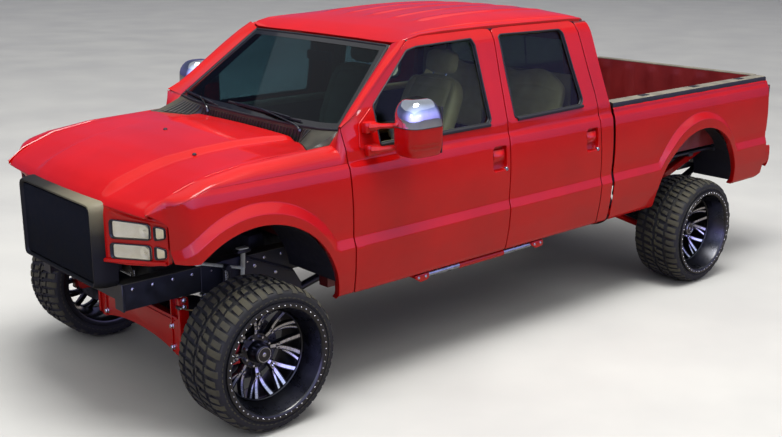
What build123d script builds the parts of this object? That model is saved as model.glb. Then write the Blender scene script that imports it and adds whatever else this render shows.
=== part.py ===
import os
from math import atan2, cos, degrees, hypot, pi, radians, sin, sqrt, tan

from build123d import *

os.makedirs("parts", exist_ok=True)

# Lifted crew-cab pickup truck, millimetres.
# Body datum: X forward from the front axle, Y to the left (driver's) side, Z up from the front tyre's contact.
# The body sits nose-down on its wheels by RAKE, so every body piece is turned about Y when it is written.
# Row frame: X forward, Y left, Z up, origin on the ground at the middle of the bounding box.

WHEELBASE = 4165.0
TYRE_R = 413.4          # tyre outer radius
TYRE_IN = 748.0         # inner sidewall of the left tyres
TYRE_OUT = 1131.0       # outer sidewall
LIP_Y = 1141.0          # outer lip of the rim
LIP_R = 335.0           # radius of the rim flanges
REAR_DROP = 71.7        # how far the rear wheels hang below the body datum
RAKE = degrees(atan2(REAR_DROP, WHEELBASE))
X_SHIFT = 2360.3        # body datum to row origin, so that the box is centred
KING_Y = 780.0          # kingpin axis
RAIL_IN, RAIL_OUT = 410.0, 490.0
RAIL_Z0, RAIL_Z1 = 660.0, 810.0
BELT_Z = 1470.0         # lower edge of the side windows
SILL_Z = 600.0          # lower edge of the body sides
BODY_Y = 1014.5         # half width at the widest line of the body
HOOD_Y = 858.0          # hood side seam
A_X, B_X, C_X = -650.0, -1982.0, -2945.0   # door seams at the belt
CAB_BACK = -3078.0
BED_FRONT, BED_BACK = -3102.0, -5232.0
ARCH_R = 570.0
FRONT_ARCH = (20.0, 585.0)
REAR_ARCH = (-4225.0, 585.0)
GAP = 5.0               # seam between panels
SEAM = 8.5              # seam at the door edges
HINGE_BACK = 60.0       # hinge line behind the door's leading edge
HINGE_Y = 990.0


class S(list):
    """Points that an outline passes through as one smooth curve."""


def _face(items, to3):
    edges, cur, first = [], None, None
    for it in items:
        if isinstance(it, S):
            pts = [Vector(*to3(*cur))] + [Vector(*to3(*p)) for p in it]
            edges.append(Edge.make_spline(pts))
            cur = it[-1]
        else:
            if cur is None:
                first = it
            else:
                edges.append(Edge.make_line(Vector(*to3(*cur)), Vector(*to3(*it))))
            cur = it
    if hypot(cur[0] - first[0], cur[1] - first[1]) > 1e-6:
        edges.append(Edge.make_line(Vector(*to3(*cur)), Vector(*to3(*first))))
    return Face(Wire(edges))


def px(items, x0, x1):
    """Outline in (y, z), drawn out along X."""
    return Part() + Solid.extrude(_face(items, lambda u, v: (x0, u, v)), Vector(x1 - x0, 0, 0))


def py(items, y0, y1):
    """Outline in (x, z), drawn out along Y."""
    return Part() + Solid.extrude(_face(items, lambda u, v: (u, y0, v)), Vector(0, y1 - y0, 0))


def pz(items, z0, z1):
    """Outline in (x, y), drawn out along Z."""
    return Part() + Solid.extrude(_face(items, lambda u, v: (u, v, z0)), Vector(0, 0, z1 - z0))


def box(x0, x1, y0, y1, z0, z1):
    return Part() + Solid.make_box(abs(x1 - x0), abs(y1 - y0), abs(z1 - z0)).translate(
        (min(x0, x1), min(y0, y1), min(z0, z1))
    )


def rod(p, q, r):
    p, q = Vector(*p), Vector(*q)
    d = q - p
    return Part() + Solid.make_cylinder(r, d.length, Plane(origin=p, z_dir=d))


def cy(x, z, r, y0, y1):
    return rod((x, y0, z), (x, y1, z), r)


def ring_y(x, z, outline):
    """Outline in (radius, y), turned about the axle line through (x, z)."""
    f = _face(outline, lambda u, v: (x + u, v, z))
    return Part() + Solid.revolve(f, 360, Axis((x, 0, z), (0, 1, 0)))


def mir(s):
    return Part() + s.mirror(Plane.XZ)


def both(s):
    return [s, mir(s)]


def hexa(a, b):
    """Solid between two four-cornered ends, a and b, with corners in matching order."""
    tris = [(a[0], a[1], a[2]), (a[0], a[2], a[3]), (b[0], b[2], b[1]), (b[0], b[3], b[2])]
    for i in range(4):
        j = (i + 1) % 4
        tris += [(a[i], b[i], b[j]), (a[i], b[j], a[j])]
    faces = [Face(Wire.make_polygon([Vector(*p) for p in t], close=True)) for t in tris]
    s = Solid(Shell(faces))
    return Part() + (s if s.volume > 0 else Solid(Shell([-f for f in faces])))


WRITTEN = {}


def write(name, shapes, raked=True):
    if not isinstance(shapes, (list, tuple)):
        shapes = [shapes]
    solids = []
    for s in shapes:
        solids += list(s.solids())
    out = []
    for s in solids:
        if raked:
            s = s.rotate(Axis.Y, RAKE)
        out.append(s.translate((X_SHIFT, 0, 0)))
    shape = out[0] if len(out) == 1 else Compound(out)
    WRITTEN[name] = shape
    export_step(shape, f"parts/{name}.step")


def to_row(x, y, z):
    """Body datum point to the row frame."""
    c, s = cos(radians(RAKE)), sin(radians(RAKE))
    return (x * c + z * s + X_SHIFT, y, -x * s + z * c)


# wheel centres on level ground, before X_SHIFT
FX, FZ = to_row(0, 0, TYRE_R)[0] - X_SHIFT, TYRE_R
RX, RZ = to_row(-WHEELBASE, 0, TYRE_R - REAR_DROP)[0] - X_SHIFT, TYRE_R

# ---------------------------------------------------------------- body section
GREEN = S([(250, 2133), (480, 2125), (620, 2110), (712, 2088), (778, 2045), (818, 1980), (853, 1860), (887, 1735), (942, 1540), (962, 1470)])
LOWER = [(968, 1392), (985, 1364), (996, 957), (BODY_Y, 900), (1003, 760), (978, 620), (958, SILL_Z)]
CAB_OUT = [(0, 2135), GREEN] + LOWER + [(0, SILL_Z)]


def outer(x0, x1):
    """Left half of the cab's outer section as a block."""
    return px(CAB_OUT, x0, x1)


DOOR_IN = [(1100, 560), (868, 560), (868, 1440), (895, 1490), (890, 1560), (842, 1735), (808, 1860), (775, 1972), (735, 2040), (735, 2300), (1100, 2300)]

# ---------------------------------------------------------------- wheels
RIM = [
    (300, 1141), (335, 1141), (335, 1130), (308, 1123), (303, 1100), (291, 1060), (291, 820), (303, 790),
    (307, 768), (335, 760), (335, 751), (299, 752), (281, 800), (281, 1040), (292, 1110),
]
TYRE = [
    (336, 1129), S([(360, 1131), (388, 1124), (404, 1112)]), (413.4, 1086), (413.4, 794), (404, 768),
    S([(388, 756), (360, 748), (336, 751)]), (336, 761), (309, 769), (311, 782), (372, 790),
    (394, 808), (394, 1072), (372, 1098), (311, 1106), (309, 1122), (336, 1128.6),
]


def rim(x, z):
    body = ring_y(x, z, RIM)
    disc = ring_y(x, z, [(31, 966), (31, 850), (70, 850), (70, 838), (176, 838), (176, 872), (74, 872), (74, 930), (100, 948), (283, 1000), (283, 1030), (110, 990), (70, 990), (70, 1004), (0.01, 1004), (0.01, 966)])
    cut = pz([(-26, 128), (26, 128), (62, 262), (40, 270), (-40, 270), (-62, 262)], 0, 200)
    for i in range(8):
        w = Part() + cut.rotate(Axis.X, 90).translate((0, 1100, 0))
        w = Part() + w.rotate(Axis.Y, 22.5 + 45 * i).translate((x, 0, z))
        disc = disc - w
    return body + disc


def tyre(x, z):
    return ring_y(x, z, TYRE)


rim_f, rim_r = rim(FX, FZ), rim(RX, RZ)
tyre_f, tyre_r = tyre(FX, FZ), tyre(RX, RZ)
write("front_left_rim", rim_f, False)
write("front_right_rim", mir(rim_f), False)
write("rear_left_rim", rim_r, False)
write("rear_right_rim", mir(rim_r), False)
write("front_left_tyre", tyre_f, False)
write("front_right_tyre", mir(tyre_f), False)
write("rear_left_tyre", tyre_r, False)
write("rear_right_tyre", mir(tyre_r), False)

# ---------------------------------------------------------------- axles and knuckles
# Knuckle: kingpin block, spindle, flange, caliper behind the rotor, steering arm to the rear
kn = box(FX - 50, FX + 50, KING_Y - 42, KING_Y + 55, FZ - 85, FZ + 85)
kn += rod((FX, KING_Y, FZ - 128), (FX, KING_Y, FZ + 128), 18)
kn += cy(FX, FZ, 88, KING_Y + 33, KING_Y + 47)
kn += cy(FX, FZ, 30, KING_Y + 40, 940)
cal = box(FX + 60, FX + 205, 812, 900, FZ - 55, FZ + 55) - cy(FX, FZ, 183, 831, 880)
kn += cal - cy(FX, FZ, 100, 827, 900)
kn += box(FX - 172, FX - 40, KING_Y - 40, KING_Y + 10, FZ - 78, FZ - 56)
kn += rod((FX - 165, KING_Y - 15, FZ - 78), (FX - 165, KING_Y - 15, FZ - 56), 26)
write("left_knuckle", kn, False)
write("right_knuckle", mir(kn), False)

ax = rod((FX, -690, FZ), (FX, 690, FZ), 42)
ax += ring_y(FX, FZ, [(0.01, 130), S([(95, 150), (135, 215), (135, 285), (95, 350), (0.01, 370)])])
yoke = box(FX - 46, FX + 46, 660, 700, FZ - 128, FZ + 128)
for s in (1, -1):
    ear = box(FX - 40, FX + 40, 690, 806, FZ + s * 94, FZ + s * 124)
    yoke += ear
yoke -= rod((FX, KING_Y, FZ - 200), (FX, KING_Y, FZ + 200), 18.6)
ax += yoke + mir(yoke)
for p in both(box(FX - 60, FX + 60, 395, 505, FZ + 30, FZ + 60) + box(FX - 66, FX - 20, 430, 480, FZ - 36, FZ + 36)):
    ax += p
write("front_axle", ax, False)

rx = rod((RX, -830, RZ), (RX, 830, RZ), 46)
rx += ring_y(RX, RZ, [(0.01, -190), S([(110, -165), (160, -70), (160, 70), (110, 165), (0.01, 190)])])
for p in both(cy(RX, RZ, 30, 800, 940) + cy(RX, RZ, 95, 812, 828) + (box(RX + 60, RX + 205, 812, 900, RZ - 55, RZ + 55) - cy(RX, RZ, 183, 831, 880) - cy(RX, RZ, 100, 827, 900))):
    rx += p
for p in both(box(RX - 70, RX + 70, 500, 580, RZ + 20, RZ + 56)):
    rx += p
write("rear_axle", rx, False)

tie = rod((FX - 165, -810, FZ - 106), (FX - 165, 810, FZ - 106), 18)
write("tie_rod", tie, False)

# ---------------------------------------------------------------- frame
fr = Part()
for p in both(box(-5150, 560, RAIL_IN, RAIL_OUT, RAIL_Z0, RAIL_Z1)):
    fr += p
for x, z0, z1 in ((470, 670, 800), (-1700, 670, 760), (-2700, 670, 760), (-3480, 700, 800), (-5100, 670, 800)):
    fr += box(x - 40, x + 40, -RAIL_IN - 10, RAIL_IN + 10, z0, z1)
write("frame_rails", fr)

cm = box(175, 215, -475, 475, 310, 470)
for p in both(box(160, 225, 395, 500, 300, RAIL_Z0)):
    cm += p
write("lift_crossmember", cm)

write("engine_block", box(-560, 330, -300, 300, 640, 1200))

dl = box(-1500, -580, -150, 150, 560, 800)
dl += rod((-1490, 0, 640), (-3880, 0, 420), 45)
write("driveline", dl)

write("fuel_tank", box(-2620, -1780, 120, 385, 520, 790))
ex = rod((-600, -290, 600), (-4950, -290, 600), 38)
ex += rod((-1900, -290, 600), (-2450, -290, 600), 95)
write("exhaust_pipe", ex)

fs = []
for s in (1, -1):
    c = rod((0, s * 450, 478), (0, s * 450, RAIL_Z0 - 1), 55)
    a = rod((-76, s * 455, 412), (-1150, s * 455, 620), 26) + box(-1180, -1120, s * 425, s * 485, 600, RAIL_Z0)
    d = rod((-70, s * 545, 430), (-70, s * 545, 900), 26) + box(-112, -62, s * 508, s * 530, 420, 900)
    fs += [c, a, d]
write("front_suspension", fs)

rs = []
for s in (1, -1):
    z0 = 400
    leaf = py([(-3400, 640), S([(-3780, 500), (-4165, 405), (-4550, 500), (-4930, 640)]), (-4930, 685), S([(-4550, 550), (-4165, 462), (-3780, 550), (-3400, 685)])], s * 505, s * 575)
    leaf += box(-3440, -3380, s * 491, s * 575, 640, 720) + box(-4960, -4900, s * 491, s * 575, 640, 720)
    rs.append(leaf)
    rs.append(rod((-4300, s * 452, 400), (-4400, s * 452, 640), 28))
write("rear_suspension", rs)
write("traction_bars", both(rod((-4085, 620, 300), (-3400, 455, 620), 26)))

# ---------------------------------------------------------------- cab
floor = box(CAB_BACK + 20, -560, -800, 800, 850, 880)
shell = floor
for p in both(box(CAB_BACK + 20, -610, 720, 800, SILL_Z + 10, 860)):
    shell += p
for xa, xb in ((-1925, -900), (-2900, -2230)):
    for p in both(box(xa, xb, 790, 862, SILL_Z + 20, 800)):
        shell += p
shell += box(-600, -560, -850, 850, 850, 1428)          # firewall
rear_edge = [(CAB_BACK, SILL_Z + 4), (CAB_BACK, 1400), (-3050, 1520), (-2990, 1900), (-2962, 2045)]
back = outer(CAB_BACK - 20, -2700) & py(rear_edge + [(-2912, 2045), (-2940, 1900), (-3000, 1520), (CAB_BACK + 50, 1400), (CAB_BACK + 50, SILL_Z + 4)], -10, 1200)
back -= box(CAB_BACK - 50, -2800, -50, 800, 500, 850)
c_in = px([(-10, 500), (862, 500), (862, 1440), (890, 1490), (885, 1560), (837, 1735), (803, 1860), (765, 1980), (720, 2050), (-10, 2300)], CAB_BACK + 30, -2700)
side_c = outer(CAB_BACK - 20, -2700) & py(rear_edge + [(-2823 - SEAM, 2045), (-2867 - SEAM, 1786), (-2912 - SEAM, 1544), (-2927 - SEAM, 1364), (-2950 - SEAM, 957), (-2950 - SEAM, SILL_Z + 4)], -10, 1200)
back = back + (side_c - c_in)
back -= box(CAB_BACK - 50, -2800, -50, 800, 500, 849)
back = back + mir(back)
back -= py([(-3120, 1560), (-3120, 1900), (-2900, 1900), (-2900, 1560)], -600, 600)
shell += back
# windscreen pillars: from the windscreen's edge to the door's front edge
WS_BOT, WS_TOP = (-672, 850, 1566), (-1203, 690, 1992)
PB, PT = (-636, 915, 1560), (-1222, 786, 2018)
pa = [(WS_BOT[0] + 4, WS_BOT[1] + 4, WS_BOT[2] - 10), PB, (PB[0] - 40, PB[1] - 16, PB[2] - 30), (WS_BOT[0] - 30, WS_BOT[1] - 20, WS_BOT[2] - 50)]
pb = [(WS_TOP[0] + 4, WS_TOP[1] + 4, WS_TOP[2]), PT, (PT[0] - 20, PT[1] - 20, PT[2] - 52), (WS_TOP[0] - 20, WS_TOP[1] - 15, WS_TOP[2] - 48)]
pillar = hexa(pa, pb)
door_gap = py([(-664 - 3, SILL_Z), (-655 + SEAM, 957), (-640 + SEAM, 1364), (-606, 1596), (-706, 1650), (-1014, 1886), (-1224, 2033), (-1360, 2053), (-1360, 600)], 600, 1200)
door_gap = door_gap & px([(1100, 560), (862, 560), (862, 1442), (889, 1492), (884, 1560), (836, 1733), (802, 1858), (769, 1970), (729, 2040), (729, 2300), (1100, 2300)], -1400, -500)
pillar -= door_gap
for a in range(3, 67, 7):
    sweep = py([(-640, 1364), (-606, 1596), (-706, 1648), (-790, 1712), (-790, 1364)], 600, 1200) & px([(1100, 1364), (932, 1364), (932, 1440), (926, 1470), (906, 1540), (856, 1725), (856, 1800), (1100, 1800)], -790, -500)
    sweep = sweep & box(A_X - 72 - 12, -500, 600, 1200, 1300, 1900)
    sweep = sweep.rotate(Axis((A_X - 12 - HINGE_BACK, HINGE_Y, 0), (0, 0, 1)), -a)
    pillar -= sweep
foot = box(-690, -598, 800, 846, 1380, 1500) + box(-690, -660, 800, 846, 1380, 1530)
for p in both(foot + pillar):
    shell += p
pil = outer(B_X - 30, B_X + 45) - px(DOOR_IN, B_X - 60, B_X + 60)
pil = pil - px([(DOOR_IN[1][0] - 8, 500), (DOOR_IN[1][0] - 8, 1440), (887, 1490), (882, 1560), (834, 1735), (800, 1860), (767, 1972), (727, 2040), (700, 2300), (1200, 2300), (1200, 500)], B_X - 60, B_X + 60)
pil = pil - px([(0, 840), (790, 840), (790, 1450), (820, 1500), (735, 1860), (690, 2040), (0, 2040)], B_X - 60, B_X + 60)
pil -= box(B_X - 60, B_X + 60, 0, 740, 500, 2200)
for p in both(pil):
    shell += p
ROOF_SIDE = [(-1195, 1985), S([(-1400, 2062), (-1700, 2108), (-2100, 2132), (-2500, 2132), (-2850, 2112), (-2965, 2085)]), (-3000, 2045), (-3000, 1960), (-1195, 1960)]
roof = py(ROOF_SIDE, 0, 1100) & outer(-3200, -1000)
inner = py([(-1150, 1900), (-1230, 1975), S([(-1400, 2020), (-1700, 2068), (-2100, 2092), (-2500, 2092), (-2800, 2075), (-2930, 2040)]), (-2930, 1900)], -1, 1100) & px([(-1, 1900), (735, 1900), (735, 2010), (650, 2065), (-1, 2100)], -3200, -1000)
roof = roof - inner - px([(775 - 40, 1900), (735, 2064), (1100, 2064), (1100, 1900)], -2990, -1000)
roof = roof + mir(roof)
roof -= py([(-3100, 1500), (-3100, 2046), (-2880, 2046), (-2880, 1500)], -1200, 1200)

WS_N = Vector(426, 0, 527).normalized()


def screen(grow, lift, t):
    """Flat windscreen with a bowed lower edge: its outline grown in its plane, lifted off it, t thick downward."""
    w = hypot(527, 426)
    pts = [(-846, 0), (-700, 22), (-450, 37), (0, 44), (450, 37), (700, 22), (846, 0), (686, -w), (-686, -w)]
    out = []
    for y, d in pts:
        d = d + grow if d > -w else d - grow
        out.append(Vector(-668 + 527 / w * d, y + (grow if y > 500 else -grow if y < -500 else 0), 1560 - 426 / w * d) + WS_N * lift)
    return Part() + Solid.extrude(Face(Wire.make_polygon(out, close=True)), WS_N * -t)


ws = screen(0, 0, 8)
rg = py([(-3035, 1564), (-3029, 1564), (-2976, 1896), (-2982, 1896)], -597, 597)
ws_room = screen(8, 3, 22)
shell = shell - roof
roof -= ws_room
shell -= ws_room
write("roof", roof)
write("cab_shell", shell)
write("cab_glass", [ws, rg])

# ---------------------------------------------------------------- doors
FD = [(-672, SILL_Z + 4), (-655, 957), (-640, 1364), (-612, 1592), (-712, 1640), (-1021, 1878), (-1229, 2026), (-1362, 2046), (-1900, 2058), (B_X + SEAM / 2, 2050), (B_X + SEAM / 2, SILL_Z + 4)]
FW = [(-880, BELT_Z - 6), (-876, 1690), (-1013, 1807), (-1206, 1975), (-1295, 1991), (-1778, 2006), (-1800, 1960), (-1835, 1497), (-1807, 1470)]
RD = [(B_X - SEAM / 2, SILL_Z + 4), (B_X - SEAM / 2, 2050), (-2100, 2058), (-2800, 2058), (-2823, 2052), (-2867, 1786), (-2912, 1544), (-2927, 1364), (-2950, 957), (-2950, SILL_Z + 4)]
RW = [(-2052, 1490), (-2023, 2000), (-2050, 2014), (-2643, 2010), (-2673, 1987), (-2772, 1524), (-2740, 1487), (-2083, 1474)]


def shrink(pts, d):
    cx = sum(p[0] for p in pts) / len(pts)
    cz = sum(p[1] for p in pts) / len(pts)
    out = []
    for x, z in pts:
        l = hypot(x - cx, z - cz)
        out.append((cx + (x - cx) * (l + d) / l, cz + (z - cz) * (l + d) / l))
    return out


# inner face of a door's thin leading edge, which swings in past the pillar
LEAD_IN = [(700, 500), (938, 500), (938, 1440), (932, 1470), (912, 1540), (862, 1725), (828, 1850), (794, 1966), (757, 2026), (750, 2040), (750, 2100), (700, 2100)]


def door(outline, window, lead):
    d = outer(-3200, -500) & py(outline, 500, 1100) & px(DOOR_IN, -3200, -500)
    d -= py(window, 500, 1100)
    d -= px(LEAD_IN, lead - HINGE_BACK - 22, lead + 200)
    return d - pz([(lead + 1, 983), (lead - 30, 1020), (lead + 60, 1020), (lead + 60, 983)], 400, 1380)


def glass(window):
    band = px([(948, 1440), (928, 1540), (873, 1735), (839, 1860), (804, 1980), (780, 2030), (774, 2028), (798, 1978), (833, 1858), (867, 1733), (922, 1538), (942, 1440)], -3200, -500)
    return band & py(shrink(window, -1.5), 500, 1100)


fd, rd = door(FD, FW, -662), door(RD, RW, B_X - SEAM / 2)
write("front_left_door", fd)
write("front_right_door", mir(fd))
write("rear_left_door", rd)
write("rear_right_door", mir(rd))
fg, rgl = glass(FW), glass(RW)
write("front_left_door_glass", fg)
write("front_right_door_glass", mir(fg))
write("rear_left_door_glass", rgl)
write("rear_right_door_glass", mir(rgl))

# ---------------------------------------------------------------- mirrors
mr = box(-1118, -862, 1050, 1260, 1425, 1745)
mr += rod((-860, 955, 1600), (-935, 1080, 1600), 18) + rod((-860, 975, 1480), (-935, 1080, 1480), 18)
mr += box(-890, -830, 940, 965, 1560, 1640) + box(-890, -830, 966, 985, 1455, 1510)
write("left_mirror", mr)
write("right_mirror", mir(mr))

# ---------------------------------------------------------------- fenders, hood, nose
fen_out = px([(HOOD_Y + 2, 1700), (HOOD_Y + 2, SILL_Z), (958, SILL_Z), (978, 620), (1003, 760), (BODY_Y, 900), (996, 957), (985, 1364), S([(965, 1405), (920, 1480), (HOOD_Y + 2, 1500)])], -647, 600)
side = py([(-672 + SEAM, SILL_Z), (-655 + SEAM, 957), (-640 + SEAM, 1364), (-612 + SEAM, 1592), (-610 + SEAM, 1700), (600, 1700), (600, SILL_Z)], 0, 1200)
top = py([(-700, 1590), (-560, 1520), S([(-430, 1492), (0, 1470), (270, 1429), (480, 1358), (598, 1290)]), (600, 940), (480, 1000), (480, 500), (-700, 500)], 0, 1200)
fen = fen_out & side & top
fen -= cy(*FRONT_ARCH, ARCH_R, 0, 1300)
fen -= box(300, 700, 0, 1300, 500, 1035)
fen -= box(-560, 520, 0, 968, 500, 1390)
fen -= box(-700, -560, 0, 962, 500, 1380)
lin = cy(*FRONT_ARCH, ARCH_R + 12, 500, 966) - cy(*FRONT_ARCH, ARCH_R + 2, 400, 1100)
lin = lin & box(-640, 400, 400, 1100, 700, 1300)
write("front_fenders", both(fen + lin))

HOOD_REAR = [(-427, 855), S([(-520, 700), (-580, 560), (-602, 430)]), (-602, -430), S([(-580, -560), (-520, -700), (-427, -855)])]
hood = py([(-604, 1468), S([(-430, 1480), (-200, 1480), (0, 1466), (200, 1440), (450, 1372), (600, 1300), (632, 1262)]), (600, 1262), S([(560, 1290), (420, 1346), (180, 1410), (-200, 1446), (-430, 1448), (-604, 1440)])], -HOOD_Y + 3, HOOD_Y - 3)
hood = hood & pz(HOOD_REAR + [(700, -855), (700, 855)], 1200, 1600)
write("hood", hood)

write("radiator", box(560, 687, -437, 437, 811, 1255))
hl = pz([(600, 470), (520, 780), (470, 900), (400, 955), (400, 470)], 985, 1215) 
write("headlights", both(hl))

cowl = py([(-425, 1425), (-425, 1458), (-560, 1474), (-626, 1474), (-641, 1526), (-650, 1522), (-642, 1466), (-613, 1443), (-601, 1434), (-560, 1430)], -848, 848)
cowl = cowl & pz([(-434, 848), S([(-527, 704), (-589, 562), (-611, 432)]), (-611, -432), S([(-589, -562), (-527, -704), (-434, -848)]), (-700, -848), (-700, 848)], 1300, 1600)
cowl = cowl - shell - ws_room
write("cowl_panel", cowl)
wp = []
for a, b in (((-634, 505, 1594), (-658, -280, 1608)), ((-616, -344, 1580), (-667, -815, 1612))):
    wp.append(rod(a, b, 6))
write("wipers", wp)

# ---------------------------------------------------------------- interior
db = py([(-605, 1100), (-605, 1430), (-700, 1500), (-900, 1490), (-960, 1400), (-960, 1250), (-860, 1100)], -795, 795)
write("dashboard", db)
sx, sy, sz = -1130, 400, 1300
sw = Part() + Solid.make_torus(190, 15, Plane(origin=(sx, sy, sz), z_dir=(-0.9, 0, 0.44)))
sw += rod((sx, sy, sz), (sx + 0.9 * 60, sy, sz - 0.44 * 60), 45)
for a in (0, 120, 240):
    pass
sw += box(sx - 8, sx + 8, sy - 190, sy + 190, sz - 12, sz + 12)
write("steering_wheel", sw)
seats = []
for s in (1, -1):
    c = s * 400
    q = box(-1880, -1330, c - 270, c + 270, 900, 1210)
    b = py([(-1800, 1211), (-1650, 1211), (-1850, 1720), (-1960, 1720)], c - 260, c + 260)
    h = box(-1985, -1880, c - 140, c + 140, 1725, 1890)
    seats += [q + b, h]
write("front_seats", [seats[0] + seats[1] + rod((-1920, 400, 1700), (-1930, 400, 1740), 12), seats[2] + seats[3] + rod((-1920, -400, 1700), (-1930, -400, 1740), 12)])
rb = box(-2880, -2330, -740, 740, 900, 1210) + py([(-2870, 1211), (-2700, 1211), (-2880, 1700), (-2960, 1700)], -740, 740)
write("rear_bench", rb)

# ---------------------------------------------------------------- bed
BED_OUT = [(935, 1445), (960, 1440), (968, 1392), (985, 1364), (996, 957), (BODY_Y, 900), (1003, 760), (978, 620), (958, SILL_Z), (935, SILL_Z)]
bs = px(BED_OUT, BED_BACK, BED_FRONT)
bs -= cy(*REAR_ARCH, ARCH_R, 0, 1300)
bs += px([(840, 1400), (940, 1400), (940, 1445), (840, 1445)], BED_BACK, BED_FRONT)
bs += px([(840, 930), (855, 930), (855, 1420), (840, 1420)], BED_BACK, BED_FRONT)
liner = cy(*REAR_ARCH, ARCH_R + 12, 590, 962) - cy(*REAR_ARCH, ARCH_R + 2, 602, 1100)
liner = liner & box(-4900, -3600, 400, 1100, 925, 1300)
bed = box(BED_BACK + 30, BED_FRONT, -855, 855, 925, 945)
for p in both(cy(*REAR_ARCH, ARCH_R + 6, 596, 1100)):
    bed -= p
bed += box(BED_FRONT - 40, BED_FRONT, -935, 935, 925, 1445)
for p in both(bs - (cy(*REAR_ARCH, ARCH_R + 1, 0, 870))):
    bed += p
for p in both(liner):
    bed += p
write("bed", bed)
write("bed_rail_caps", both(box(BED_BACK, BED_FRONT, 850, 955, 1446, 1466)))

tg = box(BED_BACK - 4, BED_BACK - 64, -830, 830, 940, 1465)
write("tailgate", tg)
tl = box(BED_BACK - 1, BED_BACK - 31, 840, 985, 1000, 1400)
write("tail_lights", both(tl))
bump = box(-5420, -5262, -900, 900, 690, 860)
bump += box(-5270, -5150, 410, 490, 680, 800) + box(-5270, -5150, -490, -410, 680, 800)
for p in both(box(-5420, -5200, 900, 985, 690, 860)):
    bump += p
bump -= box(-5238, -5100, 880, 1100, 600, 900) + box(-5238, -5100, -1100, -880, 600, 900)
bump += box(-5440, -5160, -42, 42, 590, 674) + box(-5300, -5250, -60, 60, 600, 700)
bump -= box(-5460, -5180, -25.5, 25.5, 606.5, 657.5)
bump -= rod((-5400, -100, 632), (-5400, 100, 632), 8)
write("rear_bumper", bump)

st = []
for s in (1, -1):
    g = Part()
    for x in (-1235, -2330):
        g += box(x - 60, x + 60, s * 740, s * 960, 545, 596) + box(x - 60, x + 60, s * 740, s * 790, 590, 609)
    g += rod((-1290, s * 930, 575), (-2280, s * 930, 575), 22)
    st.append(g)
write("step_bars", st)

bb = Compound([w for w in WRITTEN.values()]).bounding_box()
print("bbox", bb.min, bb.max, "centre x", (bb.min.X + bb.max.X) / 2)
print("front wheel", FX + X_SHIFT, FZ, "rear wheel", RX + X_SHIFT, RZ)
print(len(WRITTEN), "nodes")
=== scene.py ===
import math

import bmesh
import bpy
import numpy as np
from mathutils import Matrix, Vector, geometry


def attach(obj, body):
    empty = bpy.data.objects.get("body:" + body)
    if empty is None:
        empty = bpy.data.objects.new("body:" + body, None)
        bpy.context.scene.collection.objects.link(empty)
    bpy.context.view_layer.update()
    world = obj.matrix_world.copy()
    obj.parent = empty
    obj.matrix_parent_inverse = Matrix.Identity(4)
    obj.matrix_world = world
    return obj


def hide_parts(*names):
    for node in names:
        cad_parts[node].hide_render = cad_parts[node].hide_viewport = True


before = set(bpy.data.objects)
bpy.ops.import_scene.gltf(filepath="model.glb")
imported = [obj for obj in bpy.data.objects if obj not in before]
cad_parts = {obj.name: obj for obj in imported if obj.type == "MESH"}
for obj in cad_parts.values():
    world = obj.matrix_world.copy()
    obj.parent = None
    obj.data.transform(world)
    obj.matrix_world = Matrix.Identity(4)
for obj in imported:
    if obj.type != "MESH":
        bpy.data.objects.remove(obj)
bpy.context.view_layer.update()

PI = math.pi

# ------------------------------------------------------------------ frames
# Body datum (metres): x forward from the front axle, y left, z up. The body sits nose-down on its wheels.
TH = math.atan2(71.7, 4165.0)
CT, ST = math.cos(TH), math.sin(TH)
XS = 2.3603
FXW, RXW, WZ = 2.367416, -1.798202, 0.4134      # wheel centres in the row frame


def row(p):
    p = np.asarray(p, float)
    q = p.copy()
    q[..., 0] = p[..., 0] * CT + p[..., 2] * ST + XS
    q[..., 2] = p[..., 2] * CT - p[..., 0] * ST
    return q


def rown(p):
    p = np.asarray(p, float)
    q = p.copy()
    q[..., 0] = p[..., 0] * CT + p[..., 2] * ST
    q[..., 2] = p[..., 2] * CT - p[..., 0] * ST
    return q


def smooth(a, b, t):
    t = np.clip((np.asarray(t, float) - a) / (b - a), 0, 1)
    return t * t * (3 - 2 * t)


def interp(x, pts):
    p = np.asarray(pts, float)
    o = np.argsort(p[:, 0])
    return np.interp(x, p[o, 0], p[o, 1])


def table(pts, sigma, lo, hi, step=0.001):
    """Smoothed polyline as a dense table: returns f(t)."""
    p = np.asarray(pts, float)
    o = np.argsort(p[:, 0])
    t = np.arange(lo - 0.1, hi + 0.1, step)
    px_, py_ = p[o, 0], p[o, 1]
    y = np.interp(t, px_, py_)
    s0 = (py_[1] - py_[0]) / (px_[1] - px_[0])
    s1 = (py_[-1] - py_[-2]) / (px_[-1] - px_[-2])
    y = np.where(t < px_[0], py_[0] + s0 * (t - px_[0]), y)
    y = np.where(t > px_[-1], py_[-1] + s1 * (t - px_[-1]), y)
    k = np.arange(-int(4 * sigma / step), int(4 * sigma / step) + 1) * step
    w = np.exp(-0.5 * (k / sigma) ** 2)
    w /= w.sum()
    pad = len(k) // 2
    ye = np.concatenate([y[0] + (y[1] - y[0]) * np.arange(-pad, 0), y, y[-1] + (y[-1] - y[-2]) * np.arange(1, pad + 1)])
    ys = np.convolve(ye, w, mode="valid")
    return lambda q: np.interp(q, t, ys)


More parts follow.
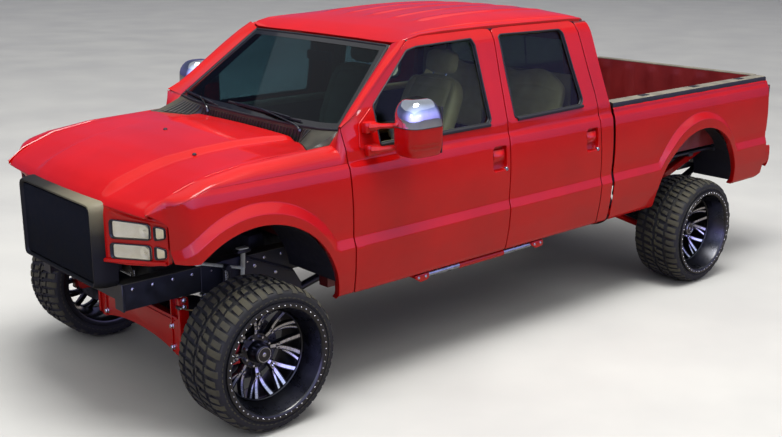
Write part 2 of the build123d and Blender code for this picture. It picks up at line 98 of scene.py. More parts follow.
def catmull(P, m, closed=False):
    """Smooth curve through points, m samples a span."""
    P = np.asarray(P, float)
    n = len(P)
    out = []
    spans = n if closed else n - 1
    for i in range(spans):
        if closed:
            a, b, c, d = P[(i - 1) % n], P[i], P[(i + 1) % n], P[(i + 2) % n]
        else:
            b, c = P[i], P[i + 1]
            a = P[i - 1] if i > 0 else 2 * b - c
            d = P[i + 2] if i + 2 < n else 2 * c - b
        t = np.linspace(0, 1, m, endpoint=False)[:, None]
        out.append(0.5 * ((2 * b) + (-a + c) * t + (2 * a - 5 * b + 4 * c - d) * t ** 2 + (-a + 3 * b - 3 * c + d) * t ** 3))
    out = np.vstack(out)
    if not closed:
        out = np.vstack([out, P[-1:]])
    return out


def net(rows, mu, mv):
    """Smooth surface through a net of control points rows[i][j]."""
    R = np.asarray(rows, float)
    A = np.stack([catmull(R[:, j], mu) for j in range(R.shape[1])], 1)
    return np.stack([catmull(A[i], mv) for i in range(A.shape[0])], 0)


# ------------------------------------------------------------------ meshes
class M:
    """Collects shells, then becomes one piece."""

    def __init__(s):
        s.v, s.n, s.f, s.m, s.k, s.has_n = [], [], [], [], 0, False

    def add(s, v, faces, mat=0, n=None, flip=False):
        v = np.asarray(v, float).reshape(-1, 3)
        if n is None:
            n = np.zeros_like(v)
        else:
            s.has_n = True
            n = np.asarray(n, float).reshape(-1, 3)
        if isinstance(faces, np.ndarray):
            faces = [faces] if len(faces) else []
        else:
            by = {}
            for q in faces:
                by.setdefault(len(q), []).append(q)
            faces = [np.asarray(q, int) for q in by.values()]
        for f in faces:
            if flip:
                f = f[:, ::-1]
            s.f.append(f + s.k)
            s.m.append(np.full(len(f), mat, np.int32))
        s.v.append(v)
        s.n.append(n)
        s.k += len(v)
        return s

    def join(s, o, mat=None):
        """Adds another collection."""
        for f, m in zip(o.f, o.m):
            s.f.append(f + s.k)
            s.m.append(m if mat is None else np.full(len(f), mat, np.int32))
        s.v += o.v
        s.n += o.n
        s.k += o.k
        s.has_n = s.has_n or o.has_n
        return s

    def mirror(s):
        o = M()
        o.has_n = s.has_n
        o.k = s.k
        o.v = [a * [1, -1, 1] for a in s.v]
        o.n = [a * [1, -1, 1] for a in s.n]
        o.f = [f[:, ::-1] for f in s.f]
        o.m = list(s.m)
        return o

    def moved(s, R=None, t=(0, 0, 0)):
        o = M()
        R = np.eye(3) if R is None else np.asarray(R, float)
        o.has_n, o.k = s.has_n, s.k
        o.v = [a @ R.T + np.asarray(t, float) for a in s.v]
        o.n = [a @ R.T for a in s.n]
        o.f, o.m = list(s.f), list(s.m)
        return o

    def both(s):
        return M().join(s).join(s.mirror())

    def build(s, name, body, slot, mats, raked=True, sharp=38, replaces=(), recalc=True):
        v, n = np.vstack(s.v), np.vstack(s.n)
        if raked:
            v, n = row(v), rown(n)
        me = bpy.data.meshes.new(name)
        loops = np.concatenate([f.ravel() for f in s.f]).astype(np.int32)
        tot = np.concatenate([np.full(len(f), f.shape[1], np.int32) for f in s.f])
        start = np.concatenate([[0], np.cumsum(tot)[:-1]]).astype(np.int32)
        me.vertices.add(len(v))
        me.vertices.foreach_set("co", v.astype(np.float32).ravel())
        me.loops.add(len(loops))
        me.loops.foreach_set("vertex_index", loops)
        me.polygons.add(len(tot))
        me.polygons.foreach_set("loop_start", start)
        me.polygons.foreach_set("loop_total", tot)
        me.polygons.foreach_set("material_index", np.concatenate(s.m))
        me.update(calc_edges=True)
        if me.validate():
            print("validate changed", name)
        if recalc and not s.has_n:
            bm = bmesh.new()
            bm.from_mesh(me)
            bmesh.ops.remove_doubles(bm, verts=bm.verts, dist=1e-6)
            bmesh.ops.dissolve_degenerate(bm, edges=bm.edges, dist=1e-6)
            bmesh.ops.recalc_face_normals(bm, faces=bm.faces)
            bm.to_mesh(me)
            bm.free()
        me.polygons.foreach_set("use_smooth", np.ones(len(me.polygons), bool))
        me.set_sharp_from_angle(angle=math.radians(sharp))
        if s.has_n:
            idx = np.zeros(len(me.loops), np.int32)
            me.loops.foreach_get("vertex_index", idx)
            me.normals_split_custom_set(n[idx].tolist())
        for m in mats:
            me.materials.append(m)
        o = bpy.data.objects.new(name, me)
        bpy.context.scene.collection.objects.link(o)
        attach(o, body)
        if replaces:
            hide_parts(*replaces)
        return o


def grid_faces(nu, nv, cu=False, cv=False):
    """Quads of a grid of nu x nv points, indexed i*nv+j."""
    i = np.arange(nu if cu else nu - 1)
    j = np.arange(nv if cv else nv - 1)
    I, J = np.meshgrid(i, j, indexing="ij")
    I, J = I.ravel(), J.ravel()
    I2, J2 = (I + 1) % nu, (J + 1) % nv
    return np.stack([I * nv + J, I2 * nv + J, I2 * nv + J2, I * nv + J2], 1)


def sheet(P, mat=0, m=None, thick=None, cu=False, cv=False):
    """A grid of points as a surface; with thick, a closed shell that thick on the side against the normals."""
    P = np.asarray(P, float)
    nu, nv = P.shape[:2]
    m = m or M()
    f = grid_faces(nu, nv, cu, cv)
    if thick is None:
        return m.add(P, f, mat)
    N = grid_normals(P, cu, cv)
    Q = P - N * (thick[..., None] if isinstance(thick, np.ndarray) else thick)
    V = np.concatenate([P.reshape(-1, 3), Q.reshape(-1, 3)])
    k = nu * nv
    F = [f, f[:, ::-1] + k]
    rim = []
    if not cv:
        for j, d in ((0, 1), (nv - 1, -1)):
            a = np.arange(nu if cu else nu - 1)
            b = (a + 1) % nu
            q = np.stack([a * nv + j, a * nv + j + k, b * nv + j + k, b * nv + j], 1)
            rim.append(q if d < 0 else q[:, ::-1])
    if not cu:
        for i, d in ((0, -1), (nu - 1, 1)):
            a = np.arange(nv if cv else nv - 1)
            b = (a + 1) % nv
            q = np.stack([i * nv + a, i * nv + a + k, i * nv + b + k, i * nv + b], 1)
            rim.append(q if d < 0 else q[:, ::-1])
    m.add(V, np.concatenate(F + rim), mat)
    return m


def unit(a):
    l = np.linalg.norm(a, axis=-1, keepdims=True)
    return a / np.maximum(l, 1e-12)


def grid_normals(P, cu=False, cv=False):
    def d(A, ax, c):
        if c:
            return np.roll(A, -1, ax) - np.roll(A, 1, ax)
        return np.gradient(A, axis=ax)
    return unit(np.cross(d(P, 0, cu), d(P, 1, cv)))


def axes_of(d, hint=None):
    """Rotation whose third column is d."""
    d = unit(np.asarray(d, float))
    h = np.asarray(hint if hint is not None else ([0, 0, 1] if abs(d[2]) < 0.9 else [1, 0, 0]), float)
    x = unit(np.cross(h, d))
    y = np.cross(d, x)
    return np.stack([x, y, d], 1)


def tube(P, r, n=12, closed=False, cap=True, mat=0, m=None, flat=None):
    """Round bar along a path; r a number or one for each point; flat squeezes it along the second axis."""
    P = np.asarray(P, float)
    k = len(P)
    r = np.broadcast_to(np.asarray(r, float), (k,))
    T = unit(np.roll(P, -1, 0) - np.roll(P, 1, 0)) if closed else unit(np.gradient(P, axis=0))
    R = axes_of(T[0])
    x = R[:, 0]
    X = [x]
    for i in range(1, k):
        x = X[-1] - T[i] * (X[-1] @ T[i])
        X.append(unit(x))
    X = np.array(X)
    Y = np.cross(T, X)
    a = np.linspace(0, 2 * PI, n, endpoint=False)
    c, s_ = np.cos(a), np.sin(a) * (flat if flat else 1)
    V = P[:, None] + r[:, None, None] * (c[None, :, None] * X[:, None] + s_[None, :, None] * Y[:, None])
    m = m or M()
    if cap and not closed:
        F = [list(q) for q in grid_faces(k, n, False, True)]
        F.append(list(range(n))[::-1])
        F.append([(k - 1) * n + j for j in range(n)])
        m.add(V, F, mat)
    else:
        m.add(V, grid_faces(k, n, closed, True), mat)
    return m


def lathe(profile, n=64, mat=0, m=None, closed=False, c=(0, 0, 0), a0=0.0):
    """Profile of (radius, y) turned about the Y axis through c."""
    p = np.asarray(profile, float)
    a = a0 + np.linspace(0, 2 * PI, n, endpoint=False)
    V = np.stack([c[0] + p[:, 0][:, None] * np.cos(a), np.broadcast_to(c[1] + p[:, 1][:, None], (len(p), n)), c[2] + p[:, 0][:, None] * np.sin(a)], -1)
    m = m or M()
    F = [list(q) for q in grid_faces(len(p), n, closed, True)]
    if not closed:
        if p[0, 0] > 1e-6:
            F.append(list(range(n)))
        if p[-1, 0] > 1e-6:
            F.append([(len(p) - 1) * n + j for j in range(n)][::-1])
    m.add(V, F, mat)
    return m


def rounded(lo, hi, r, seg=2, mat=0, m=None, taper=None):
    """Box with rounded edges. taper scales the top face about its middle."""
    lo, hi = np.asarray(lo, float), np.asarray(hi, float)
    lo, hi = np.minimum(lo, hi), np.maximum(lo, hi)
    bm = bmesh.new()
    g = bmesh.ops.create_cube(bm, size=1.0)
    for v in bm.verts:
        k = Vector((0.5 + v.co.x, 0.5 + v.co.y, 0.5 + v.co.z))
        v.co = Vector([lo[i] + (hi[i] - lo[i]) * k[i] for i in range(3)])
    if taper:
        mid = (lo + hi) / 2
        for v in bm.verts:
            if v.co.z > mid[2]:
                v.co.x = mid[0] + (v.co.x - mid[0]) * taper[0]
                v.co.y = mid[1] + (v.co.y - mid[1]) * taper[1]
    bmesh.ops.bevel(bm, geom=list(bm.edges), offset=min(r, 0.49 * float((hi - lo).min())), segments=seg, profile=0.5, affect="EDGES")
    return from_bm(bm, mat, m)


def from_bm(bm, mat=0, m=None):
    m = m or M()
    bm.verts.ensure_lookup_table()
    v = [tuple(q.co) for q in bm.verts]
    bm.verts.index_update()
    f = [[q.index for q in face.verts] for face in bm.faces]
    bm.free()
    m.add(v, f, mat)
    return m


def prism(pts, axis, a0, a1, r=0.0, seg=2, mat=0, m=None):
    """Flat outline drawn out along an axis, its rims rounded by r. The outline is in the other two axes in order."""
    bm = bmesh.new()
    oth = [i for i in range(3) if i != axis]

    def P(p, a):
        q = [0, 0, 0]
        q[oth[0]], q[oth[1]], q[axis] = p[0], p[1], a
        return q
    A = [bm.verts.new(P(p, a0)) for p in pts]
    B = [bm.verts.new(P(p, a1)) for p in pts]
    n = len(pts)
    bm.faces.new(A)
    bm.faces.new(B[::-1])
    for i in range(n):
        j = (i + 1) % n
        bm.faces.new([A[i], B[i], B[j], A[j]])
    bmesh.ops.recalc_face_normals(bm, faces=bm.faces)
    if r > 0:
        rims = [e for e in bm.edges if all(abs(v.co[axis] - a0) < 1e-7 for v in e.verts) or all(abs(v.co[axis] - a1) < 1e-7 for v in e.verts)]
        bmesh.ops.bevel(bm, geom=rims, offset=r, segments=seg, profile=0.5, affect="EDGES")
    return from_bm(bm, mat, m)


def hexbolt(p, d, s=0.008, mat=0, m=None, washer=True):
    """Hexagon head with a chamfer and a washer, pointing along d from p. s is half the width of the head."""
    R = axes_of(d)
    m = m or M()
    rings = []
    if washer:
        rings += [(1.55, 0.0, 14), (1.55, 0.22, 14), (1.35, 0.3, 14)]
        k = 14
        a = np.linspace(0, 2 * PI, k, endpoint=False)
        V = np.concatenate([np.stack([r * s * np.cos(a), r * s * np.sin(a), np.full(k, h * s)], 1) for r, h, _ in rings])
        F = [list(q) for q in grid_faces(3, k, False, True)] + [[2 * k + j for j in range(k)], list(range(k))[::-1]]
        m.add(V @ R.T + p, F, mat)
    b = 0.3 if washer else 0.0
    a = np.linspace(0, 2 * PI, 6, endpoint=False)
    V = np.concatenate([np.stack([r * s * np.cos(a), r * s * np.sin(a), np.full(6, h * s)], 1) for r, h in ((1.12, b), (1.12, b + 0.75), (0.92, b + 0.95))])
    F = [list(q) for q in grid_faces(3, 6, False, True)] + [[12 + j for j in range(6)], list(range(6))[::-1]]
    m.add(V @ R.T + p, F, mat)
    return m


def round_poly(pts, r, seg=5):
    """Closed outline with its corners rounded by r (a number or one for each corner)."""
    P = [np.asarray(p, float) for p in pts]
    n = len(P)
    rr = [r] * n if np.isscalar(r) else list(r)
    out = []
    for i in range(n):
        a, b, c = P[i - 1], P[i], P[(i + 1) % n]
        u, w = a - b, c - b
        lu, lw = np.linalg.norm(u), np.linalg.norm(w)
        u, w = u / lu, w / lw
        ang = math.acos(max(-1, min(1, float(u @ w))))
        if rr[i] <= 0 or ang > PI - 0.03:
            out.append(b)
            continue
        t = min(rr[i] / math.tan(ang / 2), 0.48 * lu, 0.48 * lw)
        s, e = b + u * t, b + w * t
        for k in range(seg + 1):
            q = k / seg
            out.append((1 - q) ** 2 * s + 2 * q * (1 - q) * b + q * q * e)
    return np.array(out)


def resample(pts, step):
    P = np.asarray(pts, float)
    out = []
    for i in range(len(P)):
        a, b = P[i], P[(i + 1) % len(P)]
        l = np.linalg.norm(b - a)
        k = max(1, int(math.ceil(l / step)))
        for j in range(k):
            out.append(a + (b - a) * j / k)
    return np.array(out)


def area2(P):
    x, y = P[:, 0], P[:, 1]
    return 0.5 * float(np.sum(x * np.roll(y, -1) - np.roll(x, -1) * y))


def inset(P, d):
    """Closed outline moved inward by d (counter-clockwise outline)."""
    a, c = np.roll(P, 1, 0), np.roll(P, -1, 0)
    t1, t2 = unit(P - a), unit(c - P)
    n1, n2 = np.stack([-t1[:, 1], t1[:, 0]], 1), np.stack([-t2[:, 1], t2[:, 0]], 1)
    b = unit(n1 + n2)
    k = np.maximum(np.sum(b * n1, 1), 0.35)
    return P + b * (d / k)[:, None]


def inside(Q, P):
    """Even-odd test of points Q in the closed outline P."""
    r = np.zeros(len(Q), bool)
    a, b = P, np.roll(P, -1, 0)
    for (x0, y0), (x1, y1) in zip(a, b):
        if y0 == y1:
            continue
        c = ((y0 > Q[:, 1]) != (y1 > Q[:, 1])) & (Q[:, 0] < (x1 - x0) * (Q[:, 1] - y0) / (y1 - y0) + x0)
        r ^= c
    return r


def near(Q, B, d):
    """Points Q nearer than d to any of points B."""
    r = np.zeros(len(Q), bool)
    for i in range(0, len(Q), 4000):
        q = Q[i:i + 4000]
        D = ((q[:, None] - B[None]) ** 2).sum(-1)
        r[i:i + 4000] = D.min(1) < d * d
    return r


def fill(outer_, holes, us, vs):
    """Triangles over an outline with holes, with grid points at us x vs. Returns points, triangles, loops."""
    loops, pts, edges, k = [], [], [], 0
    for q in [outer_] + list(holes):
        n = len(q)
        pts.append(q)
        edges += [(k + i, k + (i + 1) % n) for i in range(n)]
        loops.append(np.arange(k, k + n))
        k += n
    B = np.vstack(pts)
    U, V = np.meshgrid(us, vs, indexing="ij")
    G = np.stack([U.ravel(), V.ravel()], 1)
    ok = inside(G, outer_)
    for h in holes:
        ok &= ~inside(G, h)
    G = G[ok]
    step = min(np.diff(us).min(), np.diff(vs).min())
    G = G[~near(G, B, 0.6 * step)]
    A = np.vstack([B, G])
    res = geometry.delaunay_2d_cdt([Vector(p) for p in A], edges, [], 0, 1e-7)
    co = np.array([tuple(p) for p in res[0]])
    T = np.array([t for t in res[2] if len(t) == 3], int)
    orig = np.full(len(A), -1)
    for i, src in enumerate(res[3]):
        for s_ in src:
            orig[s_] = i
    C = co[T].mean(1)
    ok = inside(C, outer_)
    for h in holes:
        ok &= ~inside(C, h)
    T = T[ok]
    return co, T, [orig[l] for l in loops]


def spans(lo, hi, step, extra=()):
    n = max(1, int(round((hi - lo) / step)))
    a = list(np.linspace(lo, hi, n + 1)[1:-1])
    for e in extra:
        a = [x for x in a if abs(x - e) > 0.45 * step] + [e]
    return np.array(sorted(a))


def panel(outline, F, holes=(), step=0.02, us=None, vs=None, r=0.003, depth=0.02, thick=None, mat=0, mat_in=None, m=None, edge=None, out=None, hem_holes=True):
    """A pressed panel: the outline with holes in the plane of F's two parameters, F maps it to space.
    Its edges roll over by r and go down by depth, and an inner skin closes it. out says which way is outward."""
    m = m or M()
    outline = np.asarray(outline, float)
    if area2(outline) < 0:
        outline = outline[::-1]
    hs = []
    for h in holes:
        h = np.asarray(h, float)
        hs.append(h if area2(h) > 0 else h[::-1])
    st = edge or step
    O = inset(resample(outline, st), r)
    H = [inset(resample(h, st), -r)[::-1] for h in hs]      # clockwise, the panel on its left
    lo, hi = O.min(0), O.max(0)
    us = spans(lo[0], hi[0], step) if us is None else us
    vs = spans(lo[1], hi[1], step) if vs is None else vs
    co, T, loops = fill(O, H, us, vs)

    def N(u, v):
        e = 0.0015
        a = F(u + e, v) - F(u - e, v)
        b = F(u, v + e) - F(u, v - e)
        return unit(np.cross(a, b))
    P = F(co[:, 0], co[:, 1])
    Nn = N(co[:, 0], co[:, 1])
    sgn = 1.0
    if out is not None and (Nn @ np.asarray(out, float)).mean() < 0:
        sgn = -1.0
    Nn = Nn * sgn
    g = np.cross(P[T[:, 1]] - P[T[:, 0]], P[T[:, 2]] - P[T[:, 0]])
    bad = (g * Nn[T].mean(1)).sum(1) < 0
    T[bad] = T[bad][:, ::-1]
    depth_in = depth if thick is None else thick
    dep = depth_in(co[:, 0], co[:, 1]) if callable(depth_in) else np.full(len(co), depth_in)
    k0 = m.k
    verts, norms, faces, mats_ = [P], [Nn], [T], [np.full(len(T), mat)]
    k = len(P)
    inner_idx = np.arange(len(co)) + 0
    Pin = P - Nn * dep[:, None]
    inner_start = None
    rings_last = {}
    for li, l in enumerate(loops):
        p, n_ = P[l], Nn[l]
        t = unit(np.roll(p, -1, 0) - np.roll(p, 1, 0))
        o = unit(np.cross(t, n_)) * sgn
        prev = l
        for ph in (30, 60, 90):
            c, s_ = math.cos(math.radians(ph)), math.sin(math.radians(ph))
            q = p + o * (r * s_) - n_ * (r * (1 - c))
            verts.append(q)
            norms.append(n_ * c + o * s_)
            cur = k + np.arange(len(l))
            a, b = prev, np.roll(prev, -1)
            c2, d2 = cur, np.roll(cur, -1)
            f = np.stack([a, c2, d2, b], 1)
            faces.append(f if sgn > 0 else f[:, ::-1])
            mats_.append(np.full(len(f), mat))
            prev = cur
            k += len(l)
        # wall
        wall_top = k + np.arange(len(l))
        verts.append(p + o * r - n_ * r)
        norms.append(o)
        k += len(l)
        q = p + o * r - n_ * dep[l][:, None]
        verts.append(q)
        norms.append(o)
        wall_bot = k + np.arange(len(l))
        k += len(l)
        f = np.stack([wall_top, wall_bot, np.roll(wall_bot, -1), np.roll(wall_top, -1)], 1)
        faces.append(f if sgn > 0 else f[:, ::-1])
        mats_.append(np.full(len(f), mat))
        rings_last[li] = q
    # inner skin
    for li, l in enumerate(loops):
        Pin[l] = rings_last[li]
    verts.append(Pin)
    norms.append(-Nn)
    faces.append(T[:, ::-1] + k)
    mats_.append(np.full(len(T), mat if mat_in is None else mat_in))
    V, NN = np.vstack(verts), np.vstack(norms)
    for f, mt in zip(faces, mats_):
        m.f.append(np.asarray(f, int) + k0)
        m.m.append(mt.astype(np.int32))
    m.v.append(V)
    m.n.append(NN)
    m.k += len(V)
    m.has_n = True
    return m

# ------------------------------------------------------------------ materials
def hexc(h):
    c = [int(h[i:i + 2], 16) / 255 for i in (0, 2, 4)]
    return tuple((x / 12.92 if x <= 0.04045 else ((x + 0.055) / 1.055) ** 2.4) for x in c) + (1.0,)


def base_mat(name):
    m = bpy.data.materials.new(name)
    m.use_nodes = True
    nt = m.node_tree
    nt.nodes.clear()
    out = nt.nodes.new("ShaderNodeOutputMaterial")
    tc = nt.nodes.new("ShaderNodeTexCoord")
    return m, nt, out, tc


def noise(nt, tc, scale, detail=4, stretch=None, rough=0.55):
    mp = nt.nodes.new("ShaderNodeMapping")
    mp.inputs["Scale"].default_value = stretch or (1, 1, 1)
    nt.links.new(tc.outputs["Object"], mp.inputs["Vector"])
    n = nt.nodes.new("ShaderNodeTexNoise")
    n.inputs["Scale"].default_value = scale
    n.inputs["Detail"].default_value = detail
    n.inputs["Roughness"].default_value = rough
    nt.links.new(mp.outputs["Vector"], n.inputs["Vector"])
    return n


def ramp(nt, src, stops):
    r = nt.nodes.new("ShaderNodeValToRGB")
    e = r.color_ramp.elements
    e[0].position, e[0].color = stops[0]
    e[1].position, e[1].color = stops[-1]
    for p, c in stops[1:-1]:
        k = e.new(p)
        k.color = c
    nt.links.new(src, r.inputs["Fac"])
    return r


def rng(nt, src, a, b, lo=0.3, hi=0.7):
    k = nt.nodes.new("ShaderNodeMapRange")
    k.inputs["From Min"].default_value = lo
    k.inputs["From Max"].default_value = hi
    k.inputs["To Min"].default_value = a
    k.inputs["To Max"].default_value = b
    nt.links.new(src, k.inputs["Value"])
    return k


def bump(nt, src, strength, dist, prev=None):
    b = nt.nodes.new("ShaderNodeBump")
    b.inputs["Strength"].default_value = strength
    b.inputs["Distance"].default_value = dist
    nt.links.new(src, b.inputs["Height"])
    if prev:
        nt.links.new(prev.outputs["Normal"], b.inputs["Normal"])
    return b


def pmat(name, c1, c2, scale=6.0, rough=(0.35, 0.5), metal=0.0, coat=0.0, coat_rough=0.03, grain=0.0, gscale=400.0, gdist=0.001,
         detail=4, spec=None, stretch=None, gstretch=None, c3=None, sheen=0.0, at=(0.35, 0.65), ior=None):
    m, nt, out, tc = base_mat(name)
    p = nt.nodes.new("ShaderNodeBsdfPrincipled")
    nt.links.new(p.outputs["BSDF"], out.inputs["Surface"])
    p.inputs["Metallic"].default_value = metal
    p.inputs["Coat Weight"].default_value = coat
    p.inputs["Coat Roughness"].default_value = coat_rough
    if spec is not None:
        p.inputs["Specular IOR Level"].default_value = spec
    if ior:
        p.inputs["IOR"].default_value = ior
    if sheen:
        p.inputs["Sheen Weight"].default_value = sheen
        p.inputs["Sheen Roughness"].default_value = 0.4
    n = noise(nt, tc, scale, detail, stretch)
    stops = [(at[0], hexc(c1)), (at[1], hexc(c2))]
    if c3:
        stops.append((min(0.98, at[1] + 0.12), hexc(c3)))
    nt.links.new(ramp(nt, n.outputs["Fac"], stops).outputs["Color"], p.inputs["Base Color"])
    nt.links.new(rng(nt, n.outputs["Fac"], *rough).outputs["Result"], p.inputs["Roughness"])
    if grain:
        g = noise(nt, tc, gscale, 2, gstretch)
        nt.links.new(bump(nt, g.outputs["Fac"], grain, gdist).outputs["Normal"], p.inputs["Normal"])
    return m


def glass_mat(name, tint, gloss=0.03, low=0.02, high=0.75):
    """Thin tinted pane: see-through straight on, a mirror at the edges, with faint streaks."""
    m, nt, out, tc = base_mat(name)
    t = nt.nodes.new("ShaderNodeBsdfTransparent")
    n = noise(nt, tc, 1.6, 3, (1, 1, 2.5))
    c = hexc(tint)
    d = tuple(min(1.0, x * 1.12 + 0.004) for x in c[:3]) + (1,)
    nt.links.new(ramp(nt, n.outputs["Fac"], [(0.3, c), (0.7, d)]).outputs["Color"], t.inputs["Color"])
    g = nt.nodes.new("ShaderNodeBsdfGlossy")
    g.inputs["Roughness"].default_value = gloss
    g.inputs["Color"].default_value = (0.95, 0.97, 1.0, 1)
    lw = nt.nodes.new("ShaderNodeLayerWeight")
    lw.inputs["Blend"].default_value = 0.5
    pw = nt.nodes.new("ShaderNodeMath")
    pw.operation = "POWER"
    pw.inputs[1].default_value = 4.0
    nt.links.new(lw.outputs["Facing"], pw.inputs[0])
    f = nt.nodes.new("ShaderNodeMapRange")
    f.inputs["To Min"].default_value = low
    f.inputs["To Max"].default_value = high
    nt.links.new(pw.outputs["Value"], f.inputs["Value"])
    x = nt.nodes.new("ShaderNodeMixShader")
    nt.links.new(f.outputs["Result"], x.inputs["Fac"])
    nt.links.new(t.outputs["BSDF"], x.inputs[1])
    nt.links.new(g.outputs["BSDF"], x.inputs[2])
    nt.links.new(x.outputs["Shader"], out.inputs["Surface"])
    return m


RED = pmat("paint_red", "a40101", "b00202", scale=2.2, rough=(0.38, 0.48), metal=0.0, coat=0.7, coat_rough=0.06, grain=0.03, gscale=1800, gdist=0.0002, spec=0.1)
# darker, duller copy of the body red for inner faces: the duller finish is their own, the darker colour is painted
# shade
RED_SHADED = pmat("paint_inner", "5a0808", "6a0b0b", scale=5, rough=(0.42, 0.55), coat=0.3, coat_rough=0.2)
BLACK = pmat("plastic_black", "0e0f12", "17181b", scale=14, rough=(0.42, 0.56), grain=0.25, gscale=700, gdist=0.0006)
GLOSSBLACK = pmat("black_gloss", "08090b", "0f1013", scale=5, rough=(0.16, 0.24), coat=0.8, coat_rough=0.05)
RUBBER_SEAL = pmat("seal_rubber", "090a0b", "111214", scale=30, rough=(0.55, 0.7))
OLIVE = pmat("cowl_grey", "2b2a22", "39372c", scale=9, rough=(0.45, 0.6), grain=0.15, gscale=500, gdist=0.0005)
# grey standing in for light on the tops of black plastic caps: painted sheen
CAP_SHEEN = pmat("rail_cap_grey", "615d51", "777264", scale=10, rough=(0.5, 0.62), grain=0.3, gscale=600, gdist=0.0006)
TYRE_M = pmat("tyre_rubber", "0b0b0a", "14140f", scale=9, rough=(0.7, 0.88), grain=0.3, gscale=260, gdist=0.0012, c3="1e1d16", at=(0.35, 0.6))
# lighter olive for the tread faces: partly dust on the rubber, partly a painted highlight of the light on the lug tops
LUG_DUST_SHEEN_M = pmat("tyre_lug", "2a281d", "3d3a2b", scale=7, rough=(0.75, 0.92), grain=0.3, gscale=220, gdist=0.001)
RIM_BLACK = pmat("rim_black", "08090c", "101216", scale=8, rough=(0.3, 0.4), metal=0.4, coat=.6, coat_rough=0.12)
RIM_MILLED = pmat("rim_milled", "a9acb0", "c6c8ca", scale=26, rough=(0.18, 0.3), metal=1.0, stretch=(1, 6, 1))
BOLT_M = pmat("bolt_silver", "b5b7ba", "d0d1d2", scale=60, rough=(0.2, 0.34), metal=1.0)
FRAME_M = pmat("frame_black", "0d1016", "181c25", scale=12, rough=(0.35, 0.5), grain=0.25, gscale=160, gdist=0.0008, c3="23262b")
CAST = pmat("cast_iron", "232527", "34363a", scale=18, rough=(0.55, 0.75), metal=0.6, grain=0.5, gscale=140, gdist=0.0015)
STEEL = pmat("bright_steel", "8d97a4", "b3bcc8", scale=30, rough=(0.2, 0.36), metal=1.0, stretch=(1, 1, 5), grain=0.06, gscale=500)
CHROME = pmat("chrome", "c9d2dd", "e6ecf2", scale=6, rough=(0.05, 0.1), metal=1.0)
RUST = pmat("exhaust_steel", "4c4640", "6f675d", scale=10, rough=(0.4, 0.6), metal=0.8, c3="7a5b43")
LAMP_BACK = pmat("lamp_reflector", "ece7da", "f6f2e8", scale=14, rough=(0.3, 0.42), spec=.4)
LAMP_WHITE = pmat("lamp_bulb", "cfd3d6", "e8ebec", scale=20, rough=(0.2, 0.3))
LENS_CLEAR = glass_mat("lens_clear", "f6f5f0", 0.02)
LENS_AMBER = glass_mat("lens_amber", "f4efe4", 0.03)
LENS_RED = pmat("lens_red", "5a0204", "7c0407", scale=18, rough=(0.1, 0.18), coat=1.0, coat_rough=0.03)
GLASS = glass_mat("window_tint", "dde4dd", 0.01, 0.008, 0.5)
GLASS_R = glass_mat("rear_tint", "6c7672", 0.01, 0.012, 0.6)
GLASS_F = glass_mat("windscreen_tint", "7f98a4", 0.01, 0.015, 0.35)
FRIT = pmat("glass_border", "050607", "0b0c0d", scale=20, rough=(0.12, 0.2), coat=0.6)
TAN = pmat("seat_leather", "c9b997", "ddceae", scale=7, rough=(0.45, 0.6), grain=0.35, gscale=420, gdist=0.0008, sheen=0.15)
TAN_DARK = pmat("trim_tan", "8f8166", "a39478", scale=8, rough=(0.5, 0.66), grain=0.3, gscale=500, gdist=0.0006)
STITCH = pmat("stitching", "b9ab8d", "cfc2a5", scale=90, rough=(0.6, 0.75))
DASH_M = pmat("dash_plastic", "15171b", "22252a", scale=16, rough=(0.5, 0.66), grain=0.4, gscale=620, gdist=0.0007)
DASH_G = pmat("dash_grey", "3b4047", "4d535b", scale=16, rough=(0.45, 0.6), grain=0.3, gscale=620, gdist=0.0007)
CARPET = pmat("carpet", "14130f", "25231c", scale=160, rough=(0.85, 0.98), grain=0.8, gscale=900, gdist=0.003, sheen=0.2)
HEADLINER = pmat("headliner", "57534a", "68645a", scale=40, rough=(0.8, 0.92), grain=0.3, gscale=900, gdist=0.0008)
BEDLINER = pmat("bed_liner", "0d0d0e", "1b1b1c", scale=30, rough=(0.6, 0.8), grain=0.8, gscale=260, gdist=0.003)
LINER = pmat("wheel_liner", "0a0b0c", "141517", scale=22, rough=(0.6, 0.78), grain=0.5, gscale=240, gdist=0.002)
CORE = pmat("radiator_core", "070b11", "0b1119", scale=24, rough=(0.55, 0.7), spec=.2)
BELT = pmat("belt_webbing", "1a1a1b", "29292a", scale=220, rough=(0.75, 0.9), grain=0.5, gscale=900, stretch=(1, 8, 8))
CABLE = pmat("cable_tan", "7a6a4c", "95835f", scale=40, rough=(0.5, 0.65))
MIRROR = pmat("mirror_glass", "b7c2cc", "cbd5de", scale=3, rough=(0.02, 0.04), metal=1.0)
PLATE = pmat("blank_plate", "b9bcbc", "cccfce", scale=12, rough=(0.35, 0.5), metal=0.2)
FLOOR_M = pmat("floor_pale", "b0b0ae", "b8b8b5", scale=0.8, rough=(0.6, 0.75), spec=.2)
# glossy rays see the floor in a darker brown-grey: painted darker reflections of the floor in the paint and chrome
ft = FLOOR_M.node_tree
fp = next(n for n in ft.nodes if n.type == "BSDF_PRINCIPLED")
fsrc = fp.inputs["Base Color"].links[0].from_socket
fx = ft.nodes.new("ShaderNodeMixRGB")
fx.inputs[2].default_value = hexc("7c756e")
ft.links.new(fsrc, fx.inputs[1])
ft.links.new(ft.nodes.new("ShaderNodeLightPath").outputs["Is Glossy Ray"], fx.inputs[0])
ft.links.new(fx.outputs[0], fp.inputs["Base Color"])


